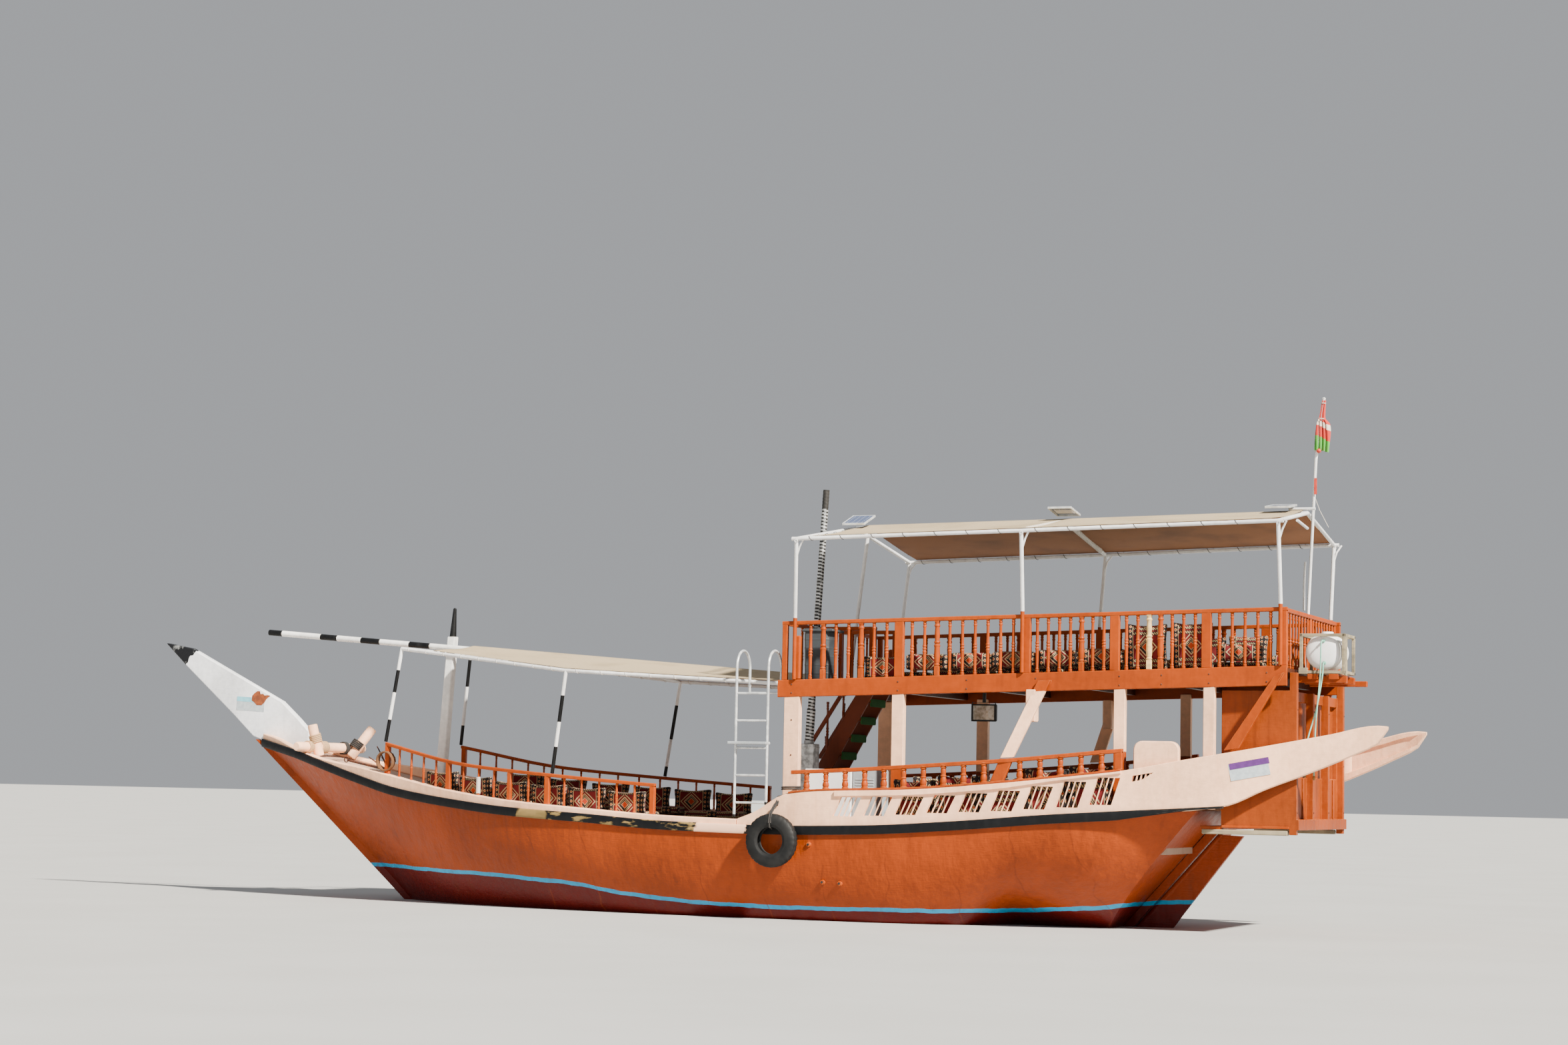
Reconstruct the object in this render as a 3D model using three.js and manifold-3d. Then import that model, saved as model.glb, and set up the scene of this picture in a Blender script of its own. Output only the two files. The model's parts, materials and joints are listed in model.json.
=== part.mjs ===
// Two-deck wooden passenger dhow with a blade-shaped prow, two canopies and a stern cabin.
// Millimetres. The bow points to -X, starboard to +Y, and Z = 0 is the waterline.

import * as THREE from 'three';
import { mergeVertices } from 'three/addons/utils/BufferGeometryUtils.js';
import Module from 'manifold-3d';

const wasm = await Module();
wasm.setup();

// Driving dimensions
const GAP = 0.5;
const SIDES = { port: -1, starboard: 1 };
const KEEL_BOTTOM = -1050;
const STEM = { topX: -8120, topZ: 2280, slope: -0.873 };
const STERN = { footX: 4250, footZ: -1000, slope: 0.887 };
const TIMBER = 140;
const WELL_FLOOR = 950;
const DECK = { start: 860, end: 7440, half: 1800, taper: 0.0274, top: 3030, rise: 0.0334 };
const TUBE = 25;

// Hull sections, from bow to stern: sheer x, keel x, half-breadth, top of rubbing band,
// lowest z, and the two exponents of the side's curve
const HULL = [
  { x: -7950, keelX: -7950, half: 90, band: 2245, low: 2165, bulge: 1.0, round: 1.0 },
  { x: -7600, keelX: -7600, half: 280, band: 2180, low: 1880, bulge: 1.0, round: 1.0 },
  { x: -7100, keelX: -7100, half: 520, band: 2080, low: 1450, bulge: 1.05, round: 1.0 },
  { x: -6500, keelX: -6500, half: 780, band: 1930, low: 920, bulge: 1.1, round: 1.0 },
  { x: -5800, keelX: -5800, half: 1020, band: 1750, low: 310, bulge: 1.2, round: 1.0 },
  { x: -5000, keelX: -5000, half: 1280, band: 1570, low: -390, bulge: 1.35, round: 0.95 },
  { x: -4100, keelX: -4100, half: 1530, band: 1450, low: -930, bulge: 1.6, round: 0.95 },
  { x: -3000, keelX: -3000, half: 1790, band: 1350, low: -950, bulge: 1.9, round: 0.9 },
  { x: -1800, keelX: -1800, half: 1970, band: 1290, low: -950, bulge: 2.2, round: 0.85 },
  { x: -500, keelX: -500, half: 2080, band: 1220, low: -950, bulge: 2.4, round: 0.8 },
  { x: 900, keelX: 900, half: 2120, band: 1200, low: -950, bulge: 2.4, round: 0.8 },
  { x: 2200, keelX: 2100, half: 2130, band: 1230, low: -950, bulge: 2.4, round: 0.8 },
  { x: 3400, keelX: 3100, half: 2100, band: 1310, low: -650, bulge: 2.3, round: 0.8 },
  { x: 4500, keelX: 3700, half: 2030, band: 1410, low: -150, bulge: 2.2, round: 0.75 },
  { x: 5400, keelX: 4300, half: 1900, band: 1475, low: -140, bulge: 2.2, round: 0.6 },
  { x: 6310, keelX: 4864, half: 1480, band: 1537, low: -150, bulge: 2.2, round: 0.45 },
];
const BAND_DROP = 40;

// Half-breadth of the planks above the hull, which run on past the transom: x, half-breadth
const PLANK_HALF = [[5400, 1940], [6310, 1785], [6750, 1705], [7400, 1580], [8610, 1370]];

// Heights along the boat: x, z
const GUNWALE_TOP = [
  [-7950, 2320], [-7600, 2255], [-7100, 2095], [-6500, 1955], [-5800, 1855], [-5000, 1720],
  [-4100, 1565], [-3000, 1440], [-1800, 1360], [-500, 1290], [440, 1270],
];
const BULWARK_TOP = [
  [450, 1272], [680, 1360], [1120, 1600], [1580, 1650], [2720, 1690], [3820, 1780], [4900, 1900],
  [5470, 1970], [6130, 2100], [6930, 2250], [7930, 2450], [8500, 2567], [8610, 2560],
];
const WING_BOTTOM = [
  [6310, 1498], [6710, 1560], [7180, 1770], [7680, 1970], [8180, 2190], [8520, 2370], [8610, 2520],
];
const FORE_RAIL_TOP = [[-5300, 2200], [-3880, 1930], [-2590, 1820], [-800, 1700]];
const MAIN_RAIL_TOP = [[1140, 1900], [2070, 1950], [3200, 2030], [3980, 2090], [5450, 2240]];
const FASCIA_TOP = [[860, 3060], [7440, 3280]];
const FASCIA_BOTTOM = [[860, 2840], [7440, 3035]];
const UPPER_RAIL_TOP = [[920, 3820], [7440, 3990]];

// Straight-line reading of a table of pairs
function read(table, x) {
  let i = 1;
  while (i < table.length - 1 && x > table[i][0]) i += 1;
  const [x0, v0] = table[i - 1];
  const [x1, v1] = table[i];
  return v0 + ((v1 - v0) * (x - x0)) / (x1 - x0);
}

const column = (name) => HULL.map((row) => [row.x, row[name]]);
const HALF = [...column('half').filter(([x]) => x < 5000), ...PLANK_HALF];
const BAND = [...column('band'), [6750, 1570], [8610, 1700]];
const halfBreadth = (x) => read(HALF, x);
const bandTop = (x) => read(BAND, x);
const hullTop = (x) => bandTop(x) - BAND_DROP;
const bulwarkBottom = (x) => (x < WING_BOTTOM[0][0] ? hullTop(x) + GAP : read(WING_BOTTOM, x));
const deckHalf = (x) => DECK.half - DECK.taper * (x - DECK.start);
const deckTop = (x) => DECK.top + DECK.rise * (x - DECK.start);
const sternpostX = (z) => STERN.footX + STERN.slope * (z - STERN.footZ);

// Stations of a table, or of the hull, between two ends
function stations(start, end, ...tables) {
  const inner = new Set();
  for (const table of [HALF, ...tables]) {
    for (const [x] of table) {
      if (x > start && x < end) inner.add(x);
    }
  }
  return [start, ...[...inner].sort((a, b) => a - b), end];
}

// Solids: a closed three.js geometry as a manifold facing outwards, and back
function solid(geometry) {
  const bare = geometry.index ? geometry.toNonIndexed() : geometry.clone();
  bare.deleteAttribute('normal');
  bare.deleteAttribute('uv');
  const merged = mergeVertices(bare, 1e-3);
  const vertProperties = new Float32Array(merged.attributes.position.array);
  const triVerts = new Uint32Array(merged.index.array);
  const shape = new wasm.Manifold(new wasm.Mesh({ numProp: 3, vertProperties, triVerts }));
  if (shape.volume() > 0) return shape;
  const turned = triVerts.map((_, i) => triVerts[i - (i % 3) + (2 - (i % 3))]);
  return new wasm.Manifold(new wasm.Mesh({ numProp: 3, vertProperties, triVerts: turned }));
}

function fromSolid(manifold) {
  const mesh = manifold.getMesh();
  const geometry = new THREE.BufferGeometry();
  geometry.setAttribute('position', new THREE.BufferAttribute(mesh.vertProperties, 3));
  geometry.setIndex(new THREE.BufferAttribute(mesh.triVerts, 1));
  return geometry;
}

const join = (pieces) => pieces.reduce((whole, piece) => whole.add(piece));
const cut = (whole, pieces) => pieces.reduce((rest, piece) => rest.subtract(piece), whole);

// Box between two corners
function block([x0, x1], [y0, y1], [z0, z1]) {
  const box = new THREE.BoxGeometry(x1 - x0, Math.abs(y1 - y0), z1 - z0);
  box.translate((x0 + x1) / 2, (y0 + y1) / 2, (z0 + z1) / 2);
  return solid(box);
}

// Round bar from one point to another
function rod(start, end, radius, sides = 6, endRadius = radius) {
  const a = new THREE.Vector3(...start);
  const along = new THREE.Vector3(...end).sub(a);
  const bar = new THREE.CylinderGeometry(endRadius, radius, along.length(), sides);
  const up = new THREE.Vector3(0, 1, 0);
  bar.applyQuaternion(new THREE.Quaternion().setFromUnitVectors(up, along.clone().normalize()));
  bar.translate(...a.addScaledVector(along, 0.5).toArray());
  return solid(bar);
}

// Flat piece: an outline of x, z points given thickness from y0 to y1
function plate(outline, y0, y1) {
  const shape = new THREE.Shape(outline.map(([x, z]) => new THREE.Vector2(x, z)));
  const slab = new THREE.ExtrudeGeometry(shape, { depth: y1 - y0, bevelEnabled: false });
  slab.rotateX(Math.PI / 2);
  slab.translate(0, y1, 0);
  return solid(slab);
}

// Flat piece: an outline of x, y points given height from z0 to z1
function slab(outline, z0, z1) {
  const shape = new THREE.Shape(outline.map(([x, y]) => new THREE.Vector2(x, y)));
  const piece = new THREE.ExtrudeGeometry(shape, { depth: z1 - z0, bevelEnabled: false });
  piece.translate(0, 0, z0);
  return solid(piece);
}

// Skin through rings of equal length, closed by a flat cap at each end
function loft(rings) {
  const count = rings[0].length;
  const positions = rings.flat(2);
  const faces = [];
  for (let i = 0; i < rings.length - 1; i += 1) {
    for (let j = 0; j < count; j += 1) {
      const a = i * count + j;
      const b = i * count + ((j + 1) % count);
      faces.push(a, b, b + count, a, b + count, a + count);
    }
  }
  for (const ring of [0, rings.length - 1]) {
    const flat = rings[ring].map(([, y, z]) => new THREE.Vector2(y, z));
    for (const triangle of THREE.ShapeUtils.triangulateShape(flat, [])) {
      const corners = triangle.sort((p, q) => p - q).map((k) => ring * count + k);
      faces.push(...(ring === 0 ? corners.reverse() : corners));
    }
  }
  const geometry = new THREE.BufferGeometry();
  geometry.setAttribute('position', new THREE.Float32BufferAttribute(positions, 3));
  geometry.setIndex(faces);
  return solid(geometry);
}

// Piece running along the boat: a y, z outline at each x, drawn for starboard, mirrored for port
function strip(side, xs, outlineAt) {
  return loft(xs.map((x) => outlineAt(x).map(([y, z]) => [x, y * side, z])));
}

const rectangle = (y0, y1, z0, z1) => [[y0, z0], [y1, z0], [y1, z1], [y0, z1]];

// Tube along a curve
function tube(points, radius, sides, steps) {
  const path = new THREE.CatmullRomCurve3(points.map((p) => new THREE.Vector3(...p)));
  const ring = new THREE.Shape();
  ring.absarc(0, 0, radius, 0, 2 * Math.PI);
  const outline = new THREE.Shape(ring.getSpacedPoints(sides).slice(0, sides));
  return new THREE.ExtrudeGeometry(outline, { extrudePath: path, steps, bevelEnabled: false });
}

const dhow = new THREE.Group();

const PAINT = {
  orange: { color: 0xc2571f, roughness: 0.55, metalness: 0 },
  darkOrange: { color: 0x9c4a26, roughness: 0.6, metalness: 0 },
  pink: { color: 0xf1c9b6, roughness: 0.6, metalness: 0 },
  white: { color: 0xece8e4, roughness: 0.5, metalness: 0 },
  black: { color: 0x1c1d20, roughness: 0.6, metalness: 0 },
  steel: { color: 0xc9ccce, roughness: 0.4, metalness: 0.7 },
  pipe: { color: 0xe6e4e0, roughness: 0.45, metalness: 0.1 },
  canvas: { color: 0xcdb9a2, roughness: 0.9, metalness: 0 },
  kilim: { color: 0x7b1620, roughness: 0.95, metalness: 0 },
  weathered: { color: 0x9a9184, roughness: 0.85, metalness: 0 },
  rubber: { color: 0x1f1f20, roughness: 0.8, metalness: 0 },
  hose: { color: 0x86c9b0, roughness: 0.6, metalness: 0 },
  foil: { color: 0x8c8f90, roughness: 0.45, metalness: 0.6 },
  bronze: { color: 0x9a6b32, roughness: 0.4, metalness: 0.8 },
  rust: { color: 0x6e3a22, roughness: 0.9, metalness: 0.3 },
  glass: { color: 0x23406e, roughness: 0.15, metalness: 0.2 },
  flag: { color: 0xc23a2c, roughness: 0.9, metalness: 0 },
};

// Adds one named piece to the boat, with the middle of its box as its own origin
function add(name, paint, shape) {
  const geometry = shape.isBufferGeometry ? shape : fromSolid(shape);
  geometry.computeBoundingBox();
  const centre = geometry.boundingBox.getCenter(new THREE.Vector3()).round();
  geometry.translate(-centre.x, -centre.y, -centre.z);
  const mesh = new THREE.Mesh(geometry, new THREE.MeshStandardMaterial(PAINT[paint]));
  mesh.name = name;
  mesh.position.copy(centre);
  dhow.add(mesh);
}

// Hull body
const SIDE_STEPS = [0.12, 0.3, 0.5, 0.75, 1];

function hullSection({ x, keelX, half, band, low, bulge, round }) {
  const top = band - BAND_DROP;
  const side = SIDE_STEPS.map((t) => {
    const y = half * (1 - (1 - t) ** bulge) ** round;
    return [keelX + (x - keelX) * t, y, low + (top - low) * t];
  });
  const mirrored = [...side].reverse().map(([px, y, z]) => [px, -y, z]);
  return [[keelX, 0, low], ...side, ...mirrored];
}

// Sunken main deck: x, half-width
const WELL = [[800, 1660], [2200, 1660], [4500, 1600], [5300, 1500], [5900, 1350]];
const ENGINE_ROOM = { x: [2600, 3700], y: [-400, 400], z: [60, WELL_FLOOR] };

function wellCutter() {
  const starboard = WELL.map(([x, y]) => [x, y]);
  const port = [...WELL].reverse().map(([x, y]) => [x, -y]);
  return slab([...starboard, ...port].reverse(), WELL_FLOOR, 1800);
}

// Centre timbers: stem, keel, deadwood and sternpost in one outline, with the propeller's arch
const ARCH = { start: 3750, low: -930, high: -100 };
const SHAFT = { x: ARCH.start, z: -520, bore: 40 };

function timberOutline() {
  const stemX = (z) => STEM.topX + (z - STEM.topZ) / STEM.slope;
  return [
    [stemX(2230), 2230],
    [stemX(KEEL_BOTTOM), KEEL_BOTTOM],
    [sternpostX(KEEL_BOTTOM), KEEL_BOTTOM],
    [sternpostX(1240), 1240],
    [sternpostX(1240) - TIMBER, 1240],
    [sternpostX(ARCH.low) - TIMBER, ARCH.low],
    [ARCH.start, ARCH.low],
    [ARCH.start, ARCH.high],
    [3200, -480],
    [2600, -800],
    [-4000, -850],
    [-4700, -500],
    [-7560, 2000],
    [-7760, 2160],
  ];
}

function timbers(grow) {
  return plate(timberOutline(), -TIMBER / 2 - grow, TIMBER / 2 + grow);
}

function hull() {
  const body = loft(HULL.map(hullSection));
  const rebates = [[GAP, 0], [-GAP, 0], [0, GAP], [0, -GAP]].map(([dx, dz]) => {
    const geometry = fromSolid(timbers(GAP));
    return solid(geometry.translate(dx, 0, dz));
  });
  const room = block([...ENGINE_ROOM.x], [...ENGINE_ROOM.y], [ENGINE_ROOM.z[0], WELL_FLOOR + 10]);
  return cut(body, [wellCutter(), room, ...rebates]);
}

function keel() {
  const tubeHole = rod([ARCH.start - 300, 0, SHAFT.z], [ARCH.start + 50, 0, SHAFT.z], SHAFT.bore, 12);
  const boss = rod([ARCH.start - 240, 0, SHAFT.z], [ARCH.start + 20, 0, SHAFT.z], 95, 12);
  return cut(join([timbers(0), boss]), [tubeHole]);
}

add('hull', 'orange', hull());
add('keel', 'darkOrange', keel());

// Prow blade: x, z
const PROW = [
  [-9670, 3630], [-9340, 3330], [-8440, 2570], [-8110, 2275], [-7930, 2205], [-7600, 2142],
  [-7170, 2058], [-7170, 2350], [-7360, 2530], [-7650, 2780], [-7950, 2930], [-8390, 3140],
  [-9220, 3550],
];
add('prow', 'white', plate(PROW, -65, 65));

// Rudder, hung on the raked sternpost
const RUDDER = { axisGap: 70, stock: 45, half: 35, low: -950, high: 1195 };
const rudderX = (z) => sternpostX(z) + RUDDER.axisGap;

function rudder() {
  const blade = plate([
    [rudderX(RUDDER.low), RUDDER.low],
    [rudderX(RUDDER.low) + 600, RUDDER.low + 30],
    [5750, 150],
    [6550, RUDDER.high - 10],
    [rudderX(RUDDER.high), RUDDER.high],
  ], -RUDDER.half, RUDDER.half);
  const stock = rod([rudderX(RUDDER.low), 0, RUDDER.low], [rudderX(RUDDER.high), 0, RUDDER.high],
    RUDDER.stock, 12);
  return join([blade, stock]);
}
add('rudder', 'darkOrange', rudder());

// Propeller on its shaft end
const PROP = { x: 3900, radius: 300, hub: 60, blades: 3 };

function propeller() {
  const hub = rod([PROP.x - 70, 0, SHAFT.z], [PROP.x + 80, 0, SHAFT.z], PROP.hub, 12, 40);
  const shaft = rod([ARCH.start - 250, 0, SHAFT.z], [PROP.x, 0, SHAFT.z], SHAFT.bore - 8, 12);
  const blades = Array.from({ length: PROP.blades }, (_, i) => {
    const blade = new THREE.CylinderGeometry(130, 130, 14, 12);
    blade.rotateX(Math.PI / 2);
    blade.rotateY(THREE.MathUtils.degToRad(55));
    blade.translate(0, PROP.radius - 130, 0);
    blade.rotateX((i * 2 * Math.PI) / PROP.blades);
    blade.translate(PROP.x, 0, SHAFT.z);
    return solid(blade);
  });
  return join([hub, shaft, ...blades]);
}
add('propeller', 'bronze', propeller());

// Rubbing bands, gunwales and bulwarks
const BAND_SIZE = { out: 45, tall: 115 };

function rubBand(side) {
  return strip(side, stations(-7900, 6700, BAND), (x) => {
    const tall = x > 6300 ? 30 : BAND_SIZE.tall;
    const inner = halfBreadth(x) + 1;
    return rectangle(inner, inner + BAND_SIZE.out, bandTop(x) - tall, bandTop(x));
  });
}

function gunwale(side) {
  return strip(side, stations(-7900, 440, BAND, GUNWALE_TOP), (x) => {
    const outer = halfBreadth(x) - 2;
    return rectangle(Math.max(outer - 150, 70), outer, hullTop(x) + GAP, read(GUNWALE_TOP, x));
  });
}

// Bulwark windows: slanted openings, each split by slats, and a short three-cornered one after them
const WINDOWS = { first: 1772, pitch: 413, count: 9, width: 275, lean: 110, slats: 4, slat: 14 };
// x, and how far a window stays above the bulwark's bottom and below its top
const WINDOW_MARGINS = [[1700, 160, 83], [3000, 162, 83], [3860, 134, 83], [4240, 127, 65], [4660, 123, 46],
  [5100, 135, 38]];
const [WINDOW_LOW, WINDOW_HIGH] = [1, 2].map((column) => WINDOW_MARGINS.map((row) => [row[0], row[column]]));
const SHORT_WINDOW = [[5590, 1835], [5715, 1862], [5860, 1955], [5612, 1912]];

function bulwarkWindows(side) {
  const cutters = [];
  const gap = (WINDOWS.width - (WINDOWS.slats - 1) * WINDOWS.slat) / WINDOWS.slats;
  for (let i = 0; i < WINDOWS.count; i += 1) {
    const left = WINDOWS.first + i * WINDOWS.pitch;
    const top = read(BULWARK_TOP, left) - read(WINDOW_HIGH, left);
    const low = bulwarkBottom(left) + read(WINDOW_LOW, left);
    for (let j = 0; j < WINDOWS.slats; j += 1) {
      const x = left + j * (gap + WINDOWS.slat);
      const opening = [
        [x, low],
        [x + gap, low],
        [x + gap + WINDOWS.lean, top],
        [x + WINDOWS.lean, top],
      ];
      cutters.push(side > 0 ? plate(opening, 1500, 2300) : plate(opening, -2300, -1500));
    }
  }
  cutters.push(side > 0 ? plate(SHORT_WINDOW, 1500, 2300) : plate(SHORT_WINDOW, -2300, -1500));
  return cutters;
}

const SIDE_BOARD = { x: [5580, 6150], y: [-1760, -1665], z: [1960, 2340], corner: 90 };

function sideBoard() {
  const [x0, x1] = SIDE_BOARD.x;
  const [z0, z1] = SIDE_BOARD.z;
  const c = SIDE_BOARD.corner;
  const outline = [[x0, z0], [x1, z0], [x1, z1 - c], [x1 - c * 0.3, z1 - c * 0.3], [x1 - c, z1],
    [x0 + c, z1], [x0 + c * 0.3, z1 - c * 0.3], [x0, z1 - c]];
  return plate(outline, ...SIDE_BOARD.y);
}

// Shallow recess in the inner face of the wing that runs out over the stern
const RECESS = { x: [7620, 8420], deep: 30, low: 45, top: 60 };

function wingRecess(side) {
  return strip(side, stations(...RECESS.x, BULWARK_TOP, WING_BOTTOM), (x) => {
    const inner = halfBreadth(x) - 100;
    return rectangle(inner - 10, inner + RECESS.deep,
      bulwarkBottom(x) + RECESS.low, read(BULWARK_TOP, x) - RECESS.top);
  });
}

// Thinner round the windows: x, thickness
const BULWARK_THICK = [[450, 80], [1120, 80], [1350, 45], [5400, 45], [5470, 80], [8610, 80]];

function bulwark(side) {
  const body = strip(side, stations(450, 8610, BULWARK_TOP, WING_BOTTOM, BULWARK_THICK), (x) => {
    const outer = halfBreadth(x) - 20;
    return rectangle(outer - read(BULWARK_THICK, x), outer, bulwarkBottom(x), read(BULWARK_TOP, x));
  });
  const pierced = cut(body, [...bulwarkWindows(side), wingRecess(side)]);
  return side < 0 ? join([pierced, sideBoard()]) : pierced;
}

for (const [name, side] of Object.entries(SIDES)) {
  add(`rub_band_${name}`, 'black', rubBand(side));
  add(`gunwale_${name}`, 'pink', gunwale(side));
  add(`bulwark_${name}`, 'pink', bulwark(side));
}

// Bow bitts: two leaning posts and the round beam across them
function bowBitts() {
  const beam = rod([-6880, -860, 2122], [-6800, 860, 2122], 68, 10);
  const near = rod([-6760, -420, 1995], [-6850, -500, 2440], 70, 10);
  const far = rod([-6750, 420, 1995], [-6510, 620, 2420], 70, 10);
  return join([beam, near, far]);
}
add('bow_bitts', 'pink', bowBitts());

// Grapnel anchor lying on the foredeck
function anchor() {
  const z = hullTop(-5950) + 70;
  const shank = rod([-6350, -330, z + 130], [-5700, -330, z], 18, 8);
  const arms = [[260, 180], [-260, 180], [60, 330]].map(([dy, dz]) => (
    rod([-5720, -330, z], [-5900, -330 + dy * 0.7, z + dz], 14, 6, 8)));
  return join([shank, ...arms]);
}
add('anchor', 'rust', anchor());

// Four-sided bar between two rings of four points, closed at both ends
function bridge([near, far]) {
  const geometry = new THREE.BufferGeometry();
  geometry.setAttribute('position', new THREE.Float32BufferAttribute([...near, ...far].flat(), 3));
  const sides = [0, 1, 2, 3].flatMap((i) => {
    const j = (i + 1) % 4;
    return [i, j, j + 4, i, j + 4, i + 4];
  });
  geometry.setIndex([...sides, 2, 1, 0, 3, 2, 0, 4, 5, 6, 4, 6, 7]);
  return geometry;
}

const sorted = (a, b) => (a < b ? [a, b] : [b, a]);

// Board that leans between two level cuts. Each end has its middle, outer face, height, width and rise
const BOARD = 60;

function leaningBoard(side, foot, head) {
  const rings = [foot, head].map(({ x, y, z, wide, rise }) => [
    [x - wide / 2, y * side, z],
    [x + wide / 2, y * side, z + rise],
    [x + wide / 2, (y - BOARD) * side, z + rise],
    [x - wide / 2, (y - BOARD) * side, z],
  ]);
  return solid(bridge(rings));
}

// Leaning brace at each side, in two lengths that meet at the main rail
const BRACE = { foot: 3905, rail: 4030, head: 4420, wide: 170, low: 2030, middle: 2000 };

// Rails: a top board carried by posts and balusters. A pattern of letters gives each bay:
// B board post, P post, K thick baluster, t thin baluster
const POST_WIDTH = { B: 120, P: 90, K: 60, t: 34 };

function railUprights(pattern, from, to, place) {
  const letters = [...pattern];
  return letters.map((letter, i) => {
    const at = from + ((to - from) * i) / (letters.length - 1);
    return place(at, POST_WIDTH[letter]);
  });
}

// Rail along the side: y centre, base and top are functions of x. reach takes its cap further forward
function sideRail(side, bays, centre, base, top, board) {
  const last = bays[bays.length - 1];
  const start = bays[0].from - POST_WIDTH[bays[0].pattern[0]] / 2 - (board.reach ?? 0);
  const end = last.to + POST_WIDTH[last.pattern.at(-1)] / 2;
  const half = board.wide / 2;
  const cap = strip(side, stations(start, end), (x) => (
    rectangle(centre(x) - half, centre(x) + half, top(x) - board.tall, top(x))));
  const uprights = bays.flatMap(({ from, to, pattern }) => (
    railUprights(pattern, from, to, (x, width) => {
      const depth = Math.min(width, board.wide - 8);
      const ys = [side * centre(x) - depth / 2, side * centre(x) + depth / 2];
      const foot = Math.max(base(x - width / 2), base(x + width / 2)) + GAP;
      return block([x - width / 2, x + width / 2], ys, [foot, top(x) - board.tall / 2]);
    })));
  return join([cap, ...uprights]);
}

const FORE_BAYS = [
  { from: -5250, to: -4110, pattern: 'PttttP' },
  { from: -4110, to: -3040, pattern: 'PtttP' },
  { from: -3040, to: -2420, pattern: 'PtP' },
  { from: -2420, to: -800, pattern: 'PtttttP' },
];
const MAIN_BAYS = [
  { from: 1395, to: 2183, pattern: 'KKKK' },
  { from: 2440, to: 3744, pattern: 'KKKKKK' },
  { from: 4200, to: 5220, pattern: 'KKKKK' },
  { from: 5220, to: 5430, pattern: 'KP' },
];
const UPPER_BAYS = [
  { from: 965, to: 2490, pattern: 'BttKttKttB' },
  { from: 2490, to: 4160, pattern: 'BttKttttttB' },
  { from: 4160, to: 5300, pattern: 'BttttKttB' },
  { from: 5300, to: 6450, pattern: 'BtttKtttB' },
  { from: 6450, to: 7395, pattern: 'BtttttP' },
];

function braceFoot(side) {
  const { foot, rail, wide, low } = BRACE;
  return leaningBoard(side,
    { x: foot, y: low, z: read(BULWARK_TOP, foot + wide / 2) + 1, wide, rise: 0 },
    { x: rail, y: low, z: read(MAIN_RAIL_TOP, rail) - 20, wide, rise: 0 });
}

for (const [name, side] of Object.entries(SIDES)) {
  add(`fore_rail_${name}`, 'orange', sideRail(side, FORE_BAYS, (x) => halfBreadth(x) - 100,
    (x) => read(GUNWALE_TOP, x), (x) => read(FORE_RAIL_TOP, x), { wide: 70, tall: 45 }));
  const mainRail = sideRail(side, MAIN_BAYS, (x) => halfBreadth(x) - 60,
    (x) => read(BULWARK_TOP, x), (x) => read(MAIN_RAIL_TOP, x), { wide: 75, tall: 50, reach: 175 });
  add(`main_rail_${name}`, 'orange', join([mainRail, braceFoot(side)]));
  add(`upper_rail_${name}`, 'orange', sideRail(side, UPPER_BAYS, (x) => deckHalf(x) - 45,
    (x) => read(FASCIA_TOP, x), (x) => read(UPPER_RAIL_TOP, x), { wide: 70, tall: 50 }));
}

// Upright frame at each side of the main deck: fascia board, posts and two diagonal braces
const POSTS = [[950, 1160], [2410, 2570], [5300, 5440], [6420, 6560]];

function deckFrame(side) {
  const fascia = strip(side, stations(DECK.start, DECK.end), (x) => {
    const outer = deckHalf(x);
    return rectangle(outer - 60, outer, read(FASCIA_BOTTOM, x), read(FASCIA_TOP, x));
  });
  const posts = POSTS.map(([x0, x1]) => {
    const outer = deckHalf(x1) - 5;
    return block([x0, x1], sorted(side * (outer - 100), side * outer),
      [hullTop(x1) + 5, read(FASCIA_BOTTOM, x0) + 60]);
  });
  const { rail, head, wide, middle } = BRACE;
  const leaning = leaningBoard(side,
    { x: rail, y: middle, z: read(MAIN_RAIL_TOP, rail + wide / 2) + 2, wide, rise: 10 },
    { x: head, y: deckHalf(head) + 50, z: 3070, wide, rise: 10 });
  const sternBrace = leaningBoard(side,
    { x: 6780, y: 1670, z: 2240, wide: 190, rise: 30 },
    { x: 7350, y: deckHalf(7400) + 50, z: 3130, wide: 130, rise: 60 });
  const outside = deckHalf(4200) + 90;
  const short = block([4200, 4330], sorted(side * (outside - 150), side * outside), [2560, 2960]);
  return join([fascia, ...posts, leaning, sternBrace, short]);
}

for (const [name, side] of Object.entries(SIDES)) {
  add(`deck_frame_${name}`, 'orange', deckFrame(side));
}

// Upper deck: planking on cross beams, with the stair's notch and the pipe's hole
const NOTCH = { x: [DECK.start - 10, 1750], y: [-500, 300] };
const PIPE = { y: -900, radius: 50, low: [950, 2250], high: [1130, 5610] };
const between = ([x0, z0], [x1, z1], z) => x0 + ((x1 - x0) * (z - z0)) / (z1 - z0);
const pipeX = (z) => between(PIPE.low, PIPE.high, z);

function upperDeck() {
  const planking = (x) => deckHalf(x) - 60 - GAP;
  const floor = strip(1, [DECK.start, DECK.end], (x) => (
    rectangle(-planking(x), planking(x), deckTop(x) - 50, deckTop(x))));
  const beams = [1230, 2180, 3380, 4580, 5780, 6980].map((x) => {
    const half = planking(x + 80);
    return block([x, x + 80], [-half, half], [deckTop(x) - 140, deckTop(x) - 20]);
  });
  const notch = block(NOTCH.x, NOTCH.y, [2800, 3200]);
  const hole = rod([pipeX(3050), PIPE.y, 2800], [pipeX(3050), PIPE.y, 3200], PIPE.radius + 30, 12);
  return cut(join([floor, ...beams]), [notch, hole]);
}
add('upper_deck', 'darkOrange', upperDeck());

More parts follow.
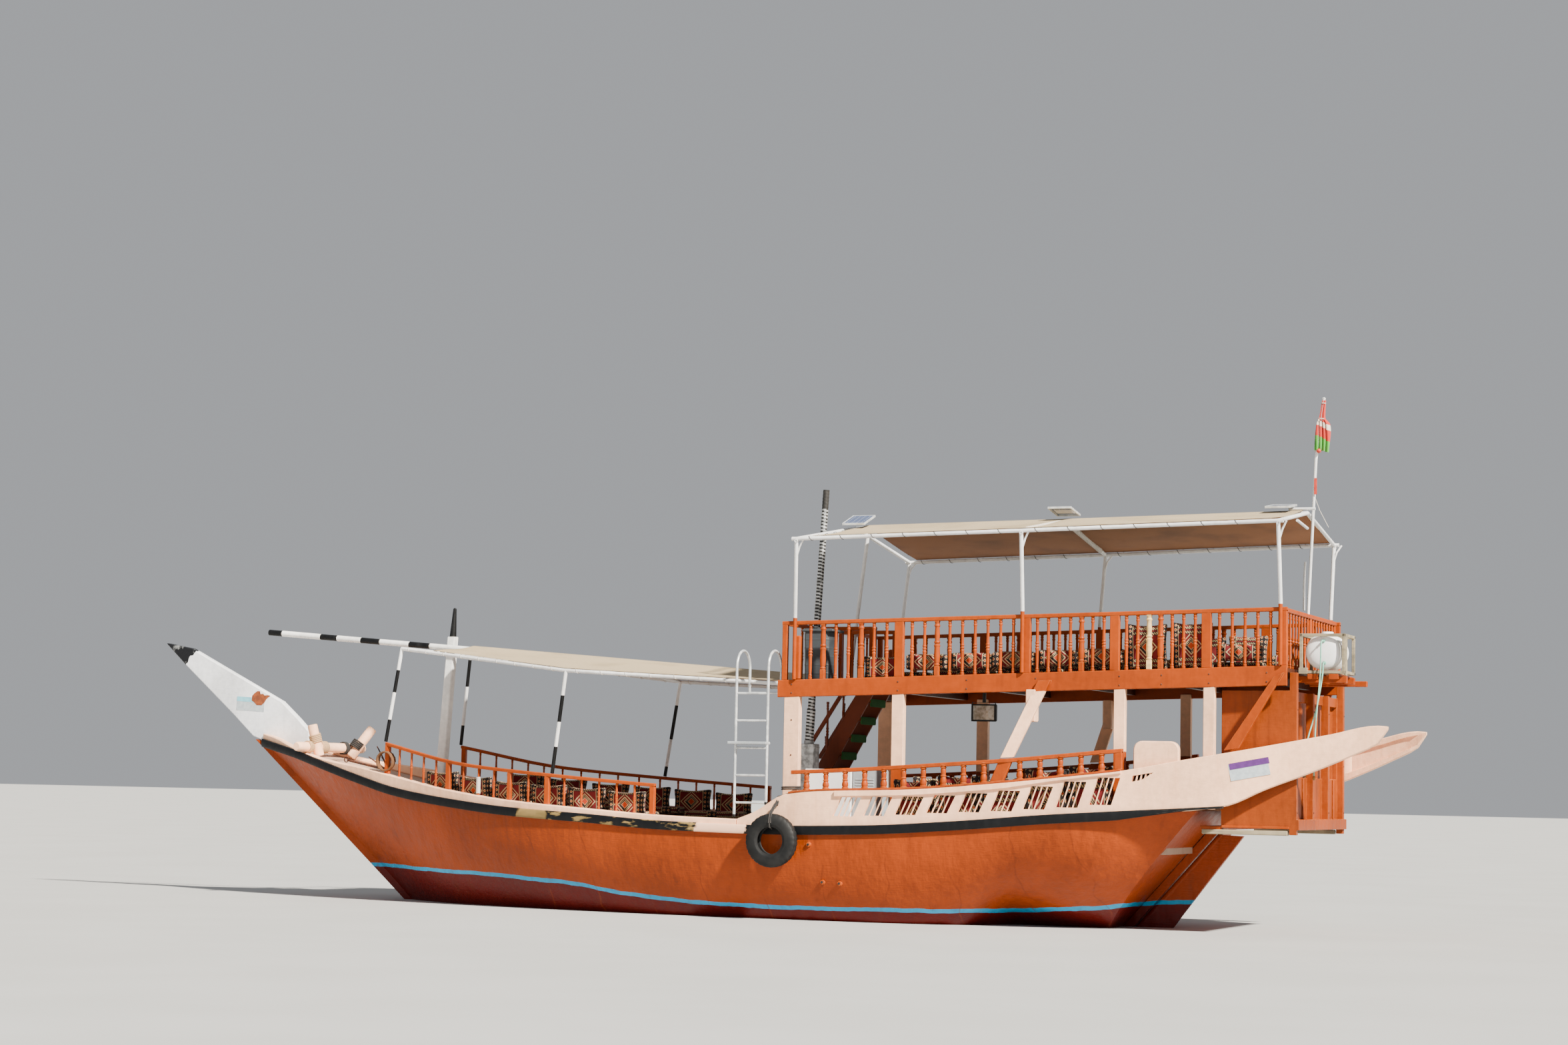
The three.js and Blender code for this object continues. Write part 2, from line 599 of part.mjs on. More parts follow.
// Rails across the upper deck
function aftRail() {
  const x = [7360, 7400];
  const half = deckHalf(7440) - 95;
  const top = read(UPPER_RAIL_TOP, 7400);
  const cap = block([7350, 7410], [-half, half], [top - 50, top]);
  const uprights = railUprights('PttttttttPttttttttP', -half + 45, half - 45, (y, width) => (
    block(x, [y - width / 2, y + width / 2], [deckTop(7400) + 5, top - 20])));
  return join([cap, ...uprights]);
}

function frontRail(side) {
  const x = 905;
  const inner = side < 0 ? 545 : 345;
  const outer = deckHalf(x) - 100;
  const top = read(UPPER_RAIL_TOP, 920);
  const ys = (a, b) => sorted(side * a, side * b);
  const cap = block([x - 30, x + 30], ys(inner - 30, outer), [top - 50, top]);
  const guard = block([x - 30, 1740], ys(inner - 30, inner + 30), [top - 50, top]);
  const across = railUprights('Ptttt', inner, outer - 60, (y, width) => (
    block([x - 17, x + 17], ys(y - width / 2, y + width / 2), [deckTop(950) + 5, top - 20])));
  const back = railUprights('ttttP', x + 160, 1690, (px, width) => (
    block([px - width / 2, px + width / 2], ys(inner - 17, inner + 17), [deckTop(px) + 5, top - 20])));
  return join([cap, guard, ...across, ...back]);
}

add('aft_rail', 'orange', aftRail());
add('front_rail_port', 'orange', frontRail(-1));
add('front_rail_starboard', 'orange', frontRail(1));

// Stair from the foredeck to the upper deck
const STAIR = { foot: [430, 1180], head: [1440, 2960], y: [-420, 220], treads: 7, board: 40 };

function stair() {
  const [x0, z0] = STAIR.foot;
  const [x1, z1] = STAIR.head;
  const [y0, y1] = STAIR.y;
  const outline = [[x0, z0], [x0 + 230, z0], [x1 + 230, z1], [x1, z1]];
  const rail = [[x0 + 200, z0 + 900], [x0 + 260, z0 + 900], [x1 - 180, z1 + 10], [x1 - 240, z1 + 10]];
  const boards = [y0, y1 - STAIR.board].flatMap((y) => {
    const uprights = [0.25, 0.5, 0.72].map((t) => {
      const x = x0 + 60 + (x1 - x0) * t;
      const z = z0 + (z1 - z0) * t;
      return block([x, x + 34], [y + 3, y + 37], [z, Math.min(z + 760, z1 - 40)]);
    });
    return [plate(outline, y, y + STAIR.board), plate(rail, y, y + STAIR.board), ...uprights];
  });
  const treads = Array.from({ length: STAIR.treads }, (_, i) => {
    const t = (i + 1) / (STAIR.treads + 0.6);
    const x = x0 + (x1 - x0) * t;
    const z = z0 + (z1 - z0) * t;
    return block([x + 10, x + 250], [y0 + 10, y1 - 10], [z, z + 40]);
  });
  return join([...boards, ...treads]);
}
add('stair', 'darkOrange', stair());

// Mast and long striped boom that is also the fore canopy's ridge
const BOOM = { start: [-7860, 3780], end: [790, 3140], radius: 42, y: -110 };
const boomZ = (x) => read([BOOM.start, BOOM.end], x);

function mast() {
  const foot = { x: -5020, z: hullTop(-5100) + 2 };
  const rings = [[foot.x, foot.z, 65], [-4890, 3720, 60]].map(([x, z, h]) => (
    [[x - h, -h, z], [x + h, -h, z], [x + h, h, z], [x - h, h, z]]));
  const post = solid(bridge(rings));
  return join([post, rod([-4890, 0, 3700], [-4870, 0, 4130], 50, 8, 22)]);
}
add('mast', 'white', mast());
add('boom', 'white', rod([BOOM.start[0], BOOM.y, BOOM.start[1]], [BOOM.end[0], BOOM.y, BOOM.end[1]],
  BOOM.radius, 10, BOOM.radius - 6));

// Fore canopy frame: poles, edge pipes and cross pipes. x, half-width, z of the edge
const FORE_EDGE = [[-5140, 1000, 3500], [-2160, 1850, 3170], [790, 1440, 3030]];

function foreCanopyFrame() {
  const pieces = [];
  const edge = (i, side) => [FORE_EDGE[i][0], side * FORE_EDGE[i][1], FORE_EDGE[i][2]];
  for (const side of [-1, 1]) {
    pieces.push(rod(edge(0, side), edge(1, side), TUBE));
    pieces.push(rod(edge(1, side), edge(2, side), TUBE));
    const poleFeet = [[0, -5300], [1, -2350]];
    for (const [i, x] of poleFeet) {
      pieces.push(rod(edge(i, side), [x, side * (halfBreadth(x) - 100), read(FORE_RAIL_TOP, x) + 8], TUBE));
    }
  }
  for (const i of [0, 1, 2]) {
    const ridge = [FORE_EDGE[i][0], 0, boomZ(FORE_EDGE[i][0]) - BOOM.radius - TUBE - 12];
    pieces.push(rod(edge(i, -1), ridge, TUBE), rod(edge(i, 1), ridge, TUBE));
  }
  return join(pieces);
}
add('fore_canopy_frame', 'pipe', foreCanopyFrame());

// Canopy cloths: a low gable, thick enough to stand as a solid
function gable(xs, edgeHalf, edgeZ, ridgeZ, thick) {
  return loft(xs.map((x) => [
    [x, -edgeHalf(x), edgeZ(x)], [x, 0, ridgeZ(x)], [x, edgeHalf(x), edgeZ(x)],
    [x, edgeHalf(x), edgeZ(x) + thick], [x, 0, ridgeZ(x) + thick], [x, -edgeHalf(x), edgeZ(x) + thick],
  ]));
}

const FORE_HALVES = FORE_EDGE.map(([x, half]) => [x, half]);
const FORE_ZS = FORE_EDGE.map(([x, , z]) => [x, z]);
add('fore_canopy_cloth', 'canvas', gable([-4550, -3300, -2160, -700, 770],
  (x) => read(FORE_HALVES, x) + 20, (x) => read(FORE_ZS, x) + 45,
  (x) => boomZ(x) + BOOM.radius + 12, 15));

// Upper canopy frames. x and foot give the top and foot of the port and the starboard pole, past how far
// the edge pipes run on beyond the frame, and half, edge and ridge its half-width and heights
const UPPER_FRAMES = [
  { x: [1155, 1275], foot: [1090, 1230], half: 1980, edge: 4870, ridge: 5180, past: -60 },
  { x: [4150, 4150], foot: [4125, 4125], half: 1900, edge: 4940, ridge: 5225, past: 0 },
  { x: [7370, 7310], foot: [7370, 7300], half: 1790, edge: 5025, ridge: 5285, past: 65 },
];
const middle = ([port, starboard]) => (port + starboard) / 2;
const FRONT_PROP = { foot: 985, y: 420 };

// The poles stand on the fascia, just outside the rail, and bend in over the deck
function upperCanopyFrame() {
  const pieces = [];
  UPPER_FRAMES.forEach((frame, i) => {
    const next = UPPER_FRAMES[i + 1];
    const corner = ({ x, half, edge }, k) => [x[k], k ? half : -half, edge];
    const crown = ({ x, ridge }) => [middle(x), 0, ridge];
    for (const k of [0, 1]) {
      const foot = frame.foot[k];
      const y = (k ? 1 : -1) * (deckHalf(foot) + TUBE - 8);
      const rail = read(UPPER_RAIL_TOP, foot);
      const top = corner(frame, k);
      pieces.push(rod([foot, y, read(FASCIA_TOP, foot) + 2], [foot, y, rail + 40], TUBE));
      pieces.push(rod([foot, y, rail + 20], top, TUBE), rod(top, crown(frame), TUBE));
      if (next) pieces.push(rod(top, corner(next, k), TUBE));
      if (frame.past) pieces.push(rod(top, [top[0] + frame.past, top[1], top[2]], TUBE));
    }
    if (next) pieces.push(rod(crown(frame), crown(next), TUBE));
  });
  const { foot, y } = FRONT_PROP;
  const { x: tops, half, edge, ridge } = UPPER_FRAMES[0];
  const out = y / half;
  const x = middle(tops) + (tops[1] - middle(tops)) * out;
  pieces.push(rod([foot, y, deckTop(foot) + 6], [x, y, ridge + (edge - ridge) * out], TUBE));
  return join(pieces);
}
add('upper_canopy_frame', 'pipe', upperCanopyFrame());

const CLOTH_FRONT = 1380;
const frameTable = (name) => UPPER_FRAMES.map((frame) => [middle(frame.x), frame[name]]);
const UPPER_TABLES = { half: frameTable('half'), edge: frameTable('edge'), ridge: frameTable('ridge') };
add('upper_canopy_cloth', 'canvas', gable([CLOTH_FRONT, 2600, 4160, 7280],
  (x) => read(UPPER_TABLES.half, x) + 20, (x) => read(UPPER_TABLES.edge, x) + 45,
  (x) => read(UPPER_TABLES.ridge, x) + 45, 15));

// Solar panels on the upper canopy's ridge, tilted across the boat
const PANEL = { long: 320, wide: 435, thick: 28 };
const PANELS = {
  solar_panel: { x: 1365, y: -295, z: 5262, tilt: 19.4 },
  solar_panel_mid: { x: 4155, y: -90, z: 5352, tilt: -8 },
};

function solarPanel({ x, y, z, tilt }) {
  const panel = new THREE.BoxGeometry(PANEL.long, PANEL.wide, PANEL.thick);
  panel.rotateX(THREE.MathUtils.degToRad(tilt));
  return solid(panel.translate(x, y, z));
}
for (const [name, place] of Object.entries(PANELS)) add(name, 'glass', solarPanel(place));

// Exhaust: square duct on the main deck and the lagged pipe above it
function exhaust() {
  const duct = block([840, 1060], [PIPE.y - 100, PIPE.y + 100], [WELL_FLOOR + GAP, 2260]);
  const { y, low, high, radius } = PIPE;
  const pipe = rod([low[0], y, low[1] - 20], [high[0], y, high[1]], radius, 10, radius - 8);
  return join([duct, pipe]);
}
add('exhaust', 'foil', exhaust());

add('deck_bin', 'rubber', join([
  block([1090, 1430], [-1500, -1120], [deckTop(1430) + GAP, 3730]),
  block([1070, 1500], [-1520, -1100], [3700, 3745]),
]));
add('cabinet', 'white', block([1180, 2180], [-1600, -1180], [WELL_FLOOR + GAP, 1930]));

// Stern cabin: walls, partition, posts and ledge, open at two doors
const CABIN = { x: [6600, 7450], half: 1430, z: [1300, 2980], wall: 30, sill: 1500, lintel: 2860 };
const DOOR = { inner: 350, outer: 1050, clear: 8, thick: 24 };

function sternCabin() {
  const [x0, x1] = CABIN.x;
  const { half, wall } = CABIN;
  const [z0, z1] = CABIN.z;
  const shell = cut(block([x0, x1], [-half, half], [z0, z1]), [
    block([x0 + wall, x1 - wall - 60], [-half + wall, -wall / 2], [z0 + wall, z1 + 10]),
    block([x0 + wall, x1 - wall - 60], [wall / 2, half - wall], [z0 + wall, z1 + 10]),
    block([x1 - 60, x1 + 10], [-half + 120, half - 120], [1930, z1 - 120]),
    ...[-1, 1].map((s) => block([x0 - 10, x0 + wall + 10],
      sorted(s * DOOR.inner, s * DOOR.outer), [CABIN.sill, CABIN.lintel])),
  ]);
  const posts = [-1385, -450, 450, 1385].map((y) => block([x1 - 10, x1 + 80], [y - 45, y + 45],
    [Math.abs(y) > 1000 ? 1230 : z0, Math.abs(y) > 1000 ? 3200 : z1]));
  const ledge = block([x1 - 10, x1 + 110], [-half, half], [1290, 1420]);
  const platform = block([6340, x0 + 10], [-half, half], [1275, 1320]);
  return join([shell, ...posts, ledge, platform]);
}
add('stern_cabin', 'orange', sternCabin());

function cabinDoor(side) {
  const ys = sorted(side * (DOOR.inner + DOOR.clear), side * (DOOR.outer - DOOR.clear));
  const x = CABIN.x[0] - 2;
  return block([x, x + DOOR.thick], ys, [CABIN.sill + DOOR.clear, CABIN.lintel - DOOR.clear]);
}
for (const [name, side] of Object.entries(SIDES)) add(`cabin_door_${name}`, 'darkOrange', cabinDoor(side));

// Shelf on beams behind the upper deck, its crate and the water tank
const SHELF = { x: [7450, 8070], z: [3090, 3170] };

function tankShelf() {
  const beams = [-1080, -620].map((y) => block(SHELF.x, [y - 40, y + 40], SHELF.z));
  const long = block([7450, 8170], [-380, -300], [3070, 3140]);
  const boards = [7600, 7860].map((x) => block([x, x + 120], [-1180, -300], [3130, 3195]));
  return join([...beams, long, ...boards]);
}
add('tank_shelf', 'orange', tankShelf());

const CRATE = { x: [7500, 8060], y: [-1170, -540], z: [3200, 3690], bar: 28 };
const TANK = { x: 7780, z: 3470, radius: 225, y: [-1140, -590] };

function tankCrate() {
  const b = CRATE.bar;
  const ends = ([low, high]) => [[low, low + b], [high - b, high]];
  const posts = ends(CRATE.x).flatMap((xs) => ends(CRATE.y).map((ys) => block(xs, ys, CRATE.z)));
  const sides = ends(CRATE.z).flatMap((zs) => [
    ...ends(CRATE.x).map((xs) => block(xs, CRATE.y, zs)),
    ...ends(CRATE.y).map((ys) => block(CRATE.x, ys, zs)),
  ]);
  return join([...posts, ...sides]);
}
add('tank_crate', 'weathered', tankCrate());

function waterTank() {
  const [y0, y1] = TANK.y;
  const r = TANK.radius;
  const profile = [[0, y0], [r * 0.7, y0 + 15], [r, y0 + 70], [r, y1 - 70], [r * 0.7, y1 - 15], [0, y1]];
  const drum = new THREE.LatheGeometry(profile.map(([px, py]) => new THREE.Vector2(px, py)), 20);
  drum.translate(TANK.x, 0, TANK.z);
  const outlets = [[7800, 3330], [7790, 3600]].map(([x, z]) => rod([x, y0 + 60, z], [x, y0 - 45, z], 14, 8));
  return join([solid(drum), ...outlets]);
}
add('water_tank', 'white', waterTank());

// Two garden hoses from the tank to the quarter
const HOSE = 9;
const HOSES = {
  hose_low: [
    [7800, -1186, 3330], [7801, -1197, 3330], [7804, -1210, 3325], [7806, -1222, 3312],
    [7806, -1230, 3290], [7805, -1233, 3255], [7802, -1234, 3210], [7796, -1236, 3150],
    [7786, -1240, 3080], [7774, -1246, 3000], [7758, -1254, 2900], [7738, -1264, 2790],
    [7714, -1276, 2680], [7686, -1290, 2580], [7658, -1304, 2480], [7634, -1316, 2380],
    [7618, -1324, 2280], [7610, -1328, 2180], [7608, -1330, 2080], [7608, -1330, 1980],
  ],
  hose_high: [
    [7790, -1186, 3600], [7789, -1197, 3600], [7786, -1210, 3596], [7782, -1220, 3584],
    [7778, -1225, 3560], [7776, -1227, 3500], [7775, -1228, 3420], [7774, -1231, 3320],
    [7772, -1240, 3200], [7768, -1258, 3080], [7760, -1274, 2950], [7748, -1290, 2800],
    [7738, -1305, 2650], [7732, -1318, 2500], [7728, -1328, 2350], [7724, -1334, 2200],
    [7722, -1338, 2050], [7722, -1340, 1950],
  ],
};
for (const [name, points] of Object.entries(HOSES)) add(name, 'hose', tube(points, HOSE, 8, 32));

// Flag pole and furled flag
const POLE = [[7300, 3246], [7330, 4040], [7420, 5980], [7520, 6750]];
add('flag_pole', 'pipe', join(POLE.slice(1).map(([x, z], i) => (
  rod([POLE[i][0], 120, POLE[i][1] + (i ? -10 : 8)], [x, 120, z], 20)))));

// Furled flag, wound round the pole's head: z, how far fore and aft of the pole it reaches, half thickness
const FLAG = [
  [6070, 70, 165, 38], [6290, 80, 150, 44], [6430, 75, 130, 42], [6520, 42, 48, 34], [6735, 32, 32, 31],
];
const FLAG_Y = 120;

// Lofted lying down, with z as its length, and then stood up round the pole's bore
function flag() {
  const head = POLE.slice(2);
  const poleX = (z) => read(head.map(([x, height]) => [height, x]), z);
  const rings = FLAG.map(([z, fore, aft, deep]) => {
    const x = poleX(z);
    const corners = [[x - fore, -deep], [x + aft, -deep], [x + aft, deep], [x - fore, deep]];
    return corners.map(([px, py]) => [z, px, FLAG_Y + py]);
  });
  const stand = new THREE.Matrix4().set(0, 1, 0, 0, 0, 0, 1, 0, 1, 0, 0, 0, 0, 0, 0, 1);
  const cloth = fromSolid(loft(rings)).applyMatrix4(stand);
  const bore = rod([poleX(6050), FLAG_Y, 6050], [head[1][0] + 2, FLAG_Y, 6765], 24);
  return cut(solid(cloth), [bore]);
}
add('flag', 'flag', flag());

// Boarding ladder with two hooped handrails
const LADDER = { x: [390, 830], y: -2040, hoop: 215, low: [1300, 1462], bend: 3220, foot: 2880, tube: 18 };

function ladder() {
  const { y, hoop, low, bend, foot } = LADDER;
  const pieces = LADDER.x.flatMap((x, side) => {
    const arc = Array.from({ length: 7 }, (_, i) => {
      const angle = (Math.PI * i) / 6;
      return [x, y + hoop * (1 - Math.cos(angle)), bend + hoop * Math.sin(angle)];
    });
    const points = [[x, y, low[side]], ...arc, [x, y + 2 * hoop, foot]];
    return points.slice(1).map((point, i) => rod(points[i], point, LADDER.tube, 6));
  });
  const rungs = Array.from({ length: 5 }, (_, i) => (
    rod([LADDER.x[0], y, 1480 + i * 350], [LADDER.x[1], y, 1480 + i * 350], 14, 6)));
  const bar = rod([LADDER.x[0], y + 2 * hoop, foot + 20], [LADDER.x[1], y + 2 * hoop, foot + 20], 14, 6);
  const step = block([310, 850], [y - 90, y + 60], [2225, 2260]);
  return join([...pieces, ...rungs, bar, step]);
}
add('ladder', 'steel', ladder());

// Tyre hung outboard as a fender
const TYRE = { x: 1010, y: -2262, z: 1010, outer: 340, inner: 168, half: 85 };

function tyreFender() {
  const { outer, inner, half } = TYRE;
  const shoulder = outer - 25;
  const port = [[inner, 0.8], [outer * 0.8, 1], [shoulder, 0.8], [outer, 0.35]];
  const starboard = [...port].reverse();
  const profile = [
    ...port.map(([r, share]) => [r, -share * half]),
    ...starboard.map(([r, share]) => [r, share * half]),
    [inner, -0.8 * half],
  ];
  const ring = new THREE.LatheGeometry(profile.map(([r, y]) => new THREE.Vector2(r, y)), 24);
  return solid(ring.translate(TYRE.x, TYRE.y, TYRE.z));
}
add('tyre_fender', 'rubber', tyreFender());

// Floodlight under the upper deck
add('floodlight', 'black', join([
  block([2900, 3240], [-60, 40], [2600, 2830]),
  block([3050, 3090], [-30, 10], [2820, deckTop(3050) - 52]),
]));

// Helm pedestal and steering wheel
const HELM = { x: 4700, z: 1650, wheel: 270 };
add('helm', 'darkOrange', join([
  block([HELM.x, HELM.x + 200], [-170, 170], [WELL_FLOOR + GAP, 1480]),
  block([HELM.x - 40, HELM.x + 230], [-230, 230], [1470, 1820]),
]));

function steeringWheel() {
  const x = HELM.x + 300;
  const rim = new THREE.TorusGeometry(HELM.wheel, 16, 6, 16);
  rim.rotateY(Math.PI / 2);
  rim.translate(x, 0, HELM.z);
  const spokes = [0, 60, 120].map((degrees) => {
    const angle = THREE.MathUtils.degToRad(degrees);
    const y = Math.cos(angle) * HELM.wheel;
    const z = Math.sin(angle) * HELM.wheel;
    return rod([x, -y, HELM.z - z], [x, y, HELM.z + z], 11, 6);
  });
  const hub = rod([HELM.x + 230 + 6, 0, HELM.z], [x + 30, 0, HELM.z], 40, 10);
  return join([solid(rim), ...spokes, hub]);
}
add('steering_wheel', 'darkOrange', steeringWheel());

// Engine block in its pocket and the hatch over it
add('engine', 'rust', block([2750, 3550], [-300, 300], [ENGINE_ROOM.z[0] + GAP, 800]));
add('engine_hatch', 'orange', block([2550, 3750], [-450, 450], [WELL_FLOOR + 6, WELL_FLOOR + 41]));

// Seats: mattress with a row of back cushions, one L-shaped section along the boat
function seat(side, xs, outer, floor, size) {
  return strip(side, xs, (x) => {
    const y = outer(x);
    const z = floor(x) + 3;
    const back = z + size.back(x);
    return [[y - size.deep, z], [y, z], [y, back], [y - size.thick, back],
      [y - size.thick, z + size.base], [y - size.deep, z + size.base]];
  });
}

for (const [name, side] of Object.entries(SIDES)) {
  add(`fore_seat_${name}`, 'kilim', seat(side, stations(-4600, -950), (x) => halfBreadth(x) - 175,
    hullTop, { deep: 560, thick: 130, base: 120, back: () => 400 }));
  add(`main_seat_${name}`, 'kilim', seat(side, [2620, 4500, 5250], (x) => read(WELL, x) - 25,
    () => WELL_FLOOR, { deep: 560, thick: 130, base: 430, back: () => 990 }));
  const backs = [[1950, 330], [5600, 330], [5750, 640], [7100, 640]];
  add(`upper_seat_${name}`, 'kilim', seat(side, backs.map(([x]) => x), (x) => deckHalf(x) - 100,
    deckTop, { deep: 560, thick: 130, base: 110, back: (x) => read(backs, x) }));
}

export default dhow;
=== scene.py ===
# Two-deck wooden passenger dhow: finishes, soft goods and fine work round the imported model.
# Metres. The bow points to -X, starboard to +Y, and Z = 0 is the waterline.
import json
import math
import random
from bisect import bisect

import bmesh
import bpy
from mathutils import Matrix, Vector

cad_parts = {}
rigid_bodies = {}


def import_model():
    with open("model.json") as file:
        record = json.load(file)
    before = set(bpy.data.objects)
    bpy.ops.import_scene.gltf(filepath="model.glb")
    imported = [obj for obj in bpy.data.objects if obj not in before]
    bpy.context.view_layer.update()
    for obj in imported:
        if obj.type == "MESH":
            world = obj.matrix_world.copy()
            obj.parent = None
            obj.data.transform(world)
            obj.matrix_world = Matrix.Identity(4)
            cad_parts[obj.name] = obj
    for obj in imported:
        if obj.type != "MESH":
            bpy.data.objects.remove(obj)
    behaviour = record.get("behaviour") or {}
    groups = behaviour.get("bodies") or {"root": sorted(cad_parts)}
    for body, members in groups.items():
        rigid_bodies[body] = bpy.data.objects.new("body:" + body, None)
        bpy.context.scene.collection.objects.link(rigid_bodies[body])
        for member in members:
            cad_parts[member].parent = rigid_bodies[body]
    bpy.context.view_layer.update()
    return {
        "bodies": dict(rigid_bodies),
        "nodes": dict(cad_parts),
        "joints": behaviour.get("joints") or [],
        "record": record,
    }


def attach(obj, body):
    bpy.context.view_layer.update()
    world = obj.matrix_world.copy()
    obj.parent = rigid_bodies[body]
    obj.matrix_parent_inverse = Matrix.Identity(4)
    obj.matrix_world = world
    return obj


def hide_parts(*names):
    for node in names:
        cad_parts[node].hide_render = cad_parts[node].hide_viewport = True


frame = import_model()

SIDES = {"port": -1, "starboard": 1}
EDGE = 0.006
TUBE = 0.025

# Boat's lines. Columns: sheer x, keel x, half-breadth, top of the band, lowest z, bulge, round
HULL = [
    (-7.95, -7.95, 0.09, 2.245, 2.165, 1.0, 1.0),
    (-7.60, -7.60, 0.28, 2.180, 1.880, 1.0, 1.0),
    (-7.10, -7.10, 0.52, 2.080, 1.450, 1.05, 1.0),
    (-6.50, -6.50, 0.78, 1.930, 0.920, 1.1, 1.0),
    (-5.80, -5.80, 1.02, 1.750, 0.310, 1.2, 1.0),
    (-5.00, -5.00, 1.28, 1.570, -0.390, 1.35, 0.95),
    (-4.10, -4.10, 1.53, 1.450, -0.930, 1.6, 0.95),
    (-3.00, -3.00, 1.79, 1.350, -0.950, 1.9, 0.9),
    (-1.80, -1.80, 1.97, 1.290, -0.950, 2.2, 0.85),
    (-0.50, -0.50, 2.08, 1.220, -0.950, 2.4, 0.8),
    (0.90, 0.90, 2.12, 1.200, -0.950, 2.4, 0.8),
    (2.20, 2.10, 2.13, 1.230, -0.950, 2.4, 0.8),
    (3.40, 3.10, 2.10, 1.310, -0.650, 2.3, 0.8),
    (4.50, 3.70, 2.03, 1.410, -0.150, 2.2, 0.75),
    (5.40, 4.30, 1.90, 1.475, -0.140, 2.2, 0.6),
    (6.31, 4.864, 1.48, 1.537, -0.150, 2.2, 0.45),
]
# Tables of x and the value there
PLANK_HALF = [(5.4, 1.94), (6.31, 1.785), (6.75, 1.705), (7.4, 1.58), (8.61, 1.37)]
BAND_AFT = [(6.75, 1.57), (8.61, 1.70)]
GUNWALE_TOP = [
    (-7.95, 2.32), (-7.6, 2.255), (-7.1, 2.095), (-6.5, 1.955), (-5.8, 1.855), (-5.0, 1.72),
    (-4.1, 1.565), (-3.0, 1.44), (-1.8, 1.36), (-0.5, 1.29), (0.44, 1.27),
]
BULWARK_TOP = [
    (0.45, 1.272), (0.68, 1.36), (1.12, 1.6), (1.58, 1.65), (2.72, 1.69), (3.82, 1.78), (4.9, 1.9),
    (5.47, 1.97), (6.13, 2.1), (6.93, 2.25), (7.93, 2.45), (8.5, 2.567), (8.61, 2.56),
]
WING_BOTTOM = [
    (6.31, 1.498), (6.71, 1.56), (7.18, 1.77), (7.68, 1.97), (8.18, 2.19), (8.52, 2.37), (8.61, 2.52),
]
FORE_RAIL_TOP = [(-5.3, 2.2), (-3.88, 1.93), (-2.59, 1.82), (-0.8, 1.7)]
MAIN_RAIL_TOP = [(1.14, 1.9), (2.07, 1.95), (3.2, 2.03), (3.98, 2.09), (5.45, 2.24)]
FASCIA_TOP = [(0.86, 3.06), (7.44, 3.28)]
FASCIA_BOTTOM = [(0.86, 2.84), (7.44, 3.035)]
UPPER_RAIL_TOP = [(0.92, 3.82), (7.44, 3.99)]
WELL = [(0.8, 1.66), (2.2, 1.66), (4.5, 1.6), (5.3, 1.5), (5.9, 1.35)]
STRIPE_Z = [
    (-6.5, 0.47), (-5.5, 0.47), (-3.4, 0.43), (-2.69, 0.4), (-2.02, 0.36), (-1.37, 0.27),
    (-0.73, 0.22), (0.0, 0.175), (2.5, 0.17), (3.66, 0.19), (4.75, 0.25), (5.7, 0.33), (6.5, 0.36),
]
BAND_DROP = 0.04
GAP = 0.001
WELL_FLOOR = 0.95
ENGINE_ROOM = {"x": (2.6, 3.7), "half": 0.4, "floor": 0.06}
DECK = {"start": 0.86, "end": 7.44, "half": 1.8, "taper": 0.0274, "top": 3.03, "rise": 0.0334}


def flowing(pairs):
    """A smooth line through x, value pairs that doesn't swing past them."""
    xs, vs = zip(*pairs)
    rises = [(vs[i + 1] - vs[i]) / (xs[i + 1] - xs[i]) for i in range(len(xs) - 1)]
    inner = [2 * a * b / (a + b) if a * b > 0 else 0.0 for a, b in zip(rises, rises[1:])]
    slopes = [rises[0], *inner, rises[-1]]

    def at(x):
        i = min(max(bisect(xs, x) - 1, 0), len(xs) - 2)
        run = xs[i + 1] - xs[i]
        t = min(max((x - xs[i]) / run, 0.0), 1.0)
        start = (2 * t**3 - 3 * t**2 + 1) * vs[i] + (t**3 - 2 * t**2 + t) * run * slopes[i]
        return start + (3 * t**2 - 2 * t**3) * vs[i + 1] + (t**3 - t**2) * run * slopes[i + 1]

    return at


def straight(values):
    """Values at given places along X, with straight lines between them."""

    def at(x):
        pairs = list(zip(values, values[1:]))
        (x0, a), (x1, b) = next((pair for pair in pairs if x < pair[1][0]), pairs[-1])
        return a + (b - a) * (x - x0) / (x1 - x0)

    return at


def column(index):
    """One column of the boat's lines, as pairs with the sheer's x."""
    return [(row[0], row[index]) for row in HULL]


keel_x = flowing(column(1))
hull_half = flowing(column(2))
half_breadth = flowing([pair for pair in column(2) if pair[0] < 5] + PLANK_HALF)
band_top = flowing(column(3) + BAND_AFT)
keel_z, bulge, rounding = (flowing(column(i)) for i in (4, 5, 6))
gunwale_top, bulwark_top, wing_bottom = (flowing(t) for t in (GUNWALE_TOP, BULWARK_TOP, WING_BOTTOM))
fore_rail_top, main_rail_top = flowing(FORE_RAIL_TOP), flowing(MAIN_RAIL_TOP)
fascia_top, fascia_bottom, upper_rail_top = (flowing(t) for t in (FASCIA_TOP, FASCIA_BOTTOM, UPPER_RAIL_TOP))
well_half = flowing(WELL)


def hull_top(x):
    return band_top(x) - BAND_DROP


def bulwark_bottom(x):
    return hull_top(x) + GAP if x < WING_BOTTOM[0][0] else wing_bottom(x)


def deck_half(x):
    return DECK["half"] - DECK["taper"] * (x - DECK["start"])


def deck_top(x):
    return DECK["top"] + DECK["rise"] * (x - DECK["start"])


def spaced(start, end, count):
    """Evenly spaced numbers from start to end."""
    return [start + (end - start) * i / (count - 1) for i in range(count)]


def rgb(red, green, blue):
    """A colour as it shows on screen, turned into light values."""
    linear = [c / 255 / 12.92 if c <= 10 else ((c / 255 + 0.055) / 1.055) ** 2.4 for c in (red, green, blue)]
    return (*linear, 1.0)


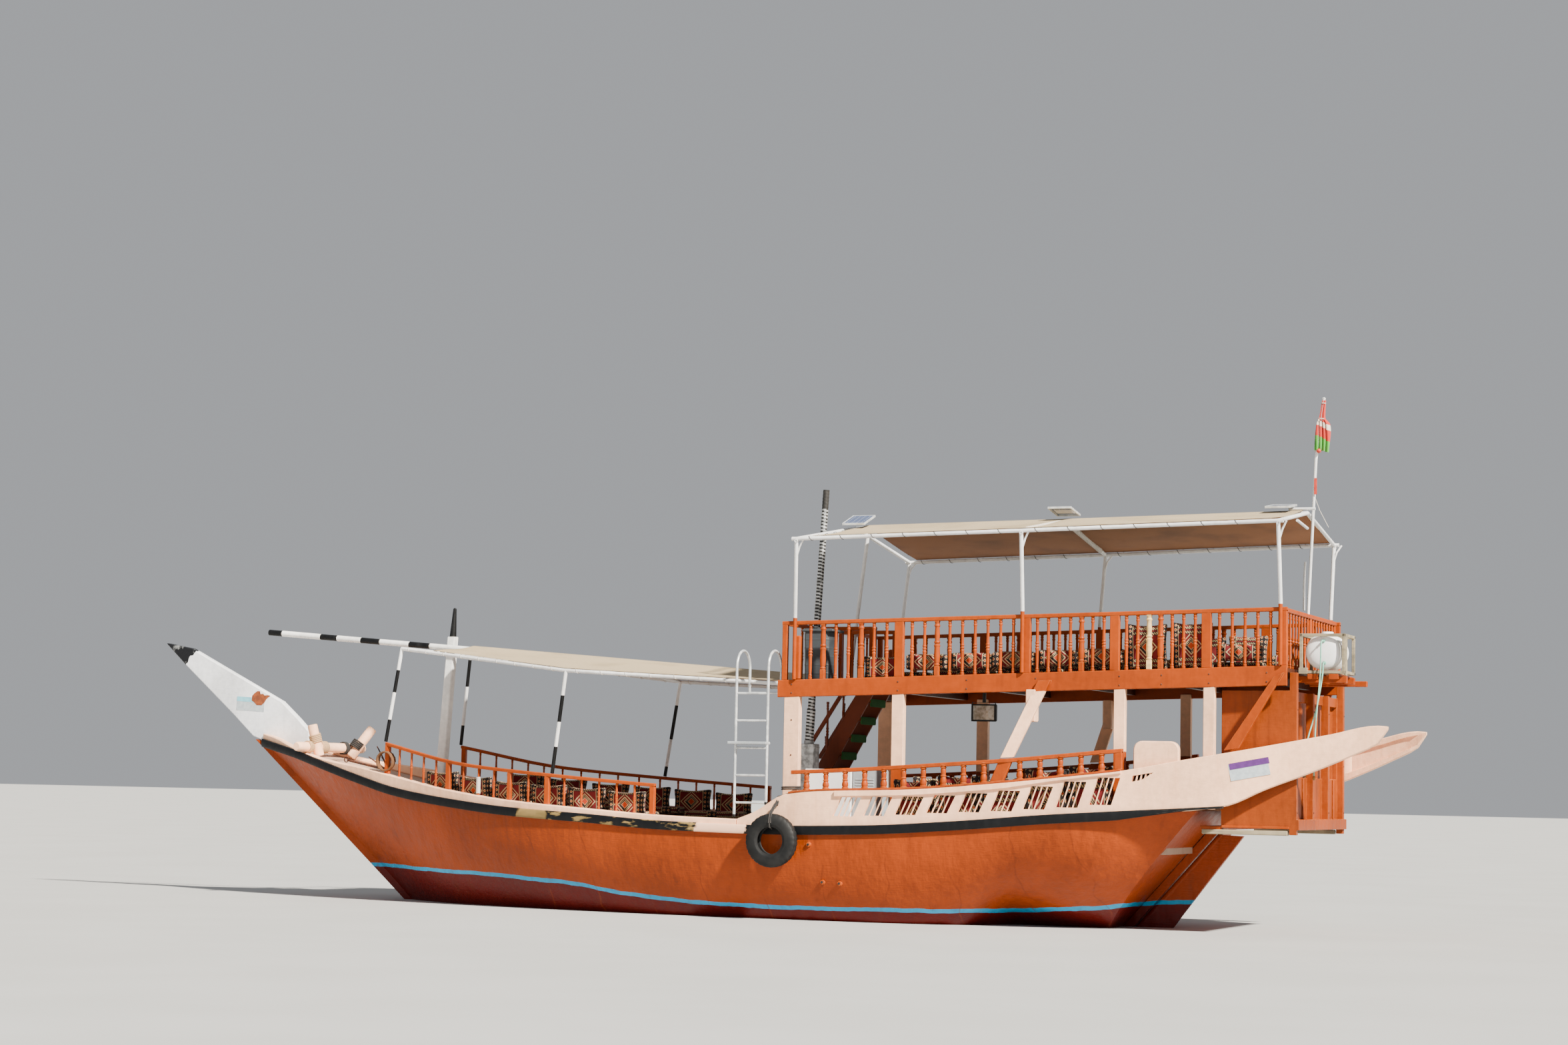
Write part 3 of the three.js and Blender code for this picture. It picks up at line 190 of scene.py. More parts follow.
# Nodes of materials


class Graph:
    """Adds nodes to a tree. A value is a number, a colour or another node's output."""

    def __init__(self, tree):
        self.tree = tree

    def add(self, kind, values=None, **settings):
        made = self.tree.nodes.new("ShaderNode" + kind)
        for name, value in settings.items():
            setattr(made, name, value)
        for name, value in (values or {}).items():
            self.feed(made.inputs[name], value)
        return made

    def feed(self, socket, value):
        if isinstance(value, bpy.types.NodeSocket):
            self.tree.links.new(value, socket)
        else:
            socket.default_value = value

    def calc(self, operation, first, second=0.0, third=0.0, clamp=False):
        values = {0: first, 1: second, 2: third}
        return self.add("Math", values, operation=operation, use_clamp=clamp).outputs[0]

    def times(self, first, second):
        return self.calc("MULTIPLY", first, second)

    def plus(self, first, second):
        return self.calc("ADD", first, second)

    def minus(self, first, second):
        return self.calc("SUBTRACT", first, second)

    def size(self, value):
        return self.calc("ABSOLUTE", value)

    def above(self, value, level):
        return self.calc("GREATER_THAN", value, level)

    def below(self, value, level):
        return self.calc("LESS_THAN", value, level)

    def wrap(self, value, half):
        return self.calc("WRAP", value, half, -half)

    def mix(self, share, first, second, how="MIX"):
        values = {0: share, 6: first, 7: second}
        return self.add("Mix", values, data_type="RGBA", blend_type=how).outputs[2]

    def ease(self, value, low, high, start=0.0, end=1.0):
        values = {0: value, 1: low, 2: high, 3: start, 4: end}
        return self.add("MapRange", values, interpolation_type="SMOOTHSTEP").outputs[0]

    def band(self, value, centre, half_width):
        return self.calc("COMPARE", value, centre, half_width)

    def place(self, stretch=(1, 1, 1), where="Object"):
        source = self.add("TexCoord").outputs[where]
        return self.add("Mapping", {"Vector": source, "Scale": stretch}).outputs[0]

    def spots(self, where="Object"):
        return self.add("SeparateXYZ", {0: self.place(where=where)}).outputs

    def noise(self, scale, detail=3.0, stretch=(1, 1, 1), where="Object"):
        values = {"Vector": self.place(stretch, where), "Scale": scale, "Detail": detail, "Roughness": 0.55}
        return self.add("TexNoise", values).outputs["Fac"]

    def raised(self, inputs, height, distance):
        """Relief on a shader with these inputs."""
        bump = self.add("Bump", {"Height": height, "Distance": distance, "Strength": 1.0})
        self.feed(inputs["Normal"], bump.outputs[0])


SOCKETS = {"colour": "NodeSocketColor", "value": "NodeSocketFloat"}


def shader_group(name, inputs, outputs, build):
    """A group of nodes, made once. build takes the graph and the group's inputs, and gives its outputs."""
    tree = bpy.data.node_groups.new(name, "ShaderNodeTree")
    for label, kind, value in inputs:
        socket = tree.interface.new_socket(label, in_out="INPUT", socket_type=SOCKETS[kind])
        socket.default_value = value
    for label, kind in outputs:
        tree.interface.new_socket(label, in_out="OUTPUT", socket_type=SOCKETS[kind])
    graph = Graph(tree)
    given = tree.nodes.new("NodeGroupInput").outputs
    result = tree.nodes.new("NodeGroupOutput")
    for label, output in build(graph, given).items():
        graph.feed(result.inputs[label], output)
    return tree


def build_aged_paint(g, given):
    """Brushed paint with patches of tone, runs of dirt and chips down to what is under it."""
    broad = g.noise(0.9, 3)
    fine = g.noise(14, 5)
    brush = g.noise(22, 2, (0.25, 3.0, 3.0))
    swell = g.noise(3.4, 3, (1.5, 1.5, 0.45))
    tone = g.plus(g.ease(broad, 0.3, 0.7, 0.82, 1.12), g.ease(fine, 0.3, 0.7, -0.06, 0.06))
    toned = g.mix(1.0, given["Colour"], tone, "MULTIPLY")
    runs = g.times(g.ease(g.noise(2.6, 4, (3.2, 3.2, 0.32)), 0.5, 0.78), given["Runs"])
    dirty = g.mix(runs, toned, given["Dirt"])
    spread = g.plus(g.times(g.noise(7, 6), 0.7), g.times(g.noise(1.7, 2), 0.3))
    edge = g.minus(0.78, given["Chips"])
    chipped = g.ease(spread, edge, g.plus(edge, 0.015))
    height = g.plus(g.times(brush, 0.25), g.times(fine, 0.35))
    height = g.plus(height, g.times(swell, 1.6))
    return {
        "Colour": g.mix(chipped, dirty, given["Bare"]),
        "Roughness": g.plus(g.ease(fine, 0.2, 0.8, -0.08, 0.1), g.times(chipped, 0.15)),
        "Height": g.minus(height, g.times(chipped, 0.5)),
    }


AGED_PAINT = shader_group(
    "Aged paint",
    [
        ("Colour", "colour", rgb(200, 100, 40)),
        ("Bare", "colour", rgb(120, 90, 70)),
        ("Dirt", "colour", rgb(90, 60, 40)),
        ("Runs", "value", 0.3),
        ("Chips", "value", 0.05),
    ],
    [("Colour", "colour"), ("Roughness", "value"), ("Height", "value")],
    build_aged_paint,
)


def build_edge_wear(g, given):
    """Shows where an edge is, broken up so that it looks knocked and rubbed."""
    rounded = g.add("Bevel", {"Radius": given["Width"]}, samples=4).outputs[0]
    true = g.add("NewGeometry").outputs["Normal"]
    facing = g.add("VectorMath", {0: rounded, 1: true}, operation="DOT_PRODUCT").outputs["Value"]
    rubbed = g.ease(g.minus(1.0, facing), 0.02, 0.2)
    patchy = g.ease(g.noise(11, 4), 0.42, 0.6)
    return {"Mask": g.times(rubbed, patchy)}


EDGE_WEAR = shader_group("Edge wear", [("Width", "value", 0.01)], [("Mask", "value")], build_edge_wear)


def build_grain(g, given):
    """Long wood grain along the boat or up a post."""
    along = g.noise(30, 4, (0.06, 1, 1))
    return {"Height": along, "Shade": g.ease(along, 0.3, 0.7, 0.78, 1.15)}


WOOD_GRAIN = shader_group("Wood grain", [], [("Height", "value"), ("Shade", "value")], build_grain)


def build_weave(g, given):
    """Crossed threads of a plain weave."""
    threads = []
    for direction in "XY":
        values = {"Vector": g.place((1, 1, 1), "UV"), "Scale": given["Threads"], "Distortion": 0.4}
        wave = g.add("TexWave", values, wave_type="BANDS", bands_direction=direction)
        threads.append(wave.outputs["Fac"])
    woven = g.calc("MAXIMUM", *threads)
    # Shade is painted shade between the threads, with a slight painted highlight on their tops
    return {"Height": woven, "Shade": g.ease(woven, 0.0, 1.0, 0.88, 1.05)}


WEAVE = shader_group(
    "Weave", [("Threads", "value", 90.0)], [("Height", "value"), ("Shade", "value")], build_weave
)


def build_rope_lay(g, given):
    """Strands that wind round a rope. The first place runs round it, the second along it."""
    spots = g.spots("UV")
    turn = g.plus(g.times(spots[0], 3.0), g.times(spots[1], given["Twist"]))
    strand = g.size(g.calc("SINE", g.times(turn, math.pi)))
    # Shade is painted shade: it darkens the grooves between the strands
    return {"Height": strand, "Shade": g.ease(strand, 0.0, 0.7, 0.45, 1.0)}


ROPE_LAY = shader_group(
    "Rope lay", [("Twist", "value", 60.0)], [("Height", "value"), ("Shade", "value")], build_rope_lay
)

KILIM = {
    "red": rgb(104, 4, 10), "black": rgb(12, 8, 9), "cream": rgb(196, 172, 126),
    "orange": rgb(176, 56, 8), "green": rgb(12, 66, 36),
}
# Sizes in the kilim's pattern
KNOT = 0.0085
REPEAT = {"across": 0.5, "up": 0.42}
DIAMOND_HALF = 0.135


def build_kilim(g, given):
    """Knotted diamonds between flowered bands, stepped to the size of a knot."""
    spots = g.spots("UV")
    stepped = [g.calc("SNAP", spots[i], KNOT) for i in (0, 1)]
    wrapped = [g.wrap(stepped[i], size / 2) for i, size in enumerate(REPEAT.values())]
    across, up = (g.size(value) for value in wrapped)
    ring = g.calc("DIVIDE", g.plus(across, up), DIAMOND_HALF)
    cloth = g.mix(g.below(ring, 1.32), KILIM["red"], KILIM["black"])
    for size, paint in ((1.2, "cream"), (1.08, "red"), (0.86, "cream"), (0.74, "black"), (0.44, "cream")):
        cloth = g.mix(g.below(ring, size), cloth, KILIM[paint])
    cloth = g.mix(g.below(ring, 0.34), cloth, KILIM["orange"])
    checks = g.calc("FLOORED_MODULO", g.plus(stepped[0], stepped[1]), 4 * KNOT)
    dotted = g.below(checks, 1.5 * KNOT)
    notched = g.times(g.band(ring, 0.6, 0.06), dotted)
    cloth = g.mix(notched, cloth, KILIM["cream"])
    rows = g.times(g.band(up, 0.175, 0.02), dotted)
    cloth = g.mix(g.band(up, 0.175, 0.026), cloth, KILIM["black"])
    cloth = g.mix(rows, cloth, KILIM["cream"])
    # Flowered band between two cream stripes at each end of the repeat
    side = g.above(across, 0.182)
    cloth = g.mix(side, cloth, KILIM["black"])
    from_middle = g.size(g.minus(across, 0.216))
    along = g.wrap(stepped[1], 0.034)
    petal = g.plus(from_middle, g.times(g.size(along), 0.8))
    pairs = g.above(g.wrap(stepped[1], 0.068), 0.0)
    flower = g.mix(pairs, KILIM["orange"], KILIM["green"])
    for size, paint in ((0.022, KILIM["cream"]), (0.015, flower)):
        cloth = g.mix(g.times(side, g.below(petal, size)), cloth, paint)
    stripes = g.plus(g.band(across, 0.18, 0.003), g.above(across, 0.247))
    cloth = g.mix(stripes, cloth, KILIM["cream"])
    pile = g.noise(260, 2, where="UV")
    return {"Colour": g.mix(g.ease(pile, 0.3, 0.7, 0.0, 0.2), cloth, rgb(60, 20, 22)), "Height": pile}


KILIM_CLOTH = shader_group("Kilim", [], [("Colour", "colour"), ("Height", "value")], build_kilim)


def new_material(name):
    """A material, its graph and its shader's inputs."""
    material = bpy.data.materials.new(name)
    material.use_nodes = True
    return material, Graph(material.node_tree), material.node_tree.nodes["Principled BSDF"].inputs


def finish(name, colour, roughness=0.5, metallic=0.0, height=None, relief=0.002, **sockets):
    """A material from its colour and height, which are values or take the graph and give an output."""
    material, graph, inputs = new_material(name)
    for label, value in (("Base Color", colour), ("Roughness", roughness), ("Metallic", metallic)):
        graph.feed(inputs[label], value(graph) if callable(value) else value)
    if height:
        graph.raised(inputs, height(graph), relief)
    for label, value in sockets.items():
        graph.feed(inputs[label.replace("_", " ")], value)
    return material


def group_node(graph, group, **values):
    """A group placed in a material with its own values."""
    made = graph.tree.nodes.new("ShaderNodeGroup")
    made.node_tree = group
    for label, value in values.items():
        graph.feed(made.inputs[label], value)
    return made.outputs


def painted(name, colour, bare, dirt, runs=0.3, chips=0.06, wear=0.012, gloss=0.45, relief=0.003, extra=None):
    """Aged paint with worn edges. extra takes the graph and a colour and gives it back with more on it."""
    material, graph, inputs = new_material(name)
    base = colour(graph) if callable(colour) else colour
    paint = group_node(graph, AGED_PAINT, Colour=base, Bare=bare, Dirt=dirt, Runs=runs, Chips=chips)
    shown = paint["Colour"]
    if wear:
        shown = graph.mix(group_node(graph, EDGE_WEAR, Width=wear)["Mask"], shown, bare)
    if extra:
        shown = extra(graph, shown)
    graph.feed(inputs["Base Color"], shown)
    graph.feed(inputs["Roughness"], graph.calc("ADD", paint["Roughness"], gloss, clamp=True))
    graph.feed(inputs["Specular IOR Level"], 0.2)
    graph.raised(inputs, paint["Height"], relief)
    return material


def height_over_stripe(g):
    """How far a point of the hull is above the painted waterline stripe."""
    spots = g.spots()
    ends = (STRIPE_Z[0][0], STRIPE_Z[-1][0])
    share = g.calc("DIVIDE", g.minus(spots[0], ends[0]), ends[1] - ends[0])
    line = g.add("FloatCurve", {"Value": share})
    curve = line.mapping.curves[0]
    for i, (x, z) in enumerate(STRIPE_Z):
        at = (x - ends[0]) / (ends[1] - ends[0])
        if i in (0, len(STRIPE_Z) - 1):
            curve.points[0 if i == 0 else -1].location = (at, z)
        else:
            curve.points.new(at, z)
    line.mapping.update()
    wobble = g.ease(g.noise(3.5, 2), 0.3, 0.7, -0.006, 0.006)
    return g.plus(g.minus(spots[2], line.outputs[0]), wobble)


STRIPE_HALF = 0.026


def hull_colour(g):
    """Orange topsides over a sky-blue stripe over red bottom paint."""
    above = height_over_stripe(g)
    low = g.mix(g.above(above, -STRIPE_HALF), rgb(92, 14, 7), rgb(28, 158, 208))
    return g.mix(g.above(above, STRIPE_HALF), low, rgb(148, 57, 3))


def hull_seams(g, shown):
    """Faint upright ridges of the sheathing, drawn as darker lines."""
    spots = g.spots()
    lean = g.times(spots[2], 0.12)
    sway = g.ease(g.noise(1.2, 2), 0.2, 0.8, -0.12, 0.12)
    along = g.wrap(g.plus(g.plus(spots[0], lean), sway), 0.42)
    ridge = g.ease(g.size(along), 0.02, 0.0, 0.0, 0.6)
    ridge = g.times(ridge, g.ease(g.noise(1.6, 3), 0.45, 0.6))
    return g.mix(ridge, shown, rgb(116, 44, 8))


ORANGE = rgb(156, 62, 3)
ORANGE_PAINT = painted("orange_paint", ORANGE, rgb(184, 104, 54), rgb(92, 36, 10), 0.35, 0.03)
CABIN_PAINT = painted(
    "cabin_paint", rgb(140, 59, 8), rgb(188, 112, 64), rgb(84, 34, 12), 0.55, 0.07, relief=0.006
)
BROWN_PAINT = painted("brown_orange_paint", rgb(98, 42, 18), rgb(142, 72, 38), rgb(56, 26, 14), 0.4, 0.05)
# Brown paint made darker as painted shade for the shaded underside of the upper deck
BROWN_WITH_PAINTED_SHADE = painted("underside_brown_painted_shade", rgb(76, 34, 16), rgb(112, 62, 36), rgb(36, 18, 10), 0.4, 0.04, 0.0)
HULL_PAINT = painted(
    "hull_paint", hull_colour, rgb(192, 108, 58), rgb(94, 36, 10), 0.32, 0.035, 0.0, 0.42, 0.012, hull_seams
)
PINK_PAINT = painted(
    "pink_paint", rgb(255, 202, 164), rgb(150, 118, 94), rgb(206, 140, 98), 0.22, 0.05, 0.008, 0.45, 0.005
)
WHITE_PAINT = painted("white_paint", rgb(242, 242, 240), rgb(170, 166, 158), rgb(196, 194, 190), 0.35, 0.04)
BLACK_PAINT = painted(
    "black_paint", rgb(12, 13, 15), rgb(110, 102, 92), rgb(52, 52, 54), 0.3, 0.05, 0.01, 0.5
)
DECK_PAINT = painted(
    "deck_paint", rgb(176, 150, 132), rgb(120, 100, 84), rgb(110, 88, 74), 0.3, 0.1, 0.0, 0.55
)
PIPE = {"wear": 0.0, "gloss": 0.4, "relief": 0.0008}
PIPE_WHITE = painted(
    "white_pipe", rgb(226, 226, 226), rgb(150, 96, 66), rgb(178, 172, 166), 0.35, 0.04, **PIPE
)
PIPE_BLACK = painted("black_pipe", rgb(12, 12, 13), rgb(104, 94, 84), rgb(40, 40, 40), 0.3, 0.05, **PIPE)
PIPE_ORANGE = painted("orange_pipe", ORANGE, rgb(160, 110, 80), rgb(120, 56, 26), 0.3, 0.05, **PIPE)


def worn_band(g, shown):
    """Where people climb aboard the band is rubbed to the wood, then scuffed, then covered by pink paint."""
    spots = g.spots()
    ragged = g.plus(spots[0], g.ease(g.noise(2.6, 5), 0.3, 0.7, -0.16, 0.16))
    wood = g.mix(g.noise(5, 4, (0.5, 1, 2)), rgb(176, 146, 92), rgb(92, 78, 40))
    rubbed = g.times(g.ease(ragged, -2.9, -2.78), g.ease(ragged, -2.4, -2.5))
    shown = g.mix(g.times(rubbed, 0.85), shown, wood)
    scuffed = g.times(g.ease(ragged, -2.5, -2.3), g.ease(g.noise(6, 6, (0.6, 1, 2)), 0.55, 0.66))
    shown = g.mix(g.times(scuffed, g.ease(ragged, 0.6, 0.5)), shown, wood)
    covered = g.times(g.ease(ragged, -0.08, -0.02), g.ease(ragged, 0.6, 0.54))
    return g.mix(covered, shown, rgb(244, 196, 164))


BAND_PAINT = painted(
    "band_paint", rgb(11, 13, 16), rgb(104, 98, 92), rgb(34, 34, 36), 0.3, 0.06, 0.008, 0.5, 0.004, worn_band
)


def prow_tip(g, shown):
    """Black tip with a scuffed, uneven edge."""
    spots = g.spots()
    slant = g.plus(spots[0], g.times(g.minus(spots[2], 3.43), -0.75))
    ragged = g.plus(slant, g.ease(g.noise(5, 4), 0.2, 0.8, -0.05, 0.05))
    scuffed = g.mix(g.ease(g.noise(9, 4, (1, 1, 0.5)), 0.56, 0.66), rgb(24, 25, 28), rgb(120, 122, 122))
    return g.mix(g.below(ragged, -9.2), shown, scuffed)


PROW_PAINT = painted(
    "prow_paint", rgb(232, 234, 238), rgb(190, 190, 188), rgb(200, 202, 204), 0.35, 0.05, 0.01, 0.4, 0.004,
    prow_tip,
)


def woody(name, colour, gloss, relief=0.0015, shade_dark=0.55):
    """Bare or varnished timber with its grain."""

    def coloured(g):
        grain = group_node(g, WOOD_GRAIN)["Shade"]
        patches = g.ease(g.noise(3, 4), 0.3, 0.7, shade_dark, 1.1)
        return g.mix(1.0, g.mix(1.0, colour, grain, "MULTIPLY"), patches, "MULTIPLY")

    return finish(name, coloured, gloss, height=lambda g: group_node(g, WOOD_GRAIN)["Height"], relief=relief)


WEATHERED = woody("weathered_wood", rgb(150, 138, 112), 0.85, 0.003)
PINE = woody("pine_wood", rgb(228, 190, 122), 0.6, 0.001, 0.85)
VARNISHED = woody("varnished_wood", rgb(132, 72, 34), 0.3)


def cloth_finish(name, colour, threads, stain, stain_share, roughness=0.9):
    """Woven cloth with its stains."""

    def coloured(g):
        # The weave's Shade paints shade between the threads and a slight highlight on their tops
        shade = group_node(g, WEAVE, Threads=threads)["Shade"]
        base = g.mix(1.0, colour, shade, "MULTIPLY")
        spots = g.ease(g.noise(1.4, 5), 0.42, 0.72, 0.0, stain_share)
        return g.mix(spots, base, stain)

    return finish(
        name, coloured, roughness, relief=0.0006,
        height=lambda g: group_node(g, WEAVE, Threads=threads)["Height"],
    )


CANVAS_TOP = cloth_finish("canvas", rgb(178, 160, 128), 70.0, rgb(148, 128, 96), 0.5)
CANVAS_UNDER = cloth_finish("canvas_underside", rgb(138, 88, 48), 70.0, rgb(88, 54, 30), 0.6)
CARPET = cloth_finish("tread_carpet", rgb(40, 104, 46), 160.0, rgb(20, 58, 28), 0.6, 0.95)
KILIM_FINISH = finish(
    "kilim", lambda g: group_node(g, KILIM_CLOTH)["Colour"], 0.95,
    height=lambda g: group_node(g, KILIM_CLOTH)["Height"], relief=0.0015, Sheen_Weight=0.06,
)


def rope_finish(name, colour):
    """Laid rope."""

    def coloured(g):
        # The lay's Shade is painted shade in the grooves between the strands
        return g.mix(1.0, colour, group_node(g, ROPE_LAY)["Shade"], "MULTIPLY")

    return finish(name, coloured, 0.9, height=lambda g: group_node(g, ROPE_LAY)["Height"])


ROPE_TAN = rope_finish("tan_rope", rgb(196, 160, 120))
ROPE_DARK = rope_finish("dark_rope", rgb(50, 46, 44))
ROPE_BROWN = rope_finish("brown_rope", rgb(112, 74, 44))
ROPE_WHITE = rope_finish("white_rope", rgb(222, 214, 204))


def mottled(name, colour, second, scale, roughness, metallic=0.0, relief=0.001, **sockets):
    """Two tones in patches, with a little relief of the same grain."""

    def coloured(g):
        return g.mix(g.ease(g.noise(scale, 4), 0.35, 0.65), colour, second)

    return finish(
        name, coloured, roughness, metallic, height=lambda g: g.noise(scale * 3, 4), relief=relief, **sockets
    )


STEEL = mottled("galvanised_steel", rgb(226, 229, 230), rgb(190, 194, 196), 12, 0.36, 0.4, 0.0006)
BRASS = mottled("dull_brass", rgb(150, 112, 60), rgb(96, 78, 50), 18, 0.42, 0.85)
BRONZE = mottled("bronze", rgb(150, 106, 54), rgb(92, 104, 78), 6, 0.45, 0.8)
RUSTY = mottled("rusty_iron", rgb(104, 58, 36), rgb(62, 44, 38), 16, 0.85, 0.25, 0.003)
ENGINE_GREEN = mottled("engine_iron", rgb(70, 84, 78), rgb(48, 46, 42), 9, 0.6, 0.2)
FOIL = mottled("foil", rgb(206, 209, 210), rgb(140, 142, 142), 13, 0.42, 0.4, 0.004)
# Smoke-black, also used as painted shade on the exhaust wrap and for the outlets' bores
SOOT_AND_PAINTED_SHADE = mottled("soot_and_painted_shade", rgb(16, 16, 17), rgb(40, 38, 36), 10, 0.7, 0.1, 0.002)
GREY_PLASTIC = mottled("grey_plastic", rgb(56, 62, 66), rgb(40, 44, 48), 3, 0.55)
WHITE_PLASTIC = mottled(
    "white_plastic", rgb(250, 250, 250), rgb(236, 236, 234), 2.2, 0.45, Subsurface_Weight=0.05
)
PALE_GREY = mottled("pale_grey_panel", rgb(176, 182, 186), rgb(150, 156, 160), 3, 0.5)
BLACK_METAL = mottled("black_metal", rgb(12, 12, 13), rgb(24, 24, 25), 14, 0.45, 0.4)
RUBBER = mottled("tyre_rubber", rgb(15, 16, 17), rgb(30, 30, 30), 5, 0.6, 0.0, 0.001, Specular_IOR_Level=0.25)
HOSE_GREEN = mottled("green_hose", rgb(140, 204, 180), rgb(108, 172, 150), 7, 0.45, Coat_Weight=0.2)
LAMP_GLASS = mottled("lamp_glass", rgb(196, 190, 178), rgb(150, 138, 118), 16, 0.12, 0.3, Coat_Weight=0.6)
BUTTON_RED = mottled("float_red", rgb(206, 60, 40), rgb(170, 44, 34), 10, 0.5)
PLATE_GREY = mottled("plate_grey", rgb(186, 196, 200), rgb(170, 180, 186), 20, 0.35)
PLATE_PURPLE = mottled("plate_purple", rgb(92, 44, 116), rgb(82, 40, 104), 20, 0.35)
PLATE_BLUE = mottled("plate_blue", rgb(136, 206, 222), rgb(120, 190, 208), 20, 0.35)
PEELED = mottled("peeled_patch", rgb(150, 74, 30), rgb(112, 56, 28), 14, 0.75, 0.0, 0.003)
STUDIO_FLOOR = mottled("studio_floor", rgb(180, 180, 178), rgb(176, 176, 174), 0.4, 0.85, relief=0.0002)


def solar_cells(g):
    """Dark blue cells with thin bright lines between them."""
    spots = g.spots("UV")
    cell = 0.078
    lines = [g.size(g.wrap(spots[i], cell / 2)) for i in (0, 1)]
    edge = g.above(g.calc("MAXIMUM", *lines), cell / 2 - 0.0018)
    wires = g.below(g.size(g.wrap(spots[0], 0.013)), 0.0007)
    cells = g.mix(g.noise(30, 3), rgb(38, 58, 104), rgb(56, 78, 128))
    return g.mix(edge, g.mix(wires, cells, rgb(120, 134, 160)), rgb(196, 202, 210))


SOLAR = finish("solar_glass", solar_cells, 0.2, Coat_Weight=0.8)


def flag_colour(g):
    """Green foot, red middle, a white fold and a red head on the crumpled flag, with random darker, browner
    patches.
    """
    spots = g.spots("UV")
    height = g.plus(spots[1], g.times(spots[0], 0.12))
    shown = rgb(70, 156, 44)
    for level, colour in ((0.32, rgb(190, 34, 16)), (0.53, rgb(228, 214, 196)), (0.64, rgb(190, 34, 16))):
        shown = g.mix(g.above(height, level), shown, colour)
    return g.mix(g.ease(g.noise(8, 3), 0.4, 0.8, 0.0, 0.3), shown, rgb(120, 60, 50))


FLAG_CLOTH = finish(
    "flag_cloth", flag_colour, 0.85, height=lambda g: g.noise(120, 2), relief=0.0006, Sheen_Weight=0.2
)


# Pieces in the making


class Piece:
    """Points and faces of one piece. A face has the number of its finish, a point its spot on the cloth."""

    def __init__(self):
        self.points, self.faces, self.finishes, self.spots = [], [], [], []

    def add(self, points, faces, finish=0, spots=None):
        start = len(self.points)
        self.points += [tuple(p) for p in points]
        self.faces += [tuple(start + i for i in face) for face in faces]
        self.finishes += [finish] * len(faces) if isinstance(finish, int) else list(finish)
        self.spots += spots or [(0.0, 0.0)] * len(points)

    def skin(self, rings, finish=0, loop=False, spots=None):
        """Faces between rings of equal length and over the ends. A loop's last ring meets its first."""
        count = len(rings[0])
        last = len(rings) if loop else len(rings) - 1
        faces = [
            (i * count + j, i * count + (j + 1) % count,
             (i + 1) % len(rings) * count + (j + 1) % count, (i + 1) % len(rings) * count + j)
            for i in range(last) for j in range(count)
        ]
        if not loop:
            end = (len(rings) - 1) * count
            faces += [tuple(reversed(range(count))), tuple(range(end, end + count))]
        flat = [s for ring in spots for s in ring] if spots else None
        self.add([p for ring in rings for p in ring], faces, finish, flat)

    def sheet(self, layers, spots, rows, width, finishes=(0, 0)):
        """Thin closed sheet from an under and an upper layer of points, laid out in rows."""
        size = rows * width
        cells = [i * width + j for i in range(rows - 1) for j in range(width - 1)]
        under = [(k, k + 1, k + width + 1, k + width) for k in cells]
        upper = [tuple(k + size for k in reversed(face)) for face in under]
        edge = [*range(width), *range(2 * width - 1, size, width)]
        edge += [*range(size - 2, size - width - 1, -1), *range(size - 2 * width, 0, -width)]
        rim = [(a, b, b + size, a + size) for a, b in zip(edge, edge[1:] + edge[:1])]
        paint = [finishes[0]] * len(under) + [finishes[1]] * (len(upper) + len(rim))
        self.add(layers[0] + layers[1], under + upper + rim, paint, spots + spots)


def planed(wide, tall, chamfer):
    """Eight corners of a board's section with its edges planed off."""
    w, t = wide / 2, tall / 2
    c = min(chamfer, w / 2, t / 2)
    quarter = [(w - c, -t), (w, c - t), (w, t - c), (w - c, t)]
    return quarter + [(-x, -y) for x, y in quarter]


def bar(piece, start, end, wide, tall, finish=0, side=(0, 1, 0), chamfer=EDGE):
    """Straight board between two points. side is the direction of its width."""
    a, b = Vector(start), Vector(end)
    along = (b - a).normalized()
    across = Vector(side)
    across = (across - along * across.dot(along)).normalized()
    up = along.cross(across)
    c = min(chamfer, wide / 4, tall / 4)
    rings = []
    for at, inset in ((a, c), (a + along * c, 0.0), (b - along * c, 0.0), (b, c)):
        corners = planed(wide - 2 * inset, tall - 2 * inset, c)
        rings.append([at + across * x + up * y for x, y in corners])
    piece.skin(rings, finish)


def box(piece, xs, ys, zs, finish=0, chamfer=EDGE):
    """Upright block between two corners."""
    middle = ((ys[0] + ys[1]) / 2, (zs[0] + zs[1]) / 2)
    wide, tall = abs(ys[1] - ys[0]), abs(zs[1] - zs[0])
    bar(piece, (xs[0], *middle), (xs[1], *middle), wide, tall, finish, chamfer=chamfer)


def square_to(along):
    """Two directions square to a third and to each other."""
    across = along.orthogonal().normalized()
    return across, along.cross(across)


def circle(centre, across, up, radius, sides):
    """Points of a ring."""
    angles = [2 * math.pi * k / sides for k in range(sides)]
    return [centre + (across * math.cos(t) + up * math.sin(t)) * radius for t in angles]


def turned(piece, start, end, profile, sides=14, finish=0):
    """Round piece between two points. profile holds shares of the length and radii in metres."""
    a, b = Vector(start), Vector(end)
    square = square_to((b - a).normalized())
    rings = [circle(a.lerp(b, share), *square, max(radius, 1e-4), sides) for share, radius in profile]
    piece.skin(rings, finish)


def rod(piece, start, end, radius, finish=0, sides=14, end_radius=None):
    """Plain round bar with slightly softened ends."""
    last = radius if end_radius is None else end_radius
    soft = min(0.004 / max((Vector(end) - Vector(start)).length, 1e-3), 0.1)
    profile = [(0, radius * 0.85), (soft, radius), (1 - soft, last), (1, last * 0.85)]
    turned(piece, start, end, profile, sides, finish)


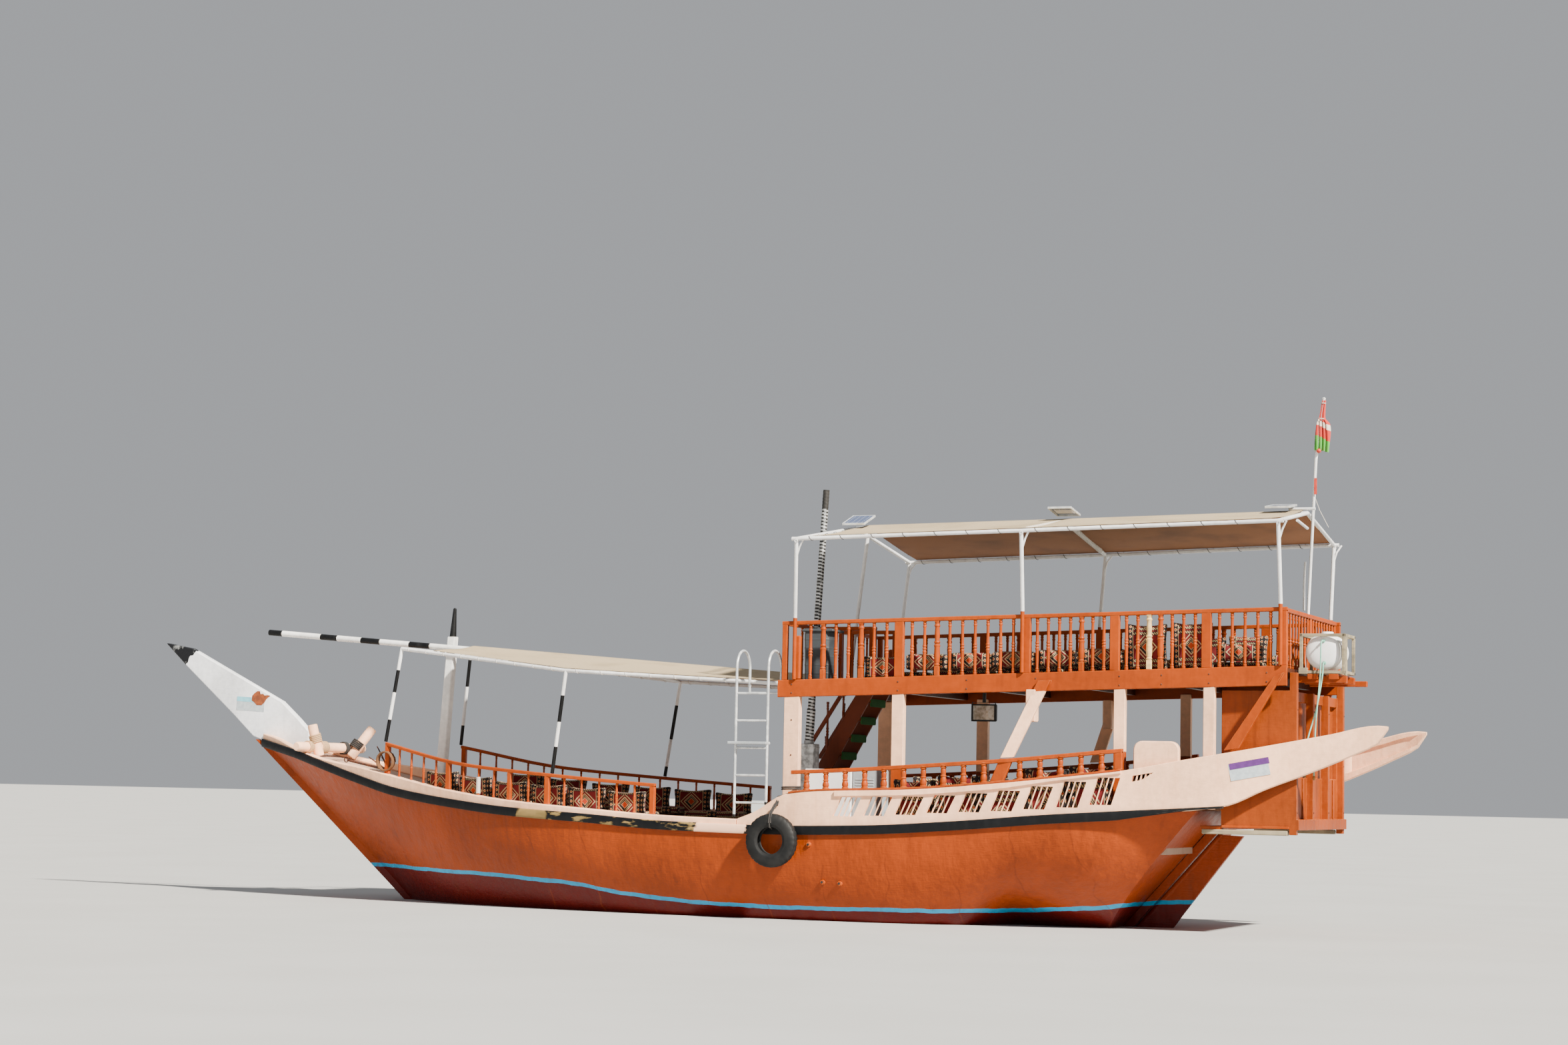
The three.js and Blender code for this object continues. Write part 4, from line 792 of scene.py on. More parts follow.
def tube(piece, path, radius, finish=0, sides=8, loop=False):
    """Round section carried along a path without twisting."""
    points = [Vector(p) for p in path]
    count = len(points)
    across = None
    rings, spots, run = [], [], 0.0
    for i, here in enumerate(points):
        before = points[i - 1] if i or loop else here
        after = points[(i + 1) % count] if i < count - 1 or loop else here
        along = (after - before).normalized()
        across = along.orthogonal() if across is None else across - along * across.dot(along)
        across = across.normalized()
        size = radius(i / (count - 1)) if callable(radius) else radius
        rings.append(circle(here, across, along.cross(across), size, sides))
        run += (here - points[i - 1]).length if i else 0.0
        spots.append([(k / sides, run) for k in range(sides)])
    piece.skin(rings, finish, loop=loop, spots=spots)


def strip(piece, side, xs, outline_at, finish=0):
    """Long piece along the boat. outline_at gives y, z points at each x, drawn for starboard."""
    piece.skin([[(x, y * side, z) for y, z in outline_at(x)] for x in xs], finish)


def soft_rectangle(y0, y1, z0, z1, c=EDGE):
    """Outline of a board's section along the boat, with planed edges."""
    c = min(c, abs(y1 - y0) / 4, abs(z1 - z0) / 4)
    return [
        (y0 + c, z0), (y1 - c, z0), (y1, z0 + c), (y1, z1 - c),
        (y1 - c, z1), (y0 + c, z1), (y0, z1 - c), (y0, z0 + c),
    ]


def shrunk(outline, by):
    """An outline with every edge moved in by a small width."""
    corners = [Vector(corner) for corner in outline]
    after = corners[1:] + corners[:1]
    sign = 1 if sum(a.x * b.y - b.x * a.y for a, b in zip(corners, after)) > 0 else -1
    moved = []
    for last, here, following in zip(corners[-1:] + corners, corners, after):
        before, ahead = (here - last).normalized(), (following - here).normalized()
        inward = (Vector((-before.y - ahead.y, before.x + ahead.x)) * sign).normalized()
        spread = max(abs(inward.dot(Vector((-before.y, before.x)))), 0.35)
        moved.append(tuple(here + inward * (by / spread)))
    return moved


def plate(piece, outline, near, far, finish=0, chamfer=EDGE):
    """Upright board that runs along the boat, cut to an outline of x, z points."""
    rings = []
    step = chamfer if far > near else -chamfer
    for y, inset in ((near, chamfer), (near + step, 0.0), (far - step, 0.0), (far, chamfer)):
        rings.append([(x, y, z) for x, z in (shrunk(outline, inset) if inset else outline)])
    piece.skin(rings, finish)


def mesh_of(name, piece, merge=0.0):
    """Mesh of a piece, with its faces turned outward."""
    mesh = bpy.data.meshes.new(name)
    mesh.from_pydata(piece.points, [], piece.faces)
    mesh.polygons.foreach_set("material_index", piece.finishes)
    layer = mesh.uv_layers.new(name="cloth")
    for loop in mesh.loops:
        layer.data[loop.index].uv = piece.spots[loop.vertex_index]
    shape = bmesh.new()
    shape.from_mesh(mesh)
    if merge:
        bmesh.ops.remove_doubles(shape, verts=shape.verts, dist=merge)
    bmesh.ops.recalc_face_normals(shape, faces=shape.faces)
    shape.to_mesh(mesh)
    shape.free()
    return mesh


def placed(name, data):
    """A new object in the scene."""
    obj = bpy.data.objects.new(name, data)
    bpy.context.scene.collection.objects.link(obj)
    return obj


def cut_out(mesh, cutter):
    """A mesh with the closed forms of a cutter cut out of it."""
    board, tool = placed("cut", mesh), placed("cutter", mesh_of("cutter", cutter))
    cut = board.modifiers.new("cut", "BOOLEAN")
    cut.object, cut.operation, cut.solver = tool, "DIFFERENCE", "EXACT"
    cut.use_self = True
    result = bpy.data.meshes.new_from_object(board.evaluated_get(bpy.context.evaluated_depsgraph_get()))
    result.materials.clear()
    for obj in (board, tool):
        bpy.data.objects.remove(obj)
    return result


def dressed(name, mesh, finishes, smooth, body, replaces):
    """Object of a finished mesh, which rides on a body."""
    mesh.shade_smooth()
    mesh.set_sharp_from_angle(angle=math.radians(smooth))
    for material in finishes:
        mesh.materials.append(material)
    obj = placed(name, mesh)
    obj.modifiers.new("even light", "WEIGHTED_NORMAL").keep_sharp = True
    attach(obj, body)
    if replaces:
        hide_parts(*replaces)
    return obj


def make(name, piece, finishes, body="boat", replaces=(), smooth=38.0, merge=0.0, cutter=None):
    """Turns a piece into an object, with a cutter's forms cut out of it."""
    mesh = mesh_of(name, piece, merge)
    if cutter:
        mesh = cut_out(mesh, cutter)
    return dressed(name, mesh, finishes, smooth, body, replaces)


def softened(node, material, bevel, body="boat"):
    """A node's own form with its edges eased, standing for the node."""
    shape = bmesh.new()
    shape.from_mesh(frame["nodes"][node].data)
    bmesh.ops.remove_doubles(shape, verts=shape.verts, dist=1e-5)
    bmesh.ops.dissolve_limit(shape, angle_limit=math.radians(1), verts=shape.verts, edges=shape.edges)
    sharp = [e for e in shape.edges if len(e.link_faces) == 2 and e.calc_face_angle() > math.radians(35)]
    bmesh.ops.bevel(
        shape, geom=sharp, offset=bevel, offset_type="OFFSET", segments=1, profile=0.5,
        affect="EDGES", clamp_overlap=True,
    )
    name = node + "_finished"
    mesh = bpy.data.meshes.new(name)
    shape.to_mesh(mesh)
    shape.free()
    return dressed(name, mesh, [material], 50, body, [node])


# Camera and light. Focal length is in pixels of the 2352 wide picture
CAMERA = {
    "place": (15.2866, -36.7807, 1.6814), "yaw": 22.352, "pitch": 5.165, "roll": 1.165, "focal": 4399.32,
}
PICTURE_WIDTH = 2352
SENSOR = 36.0


def camera():
    """Camera at the photograph's place and angle."""
    yaw, pitch, roll = (math.radians(CAMERA[k]) for k in ("yaw", "pitch", "roll"))
    ahead = Vector((-math.sin(yaw) * math.cos(pitch), math.cos(yaw) * math.cos(pitch), math.sin(pitch)))
    level = Vector((math.cos(yaw), math.sin(yaw), 0.0))
    upright = level.cross(ahead)
    right = level * math.cos(roll) + upright * math.sin(roll)
    up = upright * math.cos(roll) - level * math.sin(roll)
    data = bpy.data.cameras.new("camera")
    data.sensor_width = SENSOR
    data.lens = CAMERA["focal"] * SENSOR / PICTURE_WIDTH
    data.clip_end = 500
    obj = placed("camera", data)
    axes = Matrix((right, up, -ahead)).transposed()
    obj.matrix_world = Matrix.Translation(CAMERA["place"]) @ axes.to_4x4()
    bpy.context.scene.camera = obj


def lamp(name, kind, place, aim, energy, colour, **settings):
    """One lamp that looks from its place to a point."""
    data = bpy.data.lights.new(name, kind)
    data.energy = energy
    data.color = colour
    for key, value in settings.items():
        setattr(data, key, value)
    obj = placed(name, data)
    obj.location = place
    obj.rotation_euler = (Vector(aim) - Vector(place)).to_track_quat("-Z", "Y").to_euler()


def studio():
    """Pale floor at the waterline, a soft key from aft and a wide fill."""
    reach = 300.0
    mesh = bpy.data.meshes.new("floor")
    corners = [(-reach, -reach, 0), (reach, -reach, 0), (reach, reach, 0), (-reach, reach, 0)]
    mesh.from_pydata(corners, [], [(0, 1, 2, 3)])
    mesh.materials.append(STUDIO_FLOOR)
    placed("floor", mesh)
    world = bpy.data.worlds.new("studio")
    world.use_nodes = True
    background = world.node_tree.nodes["Background"]
    background.inputs["Color"].default_value = rgb(232, 235, 240)
    background.inputs["Strength"].default_value = 0.5
    bpy.context.scene.world = world
    lamp("key", "SUN", (17.9, -10.3, 17.4), (0, 0, 0), 14.5, (1.0, 0.94, 0.84), angle=math.radians(3))
    lamp("fill", "AREA", (6, -26, 9), (0, 0, 2), 420, (0.94, 0.97, 1.0), size=16.0)


# Hull and its timbers

# Where the points of a hull section are between keel and sheer, and which of its faces are deck
SIDE_SHARES = [0.03, 0.08, 0.15, 0.24, 0.35, 0.47, 0.6, 0.73, 0.86, 1.0]
DECK_QUADS = range(len(SIDE_SHARES), len(SIDE_SHARES) + 9)
WELL_ENDS = (WELL[0][0], WELL[-1][0])


def places(start, end, step, *breaks):
    """Places along the boat from start to end, with the breaks among them."""
    count = max(2, round((end - start) / step) + 1)
    return sorted({*(round(x, 4) for x in spaced(start, end, count)), *breaks})


def hull_ring(x, in_well, in_room):
    """Points round the hull at one place, from the keel up to starboard and down again to port."""
    half, low, top = hull_half(x), keel_z(x), hull_top(x)
    side = []
    for t in SIDE_SHARES:
        y = half * (1 - (1 - t) ** bulge(x)) ** rounding(x)
        side.append((keel_x(x) + (x - keel_x(x)) * t, y, low + (top - low) * t))
    floor = WELL_FLOOR if in_well else top
    room = ENGINE_ROOM["floor"] if in_room else floor
    inner, narrow = min(well_half(x), half * 0.9), min(ENGINE_ROOM["half"], half * 0.4)
    side += [(x, inner, top), (x, inner, floor), (x, narrow, floor), (x, narrow, room)]
    return [(keel_x(x), 0.0, low)] + side + [(px, -y, z) for px, y, z in reversed(side)]


def open_at(x):
    """Whether the well and the engine room are open just before and just after a place."""
    hollows = (WELL_ENDS, ENGINE_ROOM["x"])
    sides = [tuple(a < x + shift < b for a, b in hollows) for shift in (-1e-6, 1e-6)]
    return list(dict.fromkeys(sides))


def hull():
    piece = Piece()
    xs = places(HULL[0][0], HULL[-1][0], 0.13, *WELL_ENDS, *ENGINE_ROOM["x"])
    rings = [hull_ring(x, *state) for x in xs for state in open_at(x)]
    around = [1 if j in DECK_QUADS else 0 for j in range(len(rings[0]))]
    piece.skin(rings, around * (len(rings) - 1) + [0, 0])
    make("hull_planking", piece, [HULL_PAINT, DECK_PAINT], replaces=["hull"], merge=1e-4)


def rub_band(side, name):
    """Bitumen-black band along the sheer, fading to a thin strip at the stern."""
    piece = Piece()

    def outline(x):
        inner, top = half_breadth(x) - 0.004, band_top(x)
        tall = 0.115 - 0.085 * min(max((x - 5.4) / 0.9, 0), 1)
        c = tall * 0.22
        return [
            (inner, top), (inner, top - tall), (inner + 0.034, top - tall), (inner + 0.049, top - tall + c),
            (inner + 0.049, top - c), (inner + 0.034, top),
        ]

    strip(piece, side, places(-7.9, 6.7, 0.14), outline)
    make(f"rubbing_band_{name}", piece, [BAND_PAINT], replaces=[f"rub_band_{name}"])


def gunwale(side, name):
    piece = Piece()

    def outline(x):
        outer = half_breadth(x) - 0.002
        return soft_rectangle(max(outer - 0.15, 0.07), outer, hull_top(x) + GAP, gunwale_top(x), 0.014)

    strip(piece, side, places(-7.9, 0.44, 0.13), outline)
    make(f"gunwale_cap_{name}", piece, [PINK_PAINT], replaces=[f"gunwale_{name}"])


WINDOWS = {"first": 1.772, "pitch": 0.413, "count": 9, "width": 0.275, "lean": 0.11, "slats": 3}
# x, and how far a window stays above the bulwark's bottom and below its top
WINDOW_MARGINS = [
    (1.7, 0.16, 0.083), (3.0, 0.162, 0.083), (3.86, 0.134, 0.083), (4.24, 0.127, 0.065), (4.66, 0.123, 0.046),
    (5.1, 0.135, 0.038),
]
# Thinner round the windows: x, thickness
BULWARK_THICK = [(0.45, 0.08), (1.12, 0.08), (1.35, 0.045), (5.4, 0.045), (5.47, 0.08), (8.61, 0.08)]
SHORT_WINDOW = [(5.59, 1.835), (5.715, 1.862), (5.86, 1.955), (5.612, 1.912)]
SIDE_BOARD = {"x": (5.58, 6.15), "y": (-1.76, -1.665), "z": (1.96, 2.34), "corner": 0.11}
# Hollow of the wing's inner face
WING = {"start": 7.56, "end": 8.46, "deep": 0.03}

window_sill, window_gap = (flowing([(row[0], row[i]) for row in WINDOW_MARGINS]) for i in (1, 2))


def window_levels(left):
    return bulwark_bottom(left) + window_sill(left), bulwark_top(left) - window_gap(left)


def bulwark_outline(x):
    """Section of the bulwark. Past the stern its inner face is hollowed between two rims."""
    outer = half_breadth(x) - 0.02
    inner, low, high = outer - straight(BULWARK_THICK)(x), bulwark_bottom(x), bulwark_top(x)
    share = min(max((x - WING["start"]) / 0.06, 0), max((WING["end"] - x) / 0.06, 0), 1)
    deep, c = WING["deep"] * share, 0.012
    rim_low, rim_high = low + (high - low) * 0.2, high - (high - low) * 0.22
    return [
        (inner + c, low), (outer - c, low), (outer, low + c), (outer, high - c), (outer - c, high),
        (inner + c, high), (inner, high - c), (inner, rim_high), (inner + deep, rim_high - 0.008),
        (inner + deep, rim_low + 0.008), (inner, rim_low), (inner, low + c),
    ]


def bulwark(side, name):
    piece, slats, cutter = Piece(), Piece(), Piece()
    breaks = [row[0] for row in BULWARK_THICK[1:-1]] + [WING["start"], WING["start"] + 0.06]
    strip(piece, side, places(0.45, 8.61, 0.11, *breaks), bulwark_outline)
    near, far = sorted((side * 1.5, side * 2.3))
    for i in range(WINDOWS["count"]):
        left = WINDOWS["first"] + i * WINDOWS["pitch"]
        low, high = window_levels(left)
        lean, width = WINDOWS["lean"], WINDOWS["width"]
        plate(cutter, [(left, low), (left + width, low), (left + width + lean, high), (left + lean, high)],
              near, far, chamfer=0.001)
        for j in range(WINDOWS["slats"]):
            x = left + width * (j + 1) / (WINDOWS["slats"] + 1)
            y = side * (half_breadth(x) - 0.045)
            bar(slats, (x, y, low - 0.01), (x + lean, y, high + 0.01), 0.024, 0.013, chamfer=0.003)
    plate(cutter, SHORT_WINDOW, near, far, chamfer=0.001)
    for x in (5.64, 5.69, 5.74, 5.79):
        y = side * (half_breadth(x) - 0.05)
        bar(slats, (x, y, 1.83), (x + 0.03, y, 1.95), 0.03, 0.017, chamfer=0.003)
    # Ledge over the windows, thinner towards the stern
    strip(slats, side, places(1.8, 5.47, 0.2), lambda x: soft_rectangle(
        half_breadth(x) - 0.03, half_breadth(x) + 0.01, bulwark_top(x) - min(window_gap(x), 0.08),
        bulwark_top(x) - 0.006, 0.008))
    if side < 0:
        side_board(slats)
    make(f"bulwark_planks_{name}", piece, [PINK_PAINT], replaces=[f"bulwark_{name}"], cutter=cutter)
    make(f"bulwark_slats_{name}", slats, [PINK_PAINT])


def side_board(piece):
    """Board with rounded corners that stands on the bulwark beside the cabin way."""
    (x0, x1), (z0, z1), r = SIDE_BOARD["x"], SIDE_BOARD["z"], SIDE_BOARD["corner"]
    corners = []
    for centre, start in ((x1 - r, 0), (x0 + r, 90)):
        for k in range(7):
            turn = math.radians(start + 15 * k)
            corners.append((centre + r * math.cos(turn), z1 - r + r * math.sin(turn)))
    plate(piece, [(x0, z0), (x1, z0)] + corners, *SIDE_BOARD["y"], chamfer=0.012)


# Ropes


def coil(centre, axis, radius, turns, pitch):
    """Points of a helix about an axis."""
    along = Vector(axis).normalized()
    across, up = square_to(along)
    points = []
    for k in range(int(turns * 14) + 1):
        t = k / 14
        angle = 2 * math.pi * t
        lift = along * (t - turns / 2) * pitch
        points.append(Vector(centre) + lift + (across * math.cos(angle) + up * math.sin(angle)) * radius)
    return points


# Outline of the patch where the prow's paint has peeled: x, z
PATCH = [
    (-8.14, 2.86), (-8.10, 2.90), (-8.05, 2.93), (-8.01, 2.925), (-8.0, 2.885), (-7.96, 2.89), (-7.93, 2.865),
    (-7.88, 2.87), (-7.83, 2.862), (-7.87, 2.835), (-7.9, 2.81), (-7.93, 2.76), (-7.98, 2.72), (-8.06, 2.722),
    (-8.1, 2.76), (-8.15, 2.79),
]


def bow():
    """Leaning bitts with the beam across them, their lashings, and the prow's bare plates."""
    piece = Piece()
    soft = [(0, 0.05), (0.012, 0.064), (0.04, 0.07), (0.96, 0.07), (0.988, 0.064), (1, 0.05)]
    for start, end in (
        ((-6.88, -0.86, 2.122), (-6.80, 0.86, 2.122)), ((-6.76, -0.42, 1.995), (-6.85, -0.5, 2.44)),
        ((-6.75, 0.42, 1.995), (-6.51, 0.62, 2.42)),
    ):
        turned(piece, start, end, soft, 24)
    make("bow_bitts_turned", piece, [PINK_PAINT], replaces=["bow_bitts"])
    ropes = Piece()
    for middle, axis, radius, turns, paint in (
        ((-6.81, -0.462, 2.24), (-0.09, -0.08, 0.44), 0.08, 5.2, 0),
        ((-6.865, -0.56, 2.122), (0.08, 1.72, 0), 0.08, 3.3, 0),
        ((-6.855, -0.2, 2.122), (0.08, 1.72, 0), 0.08, 6.4, 0),
        ((-6.68, 0.475, 2.17), (0.24, 0.2, 0.425), 0.083, 5.2, 1),
        ((-6.83, 0.36, 2.122), (0.08, 1.72, 0), 0.083, 3.4, 1),
    ):
        tube(ropes, coil(middle, axis, radius, turns, 0.024), 0.012, paint)
    # Rope made up in a coil on the first rail post
    middle = (-5.27, 0.07 - half_breadth(-5.27), gunwale_top(-5.27) + 0.17)
    tube(ropes, coil(middle, (0.05, 1, 0.1), 0.13, 5.2, 0.016), 0.012, 2)
    make("bow_lashings", ropes, [ROPE_TAN, ROPE_DARK, ROPE_BROWN])
    plates = Piece()
    bar(plates, (-8.4, -0.0665, 2.75), (-7.93, -0.0665, 2.725), 0.003, 0.2, 0, chamfer=0.0005)
    bar(plates, (-8.398, -0.068, 2.815), (-7.932, -0.068, 2.79), 0.003, 0.068, 1, chamfer=0.0005)
    plate(plates, PATCH, -0.0675, -0.0705, 2, chamfer=0.0005)
    make("prow_plate", plates, [PLATE_GREY, PLATE_BLUE, PEELED])


def anchor():
    piece = Piece()
    y, z = -0.33, hull_top(-5.95) + 0.07
    rod(piece, (-6.35, y, z + 0.13), (-5.7, y, z), 0.018)
    tube(piece, coil((-6.37, y, z + 0.135), (0, 1, 0), 0.035, 1.0, 0.0)[:-1], 0.007, loop=True)
    for dy, dz in ((0.26, 0.18), (-0.26, 0.18), (0.06, 0.33)):
        bend = (-5.74, y + dy * 0.3, z + dz * 0.25)
        tip = [(-5.82, y + dy * 0.55, z + dz * 0.65), (-5.9, y + dy * 0.7, z + dz)]
        tube(piece, [(-5.71, y, z), bend, *tip], lambda t: 0.015 - 0.007 * t, sides=10)
    make("grapnel", piece, [RUSTY], replaces=["anchor"])


# Rails: turned balusters and flat boards under a cap

# Turned balusters: share of the height, radius
SLIM = [
    (0, 0.016), (0.01, 0.019), (0.04, 0.019), (0.05, 0.013), (0.07, 0.0185), (0.09, 0.013), (0.2, 0.0155),
    (0.4, 0.0165), (0.43, 0.021), (0.455, 0.0145), (0.48, 0.0215), (0.505, 0.0145), (0.53, 0.021),
    (0.555, 0.0155), (0.7, 0.0145), (0.85, 0.0135), (0.88, 0.019), (0.9, 0.0135), (0.93, 0.0185),
    (0.95, 0.013), (0.96, 0.019), (1, 0.019),
]
STOUT = [
    (0, 0.022), (0.03, 0.03), (0.06, 0.022), (0.1, 0.027), (0.25, 0.03), (0.42, 0.026), (0.47, 0.033),
    (0.5, 0.022), (0.54, 0.032), (0.58, 0.022), (0.72, 0.026), (0.88, 0.021), (0.92, 0.031), (0.96, 0.022),
    (1, 0.026),
]
SHORT = [
    (0, 0.031), (0.06, 0.033), (0.1, 0.024), (0.16, 0.031), (0.3, 0.03), (0.42, 0.022), (0.47, 0.03),
    (0.53, 0.021), (0.62, 0.024), (0.76, 0.026), (0.82, 0.02), (0.88, 0.031), (0.93, 0.022), (0.97, 0.032),
    (1, 0.032),
]
# Widths of the flat boards by their letters
WIDTHS = {"B": 0.12, "P": 0.09, "F": 0.07, "E": 0.055, "L": 0.085}
LOW_BOARD_DROP = 0.16


def baluster(piece, kind, foot, head, across=False, finish=0, stout=1.0):
    """One upright of a rail. Letters in WIDTHS are boards, and K, S and t are turned."""
    (x, y, z0), (_, _, z1) = foot, head
    if kind in WIDTHS:
        wide, deep = (0.034, WIDTHS[kind]) if across else (WIDTHS[kind], 0.062)
        top = (x, y, z1 - LOW_BOARD_DROP) if kind == "L" else head
        bar(piece, foot, top, deep, wide, finish, chamfer=0.02 if kind == "L" else EDGE)
        return
    profile = [(share, radius * stout) for share, radius in {"K": STOUT, "S": SHORT, "t": SLIM}[kind]]
    if kind == "K":
        tall = z1 - z0
        block = 0.034 if across else 0.06
        bar(piece, foot, (x, y, z0 + tall * 0.17), 0.06, block, finish, chamfer=0.004)
        turned(piece, (x, y, z0 + tall * 0.17), (x, y, z1 - tall * 0.05), profile, 16, finish)
        bar(piece, (x, y, z1 - tall * 0.05), head, 0.06, block, finish, chamfer=0.004)
    else:
        turned(piece, foot, head, profile, 14, finish)


def rail_cap(piece, side, start, end, centre, top, wide, tall):
    strip(piece, side, places(start, end, 0.25), lambda x: soft_rectangle(
        centre(x) - wide / 2, centre(x) + wide / 2, top(x) - tall, top(x), 0.008))


FORE_SPANS = [(-5.25, -4.11), (-4.11, -3.04), (-3.04, -2.42), (-2.42, -0.8)]
FORE_BAYS = {
    "port": [(*span, kinds) for span, kinds in zip(FORE_SPANS, ("FttttF", "FtttE", "EtF", "FtttttF"))],
    "starboard": [(*span, kinds) for span, kinds in zip(FORE_SPANS, ("Fttttt", "ttttt", "ttt", "ttttttF"))],
}
MAIN_BAYS = [(1.395, 2.183, "SSSS"), (2.44, 3.744, "SSSSSS"), (4.2, 5.22, "SSSSS"), (5.22, 5.43, "SP")]
UPPER_BAYS = [
    (0.94, 2.49, "FLtKttKttB"), (2.49, 4.16, "BttKttttttB"), (4.16, 5.3, "BttttKttB"),
    (5.3, 6.45, "BtttKtttB"), (6.45, 7.395, "BtttttP"),
]
# Bay and number of the unpainted baluster, and of the one wound with rope
PINE_BALUSTER = (3, 3)
WRAPPED_BALUSTER = (1, 2)


def side_rail(side, bays, centre, base, top, wide, tall, pale=None, stout=1.0, reach=0.0):
    """Cap and uprights of one rail. pale is an unpainted baluster's place, reach takes the cap forward."""
    piece = Piece()
    (start, _, first), (_, end, last) = bays[0], bays[-1]
    start -= WIDTHS.get(first[0], 0.06) / 2 + reach
    rail_cap(piece, side, start, end + WIDTHS.get(last[-1], 0.06) / 2, centre, top, wide, tall)
    for i, (start, end, pattern) in enumerate(bays):
        for j, (x, kind) in enumerate(zip(spaced(start, end, len(pattern)), pattern)):
            if i and j == 0 and bays[i - 1][1] == start:
                continue
            y = side * centre(x)
            kind, finish = ("K", 1) if (i, j) == pale else (kind, 0)
            foot, head = (x, y, base(x)), (x, y, top(x) - tall * 0.6)
            baluster(piece, kind, foot, head, finish=finish, stout=stout)
    return piece


# The leaning brace meets the main rail at its middle
BRACE = {"foot": 3.905, "rail": 4.03, "head": 4.42, "wide": 0.17, "low": 2.03, "middle": 2.0, "thick": 0.06}


def leaning_board(piece, side, foot, head, thick, finish=0):
    """Board between two level cuts. Each end has its middle, outer face, height, width and rise."""
    rings = []
    for (x, y, z, wide, rise), inset in ((foot, 0.005), (foot, 0), (head, 0), (head, 0.005)):
        w, c = wide / 2 - inset, 0.007
        ring = [(c - w, 0), (w - c, 0), (w, -c), (w, c - thick)]
        ring += [(w - c, -thick), (c - w, -thick), (-w, c - thick), (-w, -c)]
        rings.append([(x + a, (y + b) * side, z + rise * (0.5 + a / wide)) for a, b in ring])
    for ring, step in ((rings[0], -0.004), (rings[3], 0.004)):
        ring[:] = [(x, y, z + step) for x, y, z in ring]
    piece.skin(rings, finish)


# How far in from the edge the middle of each rail is
RAIL_IN = {"fore": 0.1, "main": 0.06, "upper": 0.045}


def rails():
    for name, side in SIDES.items():
        fore = side_rail(
            side, FORE_BAYS[name], lambda x: half_breadth(x) - RAIL_IN["fore"], gunwale_top, fore_rail_top,
            0.07, 0.045)
        make(f"fore_rail_turned_{name}", fore, [ORANGE_PAINT], replaces=[f"fore_rail_{name}"])
        main = side_rail(
            side, MAIN_BAYS, lambda x: half_breadth(x) - RAIL_IN["main"], lambda x: bulwark_top(x) + 0.02,
            main_rail_top, 0.075, 0.05, stout=1.35, reach=0.175)
        # Board that caps the bulwark under the rail
        strip(main, side, places(1.16, 5.46, 0.2), lambda x: soft_rectangle(
            half_breadth(x) - 0.105, half_breadth(x) - 0.016, bulwark_top(x) + GAP, bulwark_top(x) + 0.024,
            0.005))
        wide = BRACE["wide"]
        foot = (BRACE["foot"], BRACE["low"], bulwark_top(BRACE["foot"] + wide / 2) + 0.004, wide, 0)
        head = (BRACE["rail"], BRACE["low"], main_rail_top(BRACE["rail"]) - 0.005, wide, 0)
        leaning_board(main, side, foot, head, BRACE["thick"])
        make(f"main_rail_turned_{name}", main, [ORANGE_PAINT], replaces=[f"main_rail_{name}"])
        upper = side_rail(
            side, UPPER_BAYS, lambda x: deck_half(x) - RAIL_IN["upper"], fascia_top, upper_rail_top,
            0.07, 0.05, PINE_BALUSTER if side < 0 else None, 1.3)
        make(f"upper_rail_turned_{name}", upper, [ORANGE_PAINT, PINE], replaces=[f"upper_rail_{name}"])
    wrapped = Piece()
    start, end, pattern = FORE_BAYS["port"][WRAPPED_BALUSTER[0]]
    x = spaced(start, end, len(pattern))[WRAPPED_BALUSTER[1]]
    y, z = half_breadth(x) - RAIL_IN["fore"], gunwale_top(x)
    tube(wrapped, coil((x, -y, z + 0.13), (0, 0, 1), 0.024, 18, 0.012), 0.0075)
    make("baluster_wrap", wrapped, [ROPE_WHITE])


def cross_rails():
    """Rails across the ends of the upper deck, with the front ones turned back along the stair."""
    piece = Piece()
    half = deck_half(7.44) - 0.095
    top, foot = upper_rail_top(7.4), deck_top(7.4) + 0.005
    box(piece, (7.35, 7.41), (-half, half), (top - 0.05, top), chamfer=0.008)
    pattern = "PttttttttPttttttttP"
    for y, kind in zip(spaced(-half + 0.045, half - 0.045, len(pattern)), pattern):
        baluster(piece, kind, (7.38, y, foot), (7.38, y, top - 0.03), across=True)
    make("aft_rail_turned", piece, [ORANGE_PAINT], replaces=["aft_rail"])
    for name, side in SIDES.items():
        piece = Piece()
        x, inner, half = 0.905, 0.545 if side < 0 else 0.345, 0.03
        outer, top = deck_half(x) - 0.1, upper_rail_top(0.92)
        cap = (top - 0.05, top)
        box(piece, (x - half, x + half), (side * (inner - half), side * outer), cap, chamfer=0.008)
        box(piece, (x - half, 1.74), (side * (inner - half), side * (inner + half)), cap, chamfer=0.008)
        for y, kind in zip(spaced(inner, outer - 0.06, 5), "Ptttt"):
            foot, head = ((x, side * y, z) for z in (deck_top(0.95) + 0.005, top - 0.03))
            baluster(piece, kind, foot, head, across=True)
        for px, kind in zip(spaced(x + 0.16, 1.69, 5), "ttttP"):
            baluster(piece, kind, (px, side * inner, deck_top(px) + 0.005), (px, side * inner, top - 0.03))
        make(f"front_rail_turned_{name}", piece, [ORANGE_PAINT], replaces=[f"front_rail_{name}"])


# Frames at the sides of the main deck

POSTS = [(0.95, 1.16), (2.41, 2.57), (5.3, 5.44), (6.42, 6.56)]


def bolts(piece, spots, radius, finish):
    """Domed bolt heads. Each spot has a point and the direction the bolt looks."""
    for point, look in spots:
        end = Vector(point) + Vector(look) * radius * 0.7
        dome = [(0, radius), (0.4, radius * 0.95), (0.8, radius * 0.6), (1, radius * 0.15)]
        turned(piece, point, end, dome, 8, finish)


